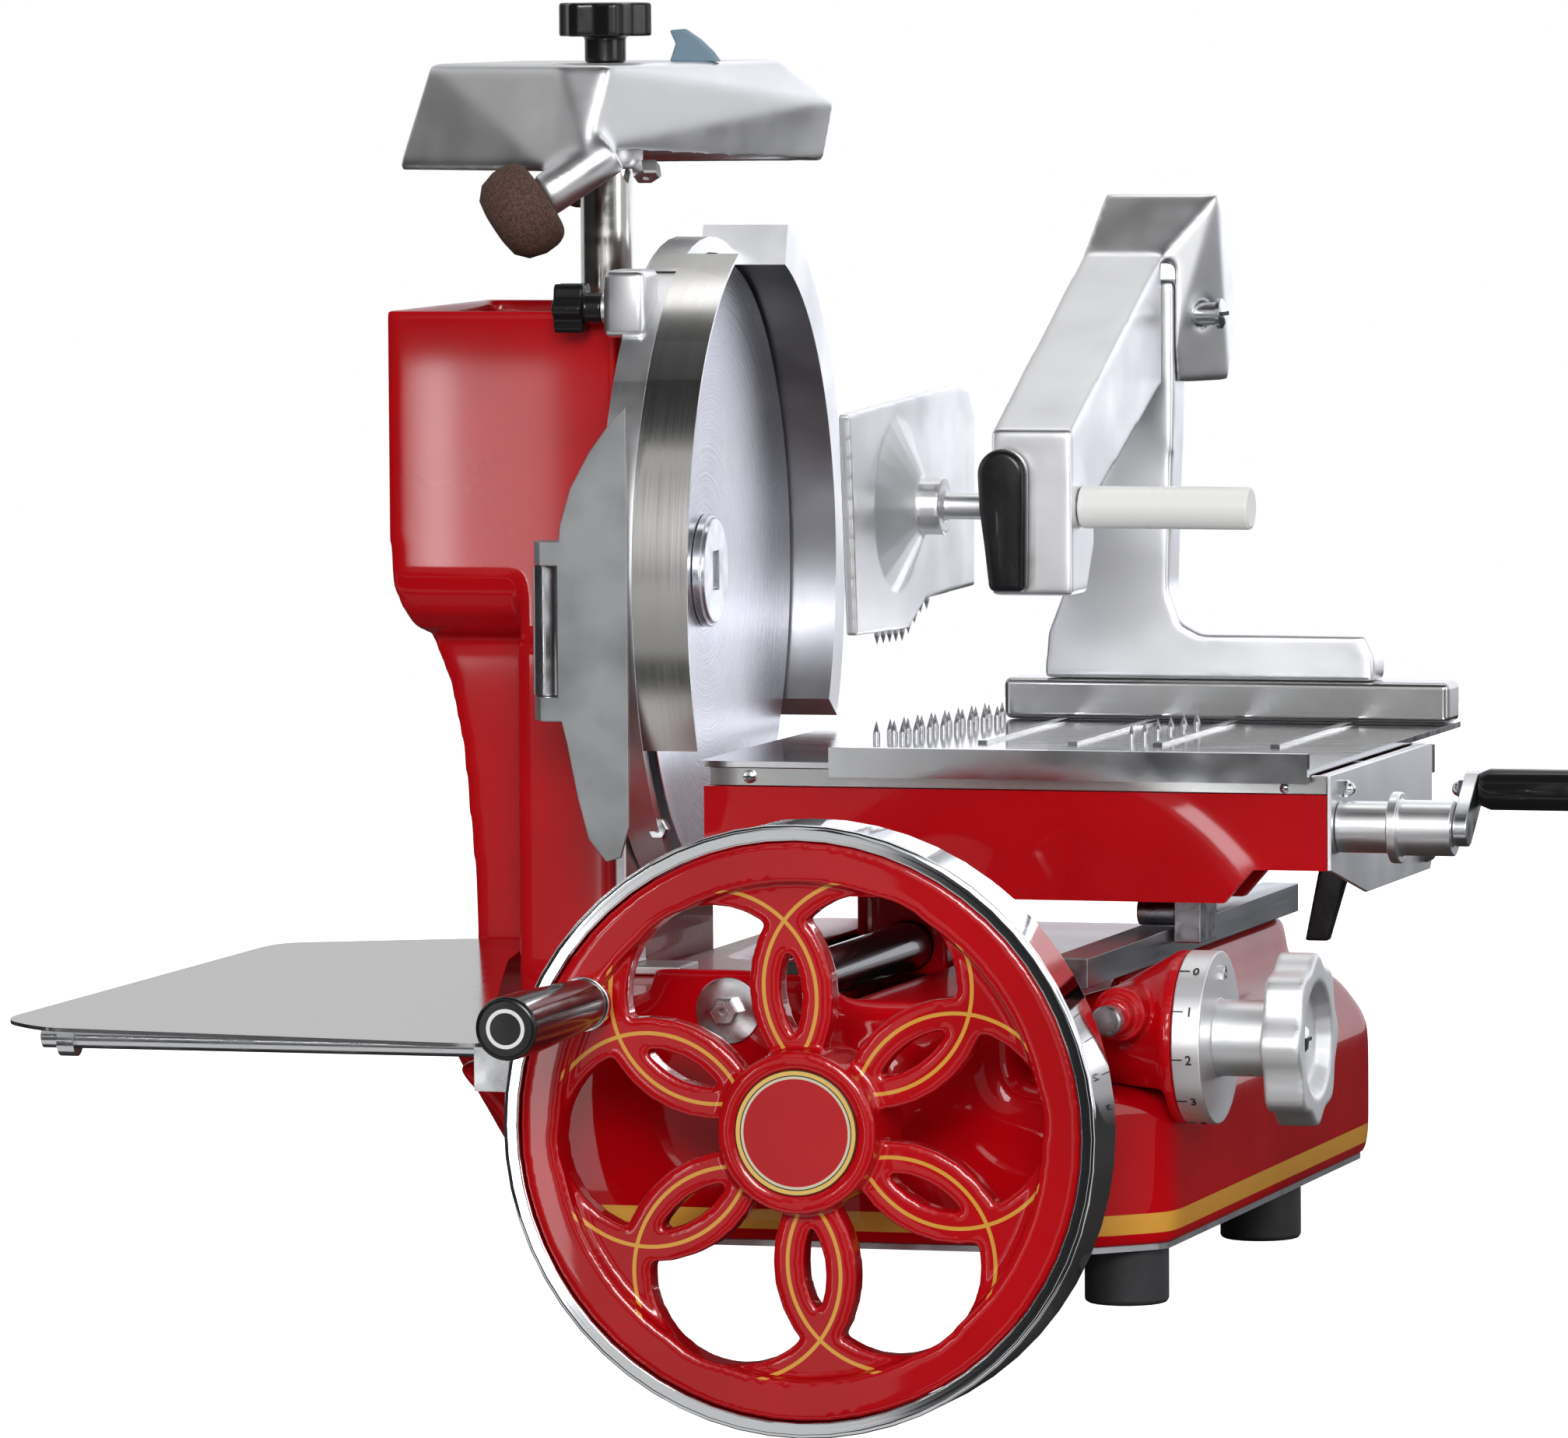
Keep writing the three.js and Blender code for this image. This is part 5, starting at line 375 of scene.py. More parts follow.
# Bolt of the base.
# A stainless hexagon bolt with a wide turned washer holds the guide rod's block to the casting.
# Its head is forged, with a chamfered crown and a shallow dimple.
BOLT_AT = Vector((-0.051, -0.191, 0.146))
WASHER_RADIUS = 16.5 * MM
WASHER_DEPTH = 2.6 * MM
WASHER_BORE = 4 * MM
WASHER_EASE = 0.5 * MM
BASE_BOLT = {"across": 13 * MM, "depth": 7 * MM, "crown": 1 * MM, "dimple": 2.6 * MM}
CROWN_SHARE = 0.97
DIMPLE_SHARE = 0.5
EASE_SHARE = 0.45
HEXAGON = 6
ROUND_STEPS = 96
HEAD_TURN = 25
BRIGHT = (0.74, 0.75, 0.77, 1)
BRIGHT_GLOSS = 0.2
BRIGHT_DRIFT = (70, 0.14, 0.3)
BRIGHT_MARKS = (500, 0.003 * MM)
BRIGHT_LAY = (1, 1, 6)


def ring_of(work, radius, height, steps):
    """New corners evenly round Z at one height, or a single one where the radius is nought."""
    if not radius:
        return [work.verts.new((0, 0, height))]
    bearings = [TURN * k / steps for k in range(steps)]
    return [
        work.verts.new((radius * math.cos(bearing), radius * math.sin(bearing), height))
        for bearing in bearings
    ]


def mesh_of(work, name):
    """The mesh of a finished shell, with every face looking out."""
    bmesh.ops.recalc_face_normals(work, faces=work.faces)
    mesh = bpy.data.meshes.new(name)
    work.to_mesh(mesh)
    work.free()
    return mesh


def lathe(name, profile, steps=ROUND_STEPS):
    """Turns (radius, height) points round Z into one closed shell."""
    work = bmesh.new()
    rows = [ring_of(work, radius, height, steps) for radius, height in profile]
    closed = len(rows[0]) > 1 and len(rows[-1]) > 1
    pairs = list(zip(rows, rows[1:])) + ([(rows[-1], rows[0])] if closed else [])
    for lower, upper in pairs:
        for k in range(steps):
            after = (k + 1) % steps
            corners = []
            for row, index in ((lower, k), (lower, after), (upper, after), (upper, k)):
                corner = row[index % len(row)]
                if corner not in corners:
                    corners.append(corner)
            if len(corners) > 2:
                work.faces.new(corners)
    return mesh_of(work, name)


def towards(direction, at):
    """The placing that turns Z to a direction and moves the origin to a point."""
    turn = Vector(direction).to_track_quat("Z", "Y").to_matrix().to_4x4()
    return Matrix.Translation(Vector(at)) @ turn


def make(name, mesh, place, like, material, turn=32, replaced=()):
    """A finished piece from a mesh and its place."""
    mesh.transform(place)
    smooth(mesh, turn)
    piece = bpy.data.objects.new(name, mesh)
    scene.collection.objects.link(piece)
    return settle(piece, like, material, replaced)


def rounded(points, radius, steps=3):
    """An outline of (radius, height) points with each inner corner eased by an arc."""
    eased = [points[0]]
    for before, corner, after in zip(points, points[1:], points[2:]):
        before, corner, after = Vector(before), Vector(corner), Vector(after)
        into, out = before - corner, after - corner
        reach = min(radius, into.length * EASE_SHARE, out.length * EASE_SHARE)
        start = corner + into.normalized() * reach
        end = corner + out.normalized() * reach
        for k in range(steps + 1):
            t = k / steps
            curve = start.lerp(corner, t).lerp(corner.lerp(end, t), t)
            eased.append((curve.x, curve.y))
    eased.append(points[-1])
    return eased


def hexagon_head(name, place, like, material, across, depth, crown, dimple):
    """A bolt's hexagon head, its corners cut back by the chamfer of its crown."""
    work = bmesh.new()
    outer = across / math.sqrt(3)
    inner = across / 2
    levels = (
        (outer, 0),
        (outer, depth - crown),
        (inner * CROWN_SHARE, depth),
        (dimple, depth),
        (dimple * DIMPLE_SHARE, depth - crown),
    )
    rows = [ring_of(work, radius, height, HEXAGON) for radius, height in levels]
    for lower, upper in zip(rows, rows[1:]):
        for k in range(HEXAGON):
            after = (k + 1) % HEXAGON
            work.faces.new((lower[k], lower[after], upper[after], upper[k]))
    work.faces.new(rows[-1])
    work.faces.new(reversed(rows[0]))
    return make(name, mesh_of(work, name), place, like, material, turn=HEAD_TURN)


bright = worked_finish(
    "bright_steel",
    BRIGHT,
    BRIGHT_GLOSS,
    BRIGHT_DRIFT,
    BRIGHT_MARKS,
    lay=BRIGHT_LAY,
    metal=1.0,
)
front = (0, -1, 0)
washer = rounded(
    (
        (WASHER_BORE, 0),
        (WASHER_RADIUS, 0),
        (WASHER_RADIUS, WASHER_DEPTH),
        (WASHER_BORE, WASHER_DEPTH),
    ),
    WASHER_EASE,
)
make("base_bolt_washer", lathe("washer", washer), towards(front, BOLT_AT), "base_cover", bright)
head_at = BOLT_AT + Vector(front) * WASHER_DEPTH
hexagon_head("base_bolt_head", towards(front, head_at), "base_cover", bright, **BASE_BOLT)


# Guide rod and rail.
# The carriage glides on a round bar of black oxidised steel, and its rollers on a square rail.
# Both are ground, kept oiled, and carry long fine scratches along the way of the slide.
ROD_COLOUR = (0.022, 0.023, 0.026, 1)
RAIL_COLOUR = (0.30, 0.31, 0.33, 1)
ROD_EDGE = 0.9 * MM
RAIL_EDGE = 0.6 * MM
ROD_GLOSS = 0.2
ROD_DRIFT = (50, 0.14, 0.3)
ROD_SCRATCH = (900, 0.01 * MM)
RAIL_GLOSS = 0.32
RAIL_DRIFT = (60, 0.24, 0.42)
RAIL_SCRATCH = (900, 0.02 * MM)
ROD_METAL = 0.6
ROD_OIL = 0.5
ALONG_SLIDE = {"worn": (1, 0.1, 1), "lay": (1, 0.03, 1)}
oiled_rod = worked_finish(
    "oiled_rod",
    ROD_COLOUR,
    ROD_GLOSS,
    ROD_DRIFT,
    ROD_SCRATCH,
    metal=ROD_METAL,
    coat=ROD_OIL,
    **ALONG_SLIDE,
)
oiled_rail = worked_finish(
    "oiled_rail",
    RAIL_COLOUR,
    RAIL_GLOSS,
    RAIL_DRIFT,
    RAIL_SCRATCH,
    metal=1.0,
    **ALONG_SLIDE,
)
skin("guide_rod", oiled_rod, ROD_EDGE)
skin("carriage_rail", oiled_rail, RAIL_EDGE)


# Column.
# The tall red casting at the left holds the blade's head and the sharpener, and is open on top.
# Its walls are thick, its corners soft, and its inside is enamelled too.
COLUMN_CELL = 2.0 * MM
COLUMN_RELAX = 14
cast_skin("column_casting", red, COLUMN_CELL, COLUMN_RELAX)


# Drive.
# A steel shaft with bevel gears brings the wheel's turning to a lay shaft inside the base.
# A roller chain carries it up the column to the blade. All of it is bare, machined and oiled.
GEAR_STEEL = (0.40, 0.41, 0.43, 1)
CHAIN_STEEL = (0.22, 0.23, 0.25, 1)
GEAR_EDGE = 0.4 * MM
GEAR_GLOSS = 0.3
GEAR_DRIFT = (120, 0.22, 0.4)
GEAR_MARKS = (700, 0.02 * MM)
CHAIN_GLOSS = 0.36
CHAIN_DRIFT = (160, 0.28, 0.5)
CHAIN_MARKS = (900, 0.03 * MM)
machined = worked_finish(
    "machined_steel", GEAR_STEEL, GEAR_GLOSS, GEAR_DRIFT, GEAR_MARKS, metal=1.0
)
chain_steel = worked_finish(
    "chain_steel", CHAIN_STEEL, CHAIN_GLOSS, CHAIN_DRIFT, CHAIN_MARKS, metal=1.0
)
for shaft_piece in ("flywheel_shaft", "lay_shaft", "blade_spindle", "connecting_rod"):
    skin(shaft_piece, machined, GEAR_EDGE)
for gear in ("drive_bevel_gear", "driven_bevel_gear", "drive_sprocket", "blade_sprocket"):
    skin(gear, machined, 0)
skin("drive_chain", chain_steel, 0)


# Blade.
# A dished knife of chromed tool steel, ground to a bevel at its rim, on a cast bearing.
# The dish is polished in circles, so light runs over it in soft rings.
HEAD_AT = Vector((-0.121, 0.034, 0.350))
HEAD_TOE = math.radians(3)
BLADE_TONE = (0.93, 0.94, 0.99, 1)
BLADE_DEEP = (0.74, 0.75, 0.83, 1)
BLADE_CLOUDS = 8
BLADE_GLOSS = 0.3
BLADE_TURN = 24
BLADE_RINGS = {"pitch": 0.9 * MM, "depth": 0.004 * MM, "low": 0.24, "high": 0.34}
CAST_PALE = (0.86, 0.865, 0.875, 1)
CAST_DIM = (0.79, 0.795, 0.81, 1)
CAST_GLOSS = 0.35
CAST_CLOUDS = 14
CAST_PATCHES = 30
CAST_SPAN = (0.3, 0.42)
CAST_GRAIN = (1400, 0.012 * MM)
CAST_EDGE = 1.2 * MM
NUT_EDGE = 0.8 * MM
head_axis = Vector((math.cos(HEAD_TOE), math.sin(HEAD_TOE), 0))


def length_of(material, across, height):
    """The distance that two sides at a right angle span."""
    squares = [reckon(material, "MULTIPLY", side, side) for side in (across, height)]
    return reckon(material, "SQRT", reckon(material, "ADD", *squares))


def ring_polish(material, centre, axis, pitch, depth, low, high):
    """Fine rings round an axis, as a buffing wheel or a lathe tool leaves them."""
    where = node(material, "ShaderNodeTexCoord")
    mapping = node(material, "ShaderNodeMapping", vector_type="TEXTURE", Location=centre)
    turned = Vector(axis).to_track_quat("Z", "Y").to_euler()
    mapping.inputs["Rotation"].default_value = turned
    parts = node(material, "ShaderNodeSeparateXYZ")
    noise = node(
        material,
        "ShaderNodeTexNoise",
        noise_dimensions="1D",
        Scale=1 / pitch,
        Detail=MARK_DETAIL,
    )
    bump = node(material, "ShaderNodeBump", Distance=depth, Strength=1.0)
    wire(material, where.outputs["Object"], mapping.inputs["Vector"])
    wire(material, mapping.outputs["Vector"], parts.inputs["Vector"])
    away = length_of(material, parts.outputs["X"], parts.outputs["Y"])
    wire(material, away, noise.inputs["W"])
    wire(material, noise.outputs["Fac"], bump.inputs["Height"])
    wire(material, bump.outputs["Normal"], shader_of(material).inputs["Normal"])
    gloss_between(material, noise, low, high)


def cast_aluminium(name, pale=CAST_PALE, dim=CAST_DIM, span=CAST_SPAN):
    """Cast aluminium, blasted and lightly brushed, with a clear lacquer."""
    made = finish(name, pale, CAST_GLOSS, metal=1.0)
    shade(made, CAST_CLOUDS, dim, pale)
    wander(made, CAST_PATCHES, *span)
    grain(made, *CAST_GRAIN)
    return made


blade_chrome = finish("blade_chrome", BLADE_TONE, BLADE_GLOSS, metal=1.0)
shade(blade_chrome, BLADE_CLOUDS, BLADE_DEEP, BLADE_TONE)
ring_polish(blade_chrome, HEAD_AT, head_axis, **BLADE_RINGS)
skin("blade", blade_chrome, 0, turn=BLADE_TURN)
cast = cast_aluminium("cast_aluminium")
skin("blade_bearing", cast, CAST_EDGE)
skin("blade_nut", bright, NUT_EDGE, steps=3)


# Guard and cover of the blade.
# A cast aluminium ring stands round the knife and ends in a bracket on the base.
# A bent band of brushed steel covers the edge at the left, and a black star knob clamps it.
# The ring's inner wall is painted darker than its polished outside, as painted shade inside the
# ring.
GUARD_EDGE = 1.1 * MM
GUARD_TURN = 28
# Tones of the painted shade on the ring's inner wall.
GUARD_SHADOW = (0.40, 0.40, 0.41, 1)
GUARD_SHADE_DEEP = (0.26, 0.26, 0.27, 1)
INWARD = -0.6
BAND_BRIGHT = (0.70, 0.69, 0.67, 1)
BAND_GLOSS = 0.24
BAND_DRIFT = (1200, 0.19, 0.24)
BAND_BRUSHING = (2400, 0.0014 * MM)
ROUND_THE_BAND = (1, 0.01, 0.01)
BAND_EDGE = 0.35 * MM
PLASTIC_BLACK = (0.008, 0.008, 0.009, 1)
PLASTIC_SHEEN = 0.3
KNOB_GLOSS = 0.24
KNOB_COAT = 0.1
KNOB_DRIFT = (60, 0.2, 0.32)
KNOB_GRAIN = (1200, 0.01 * MM)
COVER_KNOB_CELL = 0.45 * MM
COVER_KNOB_RELAX = 12
BRACKET_BOLT_AT = (-0.1200, -0.0780, 0.2260)
BRACKET_BOLT = {"across": 10 * MM, "depth": 5.5 * MM, "crown": 0.8 * MM, "dimple": 2 * MM}
LUG_LOW = (-0.1460, -0.0860, 0.4740)
LUG_HIGH = (-0.1240, -0.0580, 0.5080)
LUG_EASE = 4 * MM
EASE_STEPS = 4
LUG_TURN = 40
guard = skin("guard_ring", cast, GUARD_EDGE, turn=GUARD_TURN)
plain(guard)
# Faces turned in towards the blade take this darker copy: painted shade on the inner wall.
shadow_cast = cast_aluminium("shadow_cast", pale=GUARD_SHADOW, dim=GUARD_SHADE_DEEP)
guard.data.materials.append(shadow_cast)
for face in guard.data.polygons:
    spoke = face.center - HEAD_AT
    spoke -= spoke.dot(head_axis) * head_axis
    if face.normal.dot(spoke.normalized()) < INWARD:
        face.material_index = 1
skin("guard_bracket", cast, GUARD_EDGE)
band_steel = worked_finish(
    "band_steel",
    BAND_BRIGHT,
    BAND_GLOSS,
    BAND_DRIFT,
    BAND_BRUSHING,
    worn=ROUND_THE_BAND,
    lay=ROUND_THE_BAND,
    metal=1.0,
)
skin("blade_cover_band", band_steel, BAND_EDGE)
black_plastic = worked_finish(
    "black_plastic", PLASTIC_BLACK, KNOB_GLOSS, KNOB_DRIFT, KNOB_GRAIN, coat=KNOB_COAT
)
shader_of(black_plastic).inputs["Specular IOR Level"].default_value = PLASTIC_SHEEN
cast_skin("cover_knob", black_plastic, COVER_KNOB_CELL, COVER_KNOB_RELAX)
bracket_place = towards(front, BRACKET_BOLT_AT)
hexagon_head("bracket_bolt", bracket_place, "guard_bracket", bright, **BRACKET_BOLT)


def block_of(name, low, high):
    """A plain block between two corners."""
    work = bmesh.new()
    low, high = Vector(low), Vector(high)
    bmesh.ops.create_cube(work, size=1)
    for corner in work.verts:
        reach = Vector(corner.co[k] * (high[k] - low[k]) for k in range(3))
        corner.co = (low + high) / 2 + reach
    return mesh_of(work, name)


lug = make("cover_lug", block_of("lug", LUG_LOW, LUG_HIGH), Matrix(), "blade_cover_band", cast)
eased = lug.modifiers.new("edge", "BEVEL")
eased.width = LUG_EASE
eased.segments = EASE_STEPS
smooth(plain(lug), LUG_TURN)


# Deflector.
# A thin curved wing of matte grey aluminium behind the knife turns each slice down.
# It hangs on a hinge pin and is left as it comes from the blasting.
WING_GREY = (0.37, 0.38, 0.385, 1)
WING_DIM = (0.25, 0.257, 0.26, 1)
WING_GLOSS = 0.5
WING_METAL = 0.75
WING_CLOUDS = 20
WING_DRIFT = (40, 0.44, 0.56)
WING_BLASTING = (1600, 0.03 * MM)
WING_EDGE = 0.8 * MM
HINGE_AT = Vector((-0.163, -0.128, 0.2966))
SLEEVE_BORE = 6.6 * MM
SLEEVE_RADIUS = 7.1 * MM
SLEEVE_LENGTH = 64.8 * MM
wing_grey = finish("wing_grey", WING_GREY, WING_GLOSS, metal=WING_METAL)
shade(wing_grey, WING_CLOUDS, WING_DIM, WING_GREY)
wander(wing_grey, *WING_DRIFT)
grain(wing_grey, *WING_BLASTING)
skin("deflector", wing_grey, WING_EDGE)
sleeve = (
    (SLEEVE_BORE, 0),
    (SLEEVE_RADIUS, 0),
    (SLEEVE_RADIUS, SLEEVE_LENGTH),
    (SLEEVE_BORE, SLEEVE_LENGTH),
)
make("hinge_sleeve", lathe("sleeve", sleeve), towards((0, 0, 1), HINGE_AT), "base_cover", bright)


# Sharpener.
# A cast hood on a steel post carries a grinding stone and a finer honing stone.
# A black knob on top clamps it, and a blue-grey fin beside the knob works the stones.
POST_CHROME = (0.62, 0.61, 0.58, 1)
POST_GLOSS = 0.18
POST_DRIFT = (40, 0.12, 0.26)
POST_PITS = (500, 0.02 * MM)
POST_WORN = (1, 1, 3)
POST_LAY = (1, 1, 8)
POST_EDGE = 0.8 * MM
STONE_BROWN = (0.12, 0.058, 0.038, 1)
STONE_DARK = (0.036, 0.017, 0.012, 1)
STONE_GLOSS = 0.85
STONE_GRAIN = 800
STONE_PITS = 0.35 * MM
STONE_DETAIL = 6.0
PIT_DETAIL = 8.0
STONE_EDGE = 3.2 * MM
HONING_EDGE = 1.2 * MM
FIN_BLUE = (0.15, 0.24, 0.31, 1)
FIN_GLOSS = 0.45
FIN_DRIFT = (80, 0.38, 0.52)
FIN_GRAIN = (900, 0.02 * MM)
FIN_CELL = 0.5 * MM
FIN_RELAX = 14
HOOD_CELL = 1.2 * MM
HOOD_RELAX = 3
HOOD_SWELL = 0.5 * MM
HOOD_CROWN = (0.556, 26)
KNOB_CELL = 0.6 * MM
KNOB_RELAX = 22
HOOD_NUT_AT = (-0.1667, 0.0600, 0.5570)
HOOD_NUT_WAY = (0.3, -0.5, -1)
post_chrome = worked_finish(
    "post_chrome",
    POST_CHROME,
    POST_GLOSS,
    POST_DRIFT,
    POST_PITS,
    worn=POST_WORN,
    lay=POST_LAY,
    metal=1.0,
)
skin("sharpener_post", post_chrome, POST_EDGE)
cast_skin("sharpener_hood", cast, HOOD_CELL, HOOD_RELAX, swell=HOOD_SWELL, crown=HOOD_CROWN)
hood_nut_place = towards(HOOD_NUT_WAY, HOOD_NUT_AT)
hexagon_head("hood_nut", hood_nut_place, "sharpener_hood", cast, **BASE_BOLT)
stone = finish("stone", STONE_BROWN, STONE_GLOSS)
shade(stone, STONE_GRAIN, STONE_DARK, STONE_BROWN, detail=STONE_DETAIL)
grain(stone, STONE_GRAIN, STONE_PITS, detail=PIT_DETAIL)
skin("grinding_stone", stone, STONE_EDGE, steps=4)
skin("honing_stone", stone, HONING_EDGE, steps=3)
cast_skin("sharpener_knob", black_plastic, KNOB_CELL, KNOB_RELAX)
fin_plastic = worked_finish("fin_plastic", FIN_BLUE, FIN_GLOSS, FIN_DRIFT, FIN_GRAIN)
cast_skin("sharpener_lever", fin_plastic, FIN_CELL, FIN_RELAX)


# Flywheel.
# The red cast wheel has a broad face and six round petals for spokes, lined in gold.
# A polished steel tyre is shrunk on it, and its hub carries a badge in a gold ring.
WHEEL_AT = Vector((0.0105, -0.26, 0.0965))
PETAL_CENTRE = 78.3 * MM
PETAL_RADIUS = 52.4 * MM
PETAL_TURN = math.radians(4.7)
PETALS = 6
PINSTRIPE = 0.95 * MM
PINSTRIPE_REACH = 123 * MM
HUB_CLEAR = 41 * MM
FACING_OUT = -0.55
WHEEL_CELL = 1.3 * MM
WHEEL_RELAX = 9
WHEEL_COAT = 0.85
LACQUER = 0.02
TYRE_CHROME = (0.80, 0.81, 0.83, 1)
TYRE_GLOSS = 0.1
TYRE_RINGS = {"pitch": 1.1 * MM, "depth": 0.0004 * MM, "low": 0.03, "high": 0.06}
TYRE_EDGE = 1.6 * MM
TYRE_TURN = 28


def across_and_height(material, centre):
    """How far the surface point lies to the right of a centre and above it."""
    point = point_of(material)
    return (
        reckon(material, "SUBTRACT", point["X"], centre.x),
        reckon(material, "SUBTRACT", point["Z"], centre.z),
    )


def paint_petals(material, centre, colour):
    """Gold circles on the petals: one on each rib, folded into one sector of the wheel."""
    across, height = across_and_height(material, centre)
    bearing = reckon(material, "ARCTAN2", height, across)
    radius = length_of(material, across, height)
    sector = TURN / PETALS
    first = math.pi / 2 + PETAL_TURN
    whole = reckon(material, "ADD", bearing, 2 * TURN - first)
    folded = reckon(material, "SUBTRACT", reckon(material, "MODULO", whole, sector), sector / 2)
    turned = reckon(material, "ABSOLUTE", folded)
    lines = []
    for share in (0, 1):
        away = reckon(material, "SUBTRACT", turned, share * sector)
        along = reckon(material, "MULTIPLY", radius, reckon(material, "COSINE", away))
        run = reckon(material, "SUBTRACT", along, PETAL_CENTRE)
        rise = reckon(material, "MULTIPLY", radius, reckon(material, "SINE", away))
        past = reckon(material, "SUBTRACT", length_of(material, run, rise), PETAL_RADIUS)
        off = reckon(material, "ABSOLUTE", past)
        lines.append(reckon(material, "LESS_THAN", off, PINSTRIPE))
    mask = reckon(material, "MAXIMUM", *lines)
    facing = node(material, "ShaderNodeNewGeometry")
    turn_back = node(
        material,
        "ShaderNodeVectorTransform",
        vector_type="NORMAL",
        convert_from="WORLD",
        convert_to="OBJECT",
    )
    normal = node(material, "ShaderNodeSeparateXYZ")
    wire(material, facing.outputs["Normal"], turn_back.inputs[0])
    wire(material, turn_back.outputs[0], normal.inputs[0])
    for gate in (
        reckon(material, "LESS_THAN", radius, PINSTRIPE_REACH),
        reckon(material, "GREATER_THAN", radius, HUB_CLEAR),
        reckon(material, "LESS_THAN", normal.outputs["Y"], FACING_OUT),
    ):
        mask = reckon(material, "MULTIPLY", mask, gate)
    lay_paint(material, mask, colour)


def lacquered(name):
    """The red enamel under a deep and very smooth lacquer."""
    made = enamel(name)
    shader_of(made).inputs["Coat Weight"].default_value = WHEEL_COAT
    shader_of(made).inputs["Coat Roughness"].default_value = LACQUER
    return made


wheel_paint = lacquered("wheel_enamel")
paint_petals(wheel_paint, WHEEL_AT, GOLD)
cast_skin("flywheel", wheel_paint, WHEEL_CELL, WHEEL_RELAX)
tyre_chrome = finish("tyre_chrome", TYRE_CHROME, TYRE_GLOSS, metal=1.0)
ring_polish(tyre_chrome, WHEEL_AT, (0, 1, 0), **TYRE_RINGS)
skin("flywheel_rim", tyre_chrome, TYRE_EDGE, steps=3, turn=TYRE_TURN)


# Hub badge.
# A plain domed disc of red glass enamel lies in the hub.
# Thin rings of cream, black and gold close it towards its edge.
BADGE_RADIUS = 31 * MM
BADGE_RINGS = (
    (0.85, (0.62, 0.56, 0.42, 1)),
    (0.892, (0.015, 0.012, 0.01, 1)),
    (0.91, (0.72, 0.47, 0.12, 1)),
    (0.975, (0.04, 0.03, 0.01, 1)),
)
BADGE_EDGE = 0.6 * MM


def paint_rings(material, centre, radius, rings):
    """Rings painted one over the other from a share of the radius outwards."""
    away = length_of(material, *across_and_height(material, centre))
    for share, colour in rings:
        lay_paint(material, reckon(material, "GREATER_THAN", away, share * radius), colour)


badge_paint = lacquered("badge_enamel")
paint_rings(badge_paint, WHEEL_AT, BADGE_RADIUS, BADGE_RINGS)
skin("flywheel_badge", badge_paint, BADGE_EDGE)


# Wheel handle.
# A black moulded grip turns on a chromed spindle with a collar at the wheel's face.
# Its end has a white ring round the spindle's cap.
HANDLE_AT = Vector((-0.097, -0.35, 0.1571))
HANDLE_RADIUS = 15.5 * MM
HANDLE_GLOSS = 0.2
HANDLE_COAT = 0.2
HANDLE_DRIFT = (60, 0.14, 0.26)
HANDLE_GRAIN = (1100, 0.01 * MM)
HANDLE_EDGE = 1.4 * MM
END_RINGS = ((0.50, (0.75, 0.75, 0.74, 1)), (0.62, PLASTIC_BLACK))
COLLAR_GLOSS = 0.12
COLLAR_DRIFT = (90, 0.08, 0.2)
COLLAR_EDGE = 0.6 * MM
collar_chrome = finish("collar_chrome", TYRE_CHROME, COLLAR_GLOSS, metal=1.0)
wander(collar_chrome, *COLLAR_DRIFT)
skin("grip_spindle", collar_chrome, COLLAR_EDGE)
handle_plastic = worked_finish(
    "handle_plastic",
    PLASTIC_BLACK,
    HANDLE_GLOSS,
    HANDLE_DRIFT,
    HANDLE_GRAIN,
    coat=HANDLE_COAT,
)
shader_of(handle_plastic).inputs["Specular IOR Level"].default_value = PLASTIC_SHEEN
paint_rings(handle_plastic, HANDLE_AT, HANDLE_RADIUS, END_RINGS)
skin("flywheel_grip", handle_plastic, HANDLE_EDGE, steps=3)


# Receiving tray.
# A sheet of mirror-polished stainless steel with folded rims hangs from a turned steel rod.
# Use has left it with hairlines along its length.
MIRROR_STEEL = (0.76, 0.765, 0.775, 1)
MIRROR_GLOSS = 0.12
MIRROR_DRIFT = (30, 0.08, 0.16)
TRAY_HAIRLINES = (500, 0.003 * MM)
ALONG_PLATE = {"worn": (1, 8, 1), "lay": (1, 25, 1)}
TRAY_EDGE = 0.35 * MM
TRAY_ROD_EDGE = 0.8 * MM
mirror_steel = worked_finish(
    "mirror_steel",
    MIRROR_STEEL,
    MIRROR_GLOSS,
    MIRROR_DRIFT,
    TRAY_HAIRLINES,
    metal=1.0,
    **ALONG_PLATE,
)
skin("receiving_tray", mirror_steel, TRAY_EDGE)
skin("tray_rod", bright, TRAY_ROD_EDGE)


# Carriage.
# A red cast frame slides on the rod, with a brushed steel trim along its top edge.
# A satin plate closes it at the right, and the black lever there frees it.
BRUSHED = (0.54, 0.54, 0.535, 1)
BRUSHED_GLOSS = 0.28
BRUSHED_DRIFT = (300, 0.22, 0.26)
BRUSHED_MARKS = (2400, 0.0004 * MM)
BRUSHED_ACROSS = {"worn": (0.02, 1, 4), "lay": (0.01, 1, 1)}
SATIN_SPAN = (0.3, 0.36)
TRIM_EDGE = 0.5 * MM
FRAME_EDGE = 2.4 * MM
BEARING_CELL = 1.5 * MM
BEARING_RELAX = 4
BARREL_EDGE = 0.8 * MM
RELEASE_CELL = 0.7 * MM
RELEASE_RELAX = 10
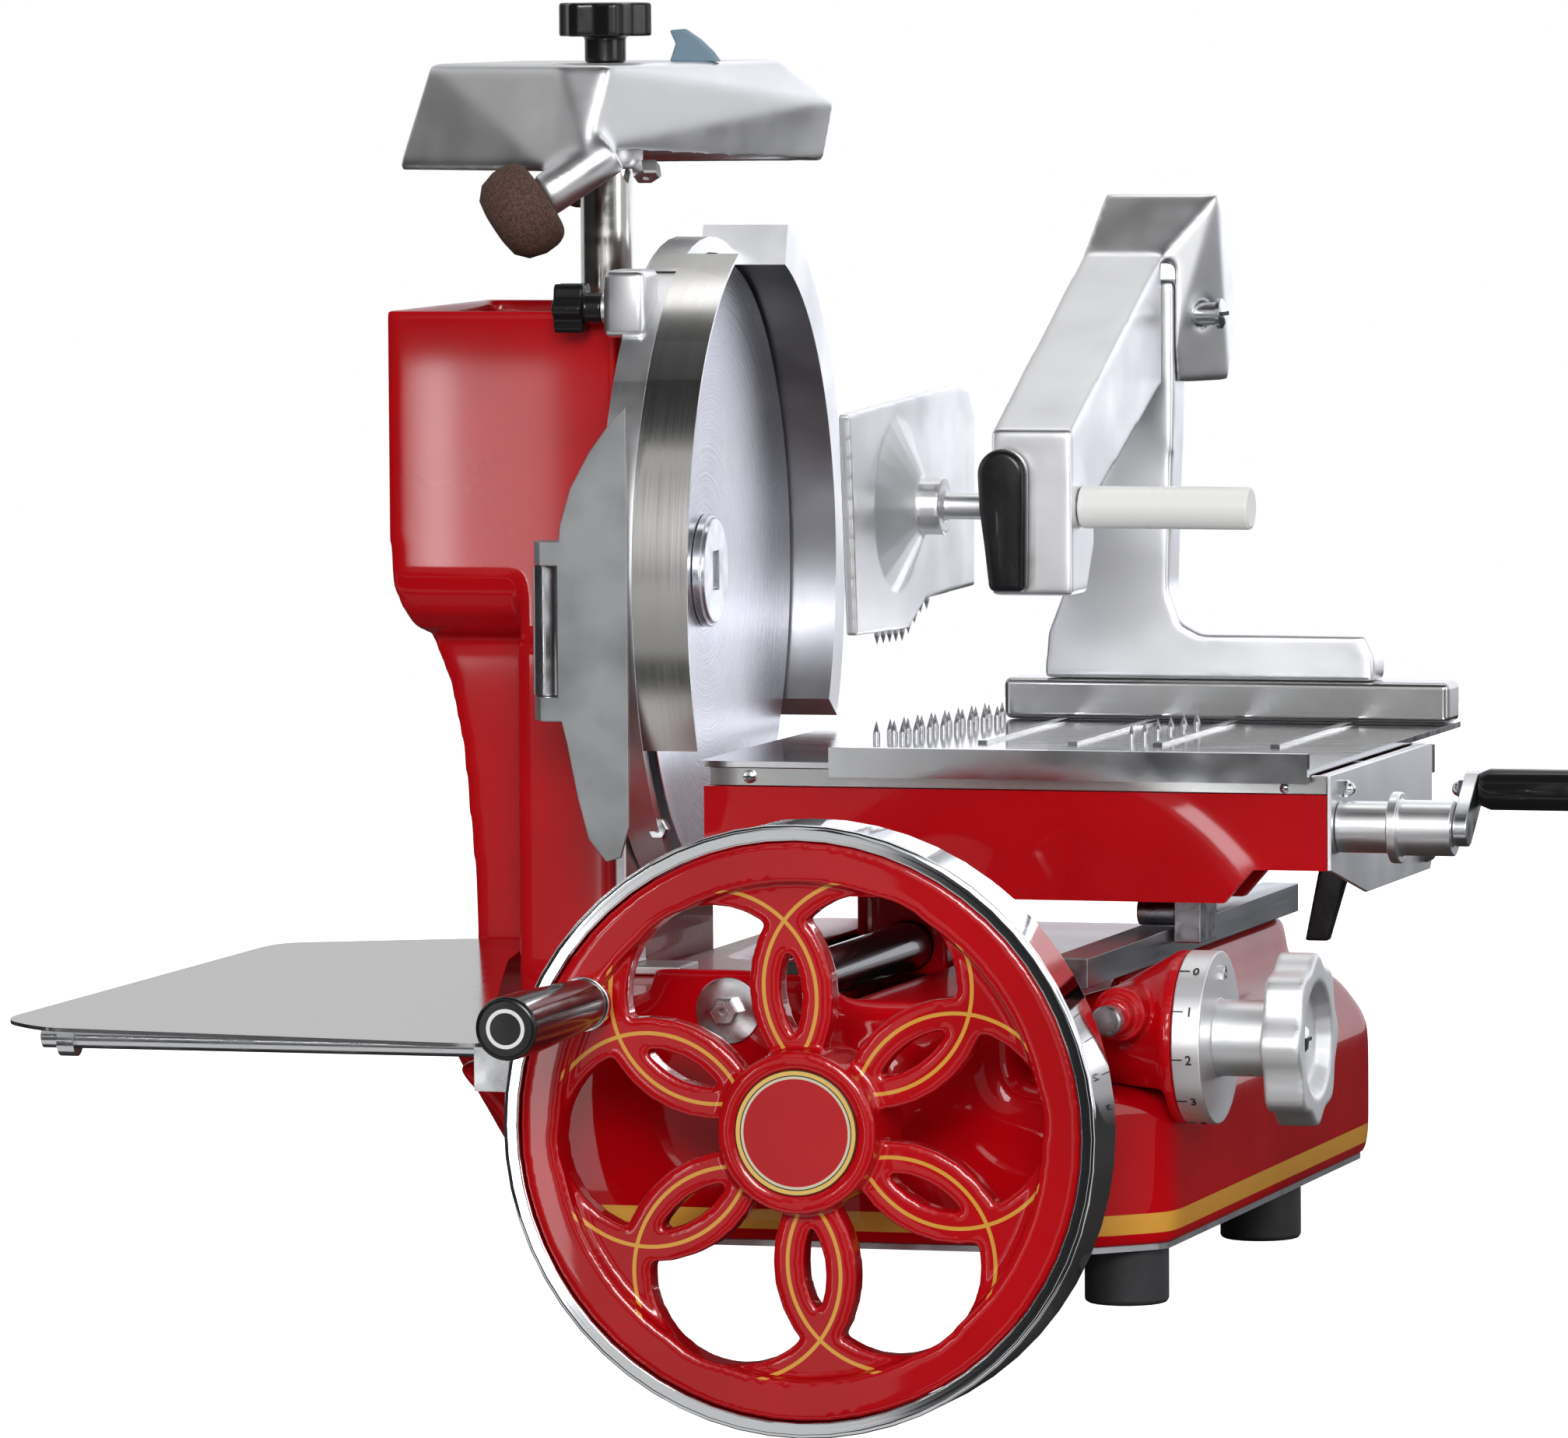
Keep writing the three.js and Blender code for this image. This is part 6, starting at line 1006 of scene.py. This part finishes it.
# Near-black for the dial's ink, and for the screw slots, where it is painted shade.
INK_AND_SLOT_SHADE = (0.01, 0.01, 0.01, 1)
SLOT_SHADE_GLOSS = 0.6
SLOT_SHADE_GRAIN = (900, 0.01 * MM)
SMALL_ROUND = 32
SCREW_TURN = 50
SCREW_WALL = 0.5
SCREW_SHOULDER = (0.7, 0.9)
SLOT_REACH = 0.9
SLOT_WIDTH = 0.13
SLOT_FLOOR = 0.62
SLOT_TOP = 1.02
NUT_ACROSS = 8 * MM
NUT_DEPTH = 0.45
NUT_CHAMFER = 0.08
DOME_RADIUS = 0.42
DOME_SEAT = 0.9
DOME_RISE = 0.9
DOME_STEPS = 8
STOP_LOW = (0.2145, 0.1700, 0.2400)
STOP_HIGH = (0.2215, 0.1815, 0.2545)
TRIM_SCREWS = (
    ("trim_screw_left", (-0.0795, -0.054, 0.2510), 3.4 * MM, 1.8 * MM),
    ("trim_screw_right", (0.1985, -0.054, 0.2492), 2.4 * MM, 1.5 * MM),
)
PLATE_NUTS = (
    ("side_plate_nut", (0.2223, -0.0290, 0.2476)),
    ("side_plate_nut_low", (0.2223, 0.150, 0.2000)),
)
rightward = (1, 0, 0)
brushed = worked_finish(
    "brushed_steel",
    BRUSHED,
    BRUSHED_GLOSS,
    BRUSHED_DRIFT,
    BRUSHED_MARKS,
    metal=1.0,
    **BRUSHED_ACROSS,
)
skin("carriage_frame", red, FRAME_EDGE, steps=3)
skin("carriage_trim", brushed, TRIM_EDGE)
satin = cast_aluminium("satin_sheet", span=SATIN_SPAN)
skin("carriage_side_plate", satin, TRIM_EDGE)
cast_skin("carriage_bearing", red, BEARING_CELL, BEARING_RELAX)
skin("roller_bracket", machined, BARREL_EDGE)
skin("crank_barrel", satin, BARREL_EDGE)
cast_skin("release_lever", black_plastic, RELEASE_CELL, RELEASE_RELAX)
# The screw slots are not cut: a black block stands in each as painted shade.
slot_shade = finish("slot_shade", INK_AND_SLOT_SHADE, SLOT_SHADE_GLOSS)
grain(slot_shade, *SLOT_SHADE_GRAIN)


def slotted_screw(name, at, direction, radius, height, like):
    """A low domed screw head with a black block across it: painted shade in its slot."""
    place = towards(direction, at)
    head = (
        (0, 0),
        (radius, 0),
        (radius, height * SCREW_WALL),
        (radius * SCREW_SHOULDER[0], height * SCREW_SHOULDER[1]),
        (0, height),
    )
    make(name, lathe(name, head, SMALL_ROUND), place, like, bright, turn=SCREW_TURN)
    # A black block, slightly proud of the head, stands for the slot: painted shade in the slot.
    half_length, half_width = radius * SLOT_REACH, radius * SLOT_WIDTH
    slot_shade_block = block_of(
        name + "_slot_shade",
        (-half_length, -half_width, height * SLOT_FLOOR),
        (half_length, half_width, height * SLOT_TOP),
    )
    make(name + "_slot_shade", slot_shade_block, place, like, slot_shade)


def acorn_nut(name, at, direction, across, like):
    """A hexagon nut with a domed cap."""
    depth, radius = across * NUT_DEPTH, across * DOME_RADIUS
    seat, rise = depth * DOME_SEAT, radius * DOME_RISE
    place = towards(direction, at)
    hexagon_head(name, place, like, bright, across, depth, across * NUT_CHAMFER, radius)
    dome = [(0, seat), (radius, seat)]
    for k in range(DOME_STEPS):
        bearing = TURN / 4 * k / DOME_STEPS
        dome.append((radius * math.cos(bearing), depth + rise * math.sin(bearing)))
    dome.append((0, depth + rise))
    make(name + "_dome", lathe(name + "_dome", dome, SMALL_ROUND), place, like, bright)


for name, at, radius, height in TRIM_SCREWS:
    slotted_screw(name, at, front, radius, height, "carriage_frame")
for name, at in PLATE_NUTS:
    acorn_nut(name, at, rightward, NUT_ACROSS, "carriage_frame")
stop = block_of("stop", STOP_LOW, STOP_HIGH)
make("carriage_stop", stop, Matrix(), "carriage_frame", black_plastic)


# Feed table.
# A polished steel plate that the screw moves towards the blade, with low ribs and a fence.
# Its upper face reflects the head like a mirror.
TABLE_STEEL = (0.58, 0.585, 0.6, 1)
TABLE_HAIRLINES = (500, 0.002 * MM)
TABLE_EDGE = 0.6 * MM
FENCE_EDGE = 3.6 * MM
THREAD_EDGE = 0.3 * MM
TABLE_TOP = 259 * MM
SPIKE_ROWS = ((-54, 9, 0), (-47, 9, 9), (-40, 8, 0), (80, 6, 9))
SPIKE_LEAN = 2.4
SPIKE_PITCH = 18
SPIKE_FIRST = 92
SPIKE_RADIUS = 1.9 * MM
SPIKE_SHANK = 4 * MM
SPIKE_TIP = 6.5 * MM
SPIKE_SIDES = 20
SPIKE_TURN = 35
SPIKE_STEEL = (0.5, 0.5, 0.51, 1)
SPIKE_GLOSS = 0.3
SPIKE_DRIFT = (200, 0.26, 0.36)
SPIKE_MARKS = (900, 0.003 * MM)
table_steel = worked_finish(
    "table_steel",
    TABLE_STEEL,
    MIRROR_GLOSS,
    MIRROR_DRIFT,
    TABLE_HAIRLINES,
    metal=1.0,
    **ALONG_PLATE,
)
skin("feed_table", table_steel, TABLE_EDGE)
skin("back_fence", brushed, FENCE_EDGE, steps=4)
skin("feed_screw", machined, THREAD_EDGE)


def studs(name, points, radius, shank, tip, like, material):
    """Pointed studs standing on points: one node group places the same stud on each."""
    cloud = bpy.data.meshes.new(name)
    cloud.from_pydata(points, [], [])
    piece = bpy.data.objects.new(name, cloud)
    scene.collection.objects.link(piece)
    group = bpy.data.node_groups.new(name, "GeometryNodeTree")
    face = group.interface
    face.new_socket("Geometry", in_out="INPUT", socket_type="NodeSocketGeometry")
    names = ("Radius", "Shank", "Tip")
    sockets = {
        label: face.new_socket(label, in_out="INPUT", socket_type="NodeSocketFloat")
        for label in names
    }
    metal = face.new_socket("Metal", in_out="INPUT", socket_type="NodeSocketMaterial")
    face.new_socket("Geometry", in_out="OUTPUT", socket_type="NodeSocketGeometry")
    nodes, wires = group.nodes, group.links
    given = nodes.new("NodeGroupInput")
    result = nodes.new("NodeGroupOutput")
    body = nodes.new("GeometryNodeMeshCylinder")
    body.inputs["Vertices"].default_value = SPIKE_SIDES
    point = nodes.new("GeometryNodeMeshCone")
    point.inputs["Vertices"].default_value = SPIKE_SIDES
    raised = nodes.new("ShaderNodeCombineXYZ")
    half = nodes.new("ShaderNodeMath")
    half.operation = "MULTIPLY"
    half.inputs[1].default_value = 0.5
    lift = nodes.new("GeometryNodeTransform")
    top = nodes.new("ShaderNodeCombineXYZ")
    raise_tip = nodes.new("GeometryNodeTransform")
    both = nodes.new("GeometryNodeJoinGeometry")
    spread = nodes.new("GeometryNodeInstanceOnPoints")
    real = nodes.new("GeometryNodeRealizeInstances")
    coat = nodes.new("GeometryNodeSetMaterial")
    for source, target in (
        (given.outputs["Radius"], body.inputs["Radius"]),
        (given.outputs["Shank"], body.inputs["Depth"]),
        (given.outputs["Radius"], point.inputs["Radius Bottom"]),
        (given.outputs["Tip"], point.inputs["Depth"]),
        (given.outputs["Shank"], half.inputs[0]),
        (half.outputs[0], raised.inputs["Z"]),
        (raised.outputs[0], lift.inputs["Translation"]),
        (body.outputs["Mesh"], lift.inputs["Geometry"]),
        (given.outputs["Shank"], top.inputs["Z"]),
        (top.outputs[0], raise_tip.inputs["Translation"]),
        (point.outputs["Mesh"], raise_tip.inputs["Geometry"]),
        (lift.outputs[0], both.inputs[0]),
        (raise_tip.outputs[0], both.inputs[0]),
        (given.outputs["Geometry"], spread.inputs["Points"]),
        (both.outputs[0], spread.inputs["Instance"]),
        (spread.outputs[0], real.inputs[0]),
        (real.outputs[0], coat.inputs["Geometry"]),
        (given.outputs["Metal"], coat.inputs["Material"]),
        (coat.outputs[0], result.inputs[0]),
    ):
        wires.new(source, target)
    stand = piece.modifiers.new("studs", "NODES")
    stand.node_group = group
    for label, value in zip(names, (radius, shank, tip)):
        stand[sockets[label].identifier] = value
    stand[metal.identifier] = material
    smooth(plain(piece), SPIKE_TURN)
    return settle(piece, like, material)


spike_points = [
    ((x + k * SPIKE_LEAN) * MM, (SPIKE_FIRST + k * SPIKE_PITCH + shift) * MM, TABLE_TOP)
    for x, count, shift in SPIKE_ROWS
    for k in range(count)
]
spike_steel = worked_finish(
    "spike_steel", SPIKE_STEEL, SPIKE_GLOSS, SPIKE_DRIFT, SPIKE_MARKS, metal=1.0
)
studs(
    "table_spikes",
    spike_points,
    SPIKE_RADIUS,
    SPIKE_SHANK,
    SPIKE_TIP,
    "feed_table",
    spike_steel,
)


# Crank of the feed screw.
# A short steel arm with a black turning knob, pinned to the end of the screw.
ARM_EDGE = 0.9 * MM
CRANK_NUT_AT = (0.2819, -0.012, 0.247)
CRANK_NUT_ACROSS = 9 * MM
skin("crank_arm", bright, ARM_EDGE, steps=3)
skin("crank_grip", handle_plastic, HANDLE_EDGE, steps=3)
acorn_nut("crank_nut", CRANK_NUT_AT, (-1, 0, 0), CRANK_NUT_ACROSS, "crank_arm")


# Clamp.
# A cast aluminium arm pivots on an upright behind the table and presses the food on it.
# Its pusher plate slides on a white-handled shaft, and a black lever locks it.
PORCELAIN = (0.80, 0.80, 0.78, 1)
PORCELAIN_GLOSS = 0.32
PORCELAIN_COAT = 0.15
PORCELAIN_DRIFT = (60, 0.26, 0.4)
PORCELAIN_GRAIN = (900, 0.01 * MM)
UPRIGHT_CELL = 1.4 * MM
ARM_CELL = 1.3 * MM
PUSHER_CELL = 1.1 * MM
PUSHER_RELAX = 3
CLAMP_RELAX = 26
PIVOT_EDGE = 0.6 * MM
PUSH_EDGE = 3 * MM
PIVOT_END = (0.0838, 0.274, 0.474)
PIVOT_CAP_RADIUS = 8 * MM
PIVOT_CAP_HEIGHT = 4 * MM
SPUR_FIRST = 62
SPUR_PITCH = 12
SPURS = 9
SPUR_X = -0.045
SPUR_FROM = 0.2
SPUR_RADIUS = 1.5 * MM
SPUR_SHANK = 1.5 * MM
SPUR_TIP = 5 * MM
LEVER_EDGE = 3.6 * MM
LEVER_CORNER = 40
LEVER_TURN = 60
LEVER_FACES = (62.2, 73.2)
LEVER_TOP = (21, 399)
LEVER_END_RADIUS = 12.8
LEVER_SIDE = ((9.0, 381), (11.6, 362), (14.2, 338.4), (33.2, 338.4), (33.8, 384))
LEVER_ARC = 16


def faces_of(name):
    """The faces of a node's solid, for a ray to meet."""
    solid = frame["nodes"][name]
    corners = [solid.matrix_world @ corner.co for corner in solid.data.vertices]
    return BVHTree.FromPolygons(corners, [tuple(face.vertices) for face in solid.data.polygons])


def paddle_mesh():
    """The lever's side view in millimetres, half round on top, drawn out between its faces."""
    bearings = [math.pi * k / LEVER_ARC for k in range(LEVER_ARC + 1)]
    outline = [
        (
            LEVER_TOP[0] + LEVER_END_RADIUS * math.cos(bearing),
            LEVER_TOP[1] + LEVER_END_RADIUS * math.sin(bearing),
        )
        for bearing in bearings
    ]
    outline += LEVER_SIDE
    work = bmesh.new()
    near, far = (
        [work.verts.new((x * MM, y * MM, z * MM)) for x, z in outline] for y in LEVER_FACES
    )
    work.faces.new(near)
    work.faces.new(reversed(far))
    for k in range(len(near)):
        after = (k + 1) % len(near)
        work.faces.new((near[k], near[after], far[after], far[k]))
    return mesh_of(work, "paddle")


white_plastic = worked_finish(
    "white_plastic",
    PORCELAIN,
    PORCELAIN_GLOSS,
    PORCELAIN_DRIFT,
    PORCELAIN_GRAIN,
    coat=PORCELAIN_COAT,
)
cast_skin("clamp_upright", cast, UPRIGHT_CELL, CLAMP_RELAX)
cast_skin("clamp_arm", cast, ARM_CELL, CLAMP_RELAX)
skin("clamp_pivot", bright, PIVOT_EDGE)
cast_skin("pusher_plate", cast, PUSHER_CELL, PUSHER_RELAX)
skin("push_handle", white_plastic, PUSH_EDGE, steps=4)
slotted_screw(
    "pivot_cap", PIVOT_END, rightward, PIVOT_CAP_RADIUS, PIVOT_CAP_HEIGHT, "clamp_arm"
)
# The studs stand up, so those of the plate are laid out upside down and then turned over.
plate_faces = faces_of("pusher_plate")
spur_points = []
for k in range(SPURS):
    below = Vector((SPUR_X, (SPUR_FIRST + k * SPUR_PITCH) * MM, SPUR_FROM))
    root = plate_faces.ray_cast(below, Vector((0, 0, 1)))[0]
    if root:
        spur_points.append((-root.x, root.y, -root.z))
spurs = studs(
    "pusher_spurs",
    spur_points,
    SPUR_RADIUS,
    SPUR_SHANK,
    SPUR_TIP,
    "pusher_plate",
    spike_steel,
)
spurs.data.transform(Matrix.Rotation(math.pi, 4, "Y"))
paddle = make(
    "paddle",
    paddle_mesh(),
    Matrix(),
    "lock_lever",
    black_plastic,
    replaced=("lock_lever",),
)
eased = paddle.modifiers.new("edge", "BEVEL")
eased.width = LEVER_EDGE
eased.segments = EASE_STEPS
eased.limit_method = "ANGLE"
eased.angle_limit = math.radians(LEVER_CORNER)
smooth(plain(paddle), LEVER_TURN)


# Thickness dial.
# A turned aluminium drum with a fluted handwheel sets how thick a slice is.
# Its scale is cut and filled in black.
DIAL_AT = Vector((0.2, -0.145, 0.133))
DIAL_GLOSS = 0.46
DIAL_RINGS = {"pitch": 0.8 * MM, "depth": 0.002 * MM, "low": 0.42, "high": 0.5}
DIAL_EDGE = 0.9 * MM
HOUSING_CELL = 1.4 * MM
HOUSING_RELAX = 4
HANDWHEEL_SPAN = (0.46, 0.54)
HANDWHEEL_CELL = 0.9 * MM
HANDWHEEL_RELAX = 14
HANDWHEEL_FROM = 0.3
HANDWHEEL_SCREW_RADIUS = 6.5 * MM
HANDWHEEL_SCREW_HEIGHT = 3 * MM
DIAL_RADIUS = 43 * MM
MARK_STEP = math.radians(32)
MARK_FIRST = math.radians(9.7) - 2 * MARK_STEP
MARKS = 5
MARK_LIFT = 0.12 * MM
MARK_X = 180.2 * MM
MARK_HEIGHT = 6.6 * MM
MARK_MIDDLE = 0.36
MARK_DEPTH = 0.06 * MM
MARK_WEIGHT = 0.11 * MM
TICK_LOW = (173.4 * MM, -0.32 * MM, -0.3 * MM)
TICK_HIGH = (178.6 * MM, 0.32 * MM, 0)
INK_GLOSS = 0.5
INK_GRAIN = (900, 0.005 * MM)
DIAL_SCREW_AT = (0.1875, -0.1426, 0.1649)
DIAL_SCREW = {"across": 6.5 * MM, "depth": 2.5 * MM, "crown": 0.5 * MM, "dimple": 1.6 * MM}
PIN_AT = (0.1470, -0.2045, 0.1466)
PIN_ROUND = 48
PIN_RADIUS = 7.6 * MM
PIN_LENGTH = 9.8 * MM
PIN_CHAMFER = (1 * MM, 1.2 * MM)


def numeral(number):
    """The flat shape of one numeral, centred on the height of its line."""
    glyph = bpy.data.curves.new(f"dial_mark_{number}", "FONT")
    glyph.body = str(number)
    glyph.size = MARK_HEIGHT
    glyph.extrude = MARK_DEPTH
    glyph.offset = MARK_WEIGHT
    writing = bpy.data.objects.new(f"dial_writing_{number}", glyph)
    scene.collection.objects.link(writing)
    bpy.context.view_layer.update()
    graph = bpy.context.evaluated_depsgraph_get()
    mark = bpy.data.meshes.new_from_object(writing.evaluated_get(graph), depsgraph=graph)
    bpy.data.objects.remove(writing)
    mark.transform(Matrix.Translation((MARK_X, -MARK_HEIGHT * MARK_MIDDLE, 0)))
    return mark


turned_aluminium = finish("turned_aluminium", CAST_PALE, DIAL_GLOSS, metal=1.0)
ring_polish(turned_aluminium, DIAL_AT, rightward, **DIAL_RINGS)
handwheel_satin = cast_aluminium("handwheel_satin", span=HANDWHEEL_SPAN)
cast_skin("dial_housing", red, HOUSING_CELL, HOUSING_RELAX)
skin("thickness_dial", turned_aluminium, DIAL_EDGE)
cast_skin("thickness_handwheel", handwheel_satin, HANDWHEEL_CELL, HANDWHEEL_RELAX)
beside = Vector((HANDWHEEL_FROM, DIAL_AT.y, DIAL_AT.z))
dish_at = faces_of("thickness_handwheel").ray_cast(beside, Vector((-1, 0, 0)))[0]
slotted_screw(
    "handwheel_screw",
    dish_at,
    rightward,
    HANDWHEEL_SCREW_RADIUS,
    HANDWHEEL_SCREW_HEIGHT,
    "thickness_handwheel",
)
ink = finish("dial_ink", INK_AND_SLOT_SHADE, INK_GLOSS)
grain(ink, *INK_GRAIN)
for number in range(MARKS):
    bearing = MARK_FIRST + number * MARK_STEP
    out = Vector((0, -math.cos(bearing), -math.sin(bearing)))
    up = out.cross(Vector(rightward))
    place = Matrix((rightward, up, out)).transposed().to_4x4()
    place.translation = Vector((0, DIAL_AT.y, DIAL_AT.z)) + out * (DIAL_RADIUS + MARK_LIFT)
    tick = block_of(f"dial_tick_{number}", TICK_LOW, TICK_HIGH)
    make(f"dial_tick_{number}", tick, place, "thickness_dial", ink)
    make(f"dial_mark_{number}", numeral(number), place, "thickness_dial", ink)
hexagon_head(
    "dial_screw", towards(rightward, DIAL_SCREW_AT), "thickness_dial", bright, **DIAL_SCREW
)
pin = (
    (0, 0),
    (PIN_RADIUS, 0),
    (PIN_RADIUS, PIN_LENGTH - PIN_CHAMFER[1]),
    (PIN_RADIUS - PIN_CHAMFER[0], PIN_LENGTH),
    (0, PIN_LENGTH),
)
pin_mesh = lathe("gauge_pin", pin, PIN_ROUND)
make("gauge_pin", pin_mesh, towards(front, PIN_AT), "base_cover", machined)


# Counter and studio.
# The slicer stands on a white counter, its wheel hanging before the edge.
# Soft lamps stand in front, at the right and above, and the room is white. Narrow boxes far
# at the left leave the bright lines on the steel, and black cards darken what metal mirrors.
FRONT_OF_COUNTER = -0.228
COUNTER_REACH = 4.0
COUNTER_DROP = 2.5
COUNTER_WHITE = (0.86, 0.86, 0.86, 1)
COUNTER_MIRRORED = (0.06, 0.06, 0.06, 1)
COUNTER_GLOW = 1.2
WHITE = (1, 1, 1, 1)
CARD_BLACK = (0.02, 0.02, 0.022, 1)
CARD_GLOSS = 0.9
CARD_WHITE = (0.93, 0.94, 1, 1)
CARD_GLOW = 1.4
ROOM_SEEN = 1.0
ROOM_MIRRORED = 0.62
ROOM_LIGHT = 0.36
SLICER_MIDDLE = (-0.02, -0.05, 0.28)
WHEEL_LEFT = (-0.13, -0.2, 0.1)
COLUMN_LEFT = (-0.2, -0.05, 0.4)
LAMPS = (
    ("front", (0.8, -4.0, 1.6), SLICER_MIDDLE, (1.7, 1.1), 104),
    ("right", (2.7, -0.9, 1.0), SLICER_MIDDLE, (0.8, 1.6), 14),
    ("top", (0.0, 0.1, 2.2), SLICER_MIDDLE, (1.4, 1.4), 8),
    ("wheel_box", (-1.69, -5.2, -0.4), WHEEL_LEFT, (0.1, 0.44), 0.5),
    ("column_edge", (-1.92, -5.2, 0.12), COLUMN_LEFT, (0.04, 0.34), 0.7),
    ("column_box", (-1.86, -5.2, 0.12), COLUMN_LEFT, (0.13, 0.34), 0.95),
)


def sheet_of(name, corners, material):
    """A flat sheet between its corners."""
    mesh = bpy.data.meshes.new(name)
    mesh.from_pydata(corners, [], [tuple(range(len(corners)))])
    mesh.materials.append(material)
    made = bpy.data.objects.new(name, mesh)
    scene.collection.objects.link(made)
    return made


def upright(left, right, depth, low, high):
    """The corners of an upright rectangle that faces the front."""
    return ((left, depth, low), (right, depth, low), (right, depth, high), (left, depth, high))


def card(name, corners, material):
    """A sheet that only shiny pieces show: it gives no light and no shadow."""
    sheet = sheet_of(name, corners, material)
    sheet.visible_camera = False
    sheet.visible_diffuse = False
    sheet.visible_shadow = False


def bare(material):
    """A material or a world with its nodes cleared away."""
    material.use_nodes = True
    material.node_tree.nodes.clear()
    return material


def mix_of(material, share, first, second):
    """The first shader where the share is nought, and the second where it is one."""
    mix = node(material, "ShaderNodeMixShader")
    for source, socket in zip((share, first, second), mix.inputs):
        wire(material, source, socket)
    return mix.outputs[0]


def lamp(name, at, aim, size, power):
    """A rectangular soft box aimed at a point."""
    data = bpy.data.lights.new(name, "AREA")
    data.shape = "RECTANGLE"
    data.size, data.size_y = size
    data.energy = power
    made = bpy.data.objects.new(name, data)
    made.matrix_world = towards(Vector(at) - Vector(aim), at)
    scene.collection.objects.link(made)


counter_white = bare(bpy.data.materials.new("counter_white"))
diffuse = node(counter_white, "ShaderNodeBsdfDiffuse", Color=COUNTER_WHITE).outputs[0]
shadowed = node(counter_white, "ShaderNodeBsdfDiffuse", Color=COUNTER_MIRRORED).outputs[0]
glow = node(counter_white, "ShaderNodeEmission", Color=WHITE, Strength=COUNTER_GLOW).outputs[0]
lit = node(counter_white, "ShaderNodeAddShader")
wire(counter_white, diffuse, lit.inputs[0])
wire(counter_white, glow, lit.inputs[1])
rays = node(counter_white, "ShaderNodeLightPath").outputs
unseen = mix_of(counter_white, rays["Is Glossy Ray"], diffuse, shadowed)
counter_look = mix_of(counter_white, rays["Is Camera Ray"], unseen, lit.outputs[0])
surface = node(counter_white, "ShaderNodeOutputMaterial")
wire(counter_white, counter_look, surface.inputs[0])
reach, edge_y = COUNTER_REACH, FRONT_OF_COUNTER
sheet_of(
        "counter_top",
        ((-reach, edge_y, 0), (reach, edge_y, 0), (reach, reach, 0), (-reach, reach, 0)),
        counter_white,
    )
sheet_of("counter_face", upright(-reach, reach, edge_y, -COUNTER_DROP, 0), counter_white)
for name, at, aim, size, power in LAMPS:
    lamp(name, at, aim, size, power)
card_black = finish("card_black", CARD_BLACK, CARD_GLOSS)
for name, corners in (
    ("wall_left", upright(-9, -2.9, -8, -3, 7)),
    ("wall_strip", upright(-2.1, -1.5, -8, -3, 7)),
    ("wall_right", upright(-0.2, 9, -8, -3, 1.2)),
    ("beam_mid", upright(-4, -0.6, -3.4, 0.32, 0.62)),
    ("wall_side", ((-3.2, -4, -1), (-3.2, 1, -1), (-3.2, 1, 1.5), (-3.2, -4, 1.5))),
    ("beam_top", ((-1.5, -1.5, 1.8), (1.5, -1.5, 1.8), (1.5, 0.3, 2.1), (-1.5, 0.3, 2.1))),
    ("beam_low", upright(-4, 4, -3.4, -2.3, -1.2)),
):
    card(name, corners, card_black)
card_white = bare(bpy.data.materials.new("card_white"))
shine = node(card_white, "ShaderNodeEmission", Color=CARD_WHITE, Strength=CARD_GLOW)
card_face = node(card_white, "ShaderNodeOutputMaterial")
wire(card_white, shine.outputs[0], card_face.inputs[0])
card("back_light", upright(-1.2, 7, 3.8, 0.02, 4), card_white)
card("high_light", upright(0, 9, -8, 1.3, 6), card_white)
world = bare(bpy.data.worlds.new("studio"))
scene.world = world
seen, mirrored, light = (
    node(world, "ShaderNodeBackground", Color=WHITE, Strength=strength).outputs[0]
    for strength in (ROOM_SEEN, ROOM_MIRRORED, ROOM_LIGHT)
)
rays = node(world, "ShaderNodeLightPath").outputs
shiny = reckon(world, "MAXIMUM", rays["Is Glossy Ray"], rays["Is Transmission Ray"])
unseen = mix_of(world, shiny, light, mirrored)
room = node(world, "ShaderNodeOutputWorld")
wire(world, mix_of(world, rays["Is Camera Ray"], unseen, seen), room.inputs[0])
scene.view_settings.view_transform = "Standard"


# Camera.
# It stands at the photograph's angle: a little to the right of the wheel and just above it.
# The lens is long, so the slicer's level lines stay close to parallel.
FRAME_WIDTH = 2015
FOCAL_PIXELS = 14500
SENSOR = 36
FARTHEST = 30
CAMERA_AT = (1.5253, -5.5156, 0.6882)
ACROSS = (0.96041, 0.27850, -0.00696)
UPWARD = (-0.01324, 0.07061, 0.99741)
AHEAD = (-0.27828, 0.95783, -0.07150)
lens = bpy.data.cameras.new("camera")
lens.sensor_fit = "HORIZONTAL"
lens.sensor_width = SENSOR
lens.lens = FOCAL_PIXELS / FRAME_WIDTH * SENSOR
lens.clip_end = FARTHEST
camera = bpy.data.objects.new("camera", lens)
facing = Matrix((ACROSS, UPWARD, [-v for v in AHEAD])).transposed().to_4x4()
camera.matrix_world = Matrix.Translation(CAMERA_AT) @ facing
scene.collection.objects.link(camera)
scene.camera = camera
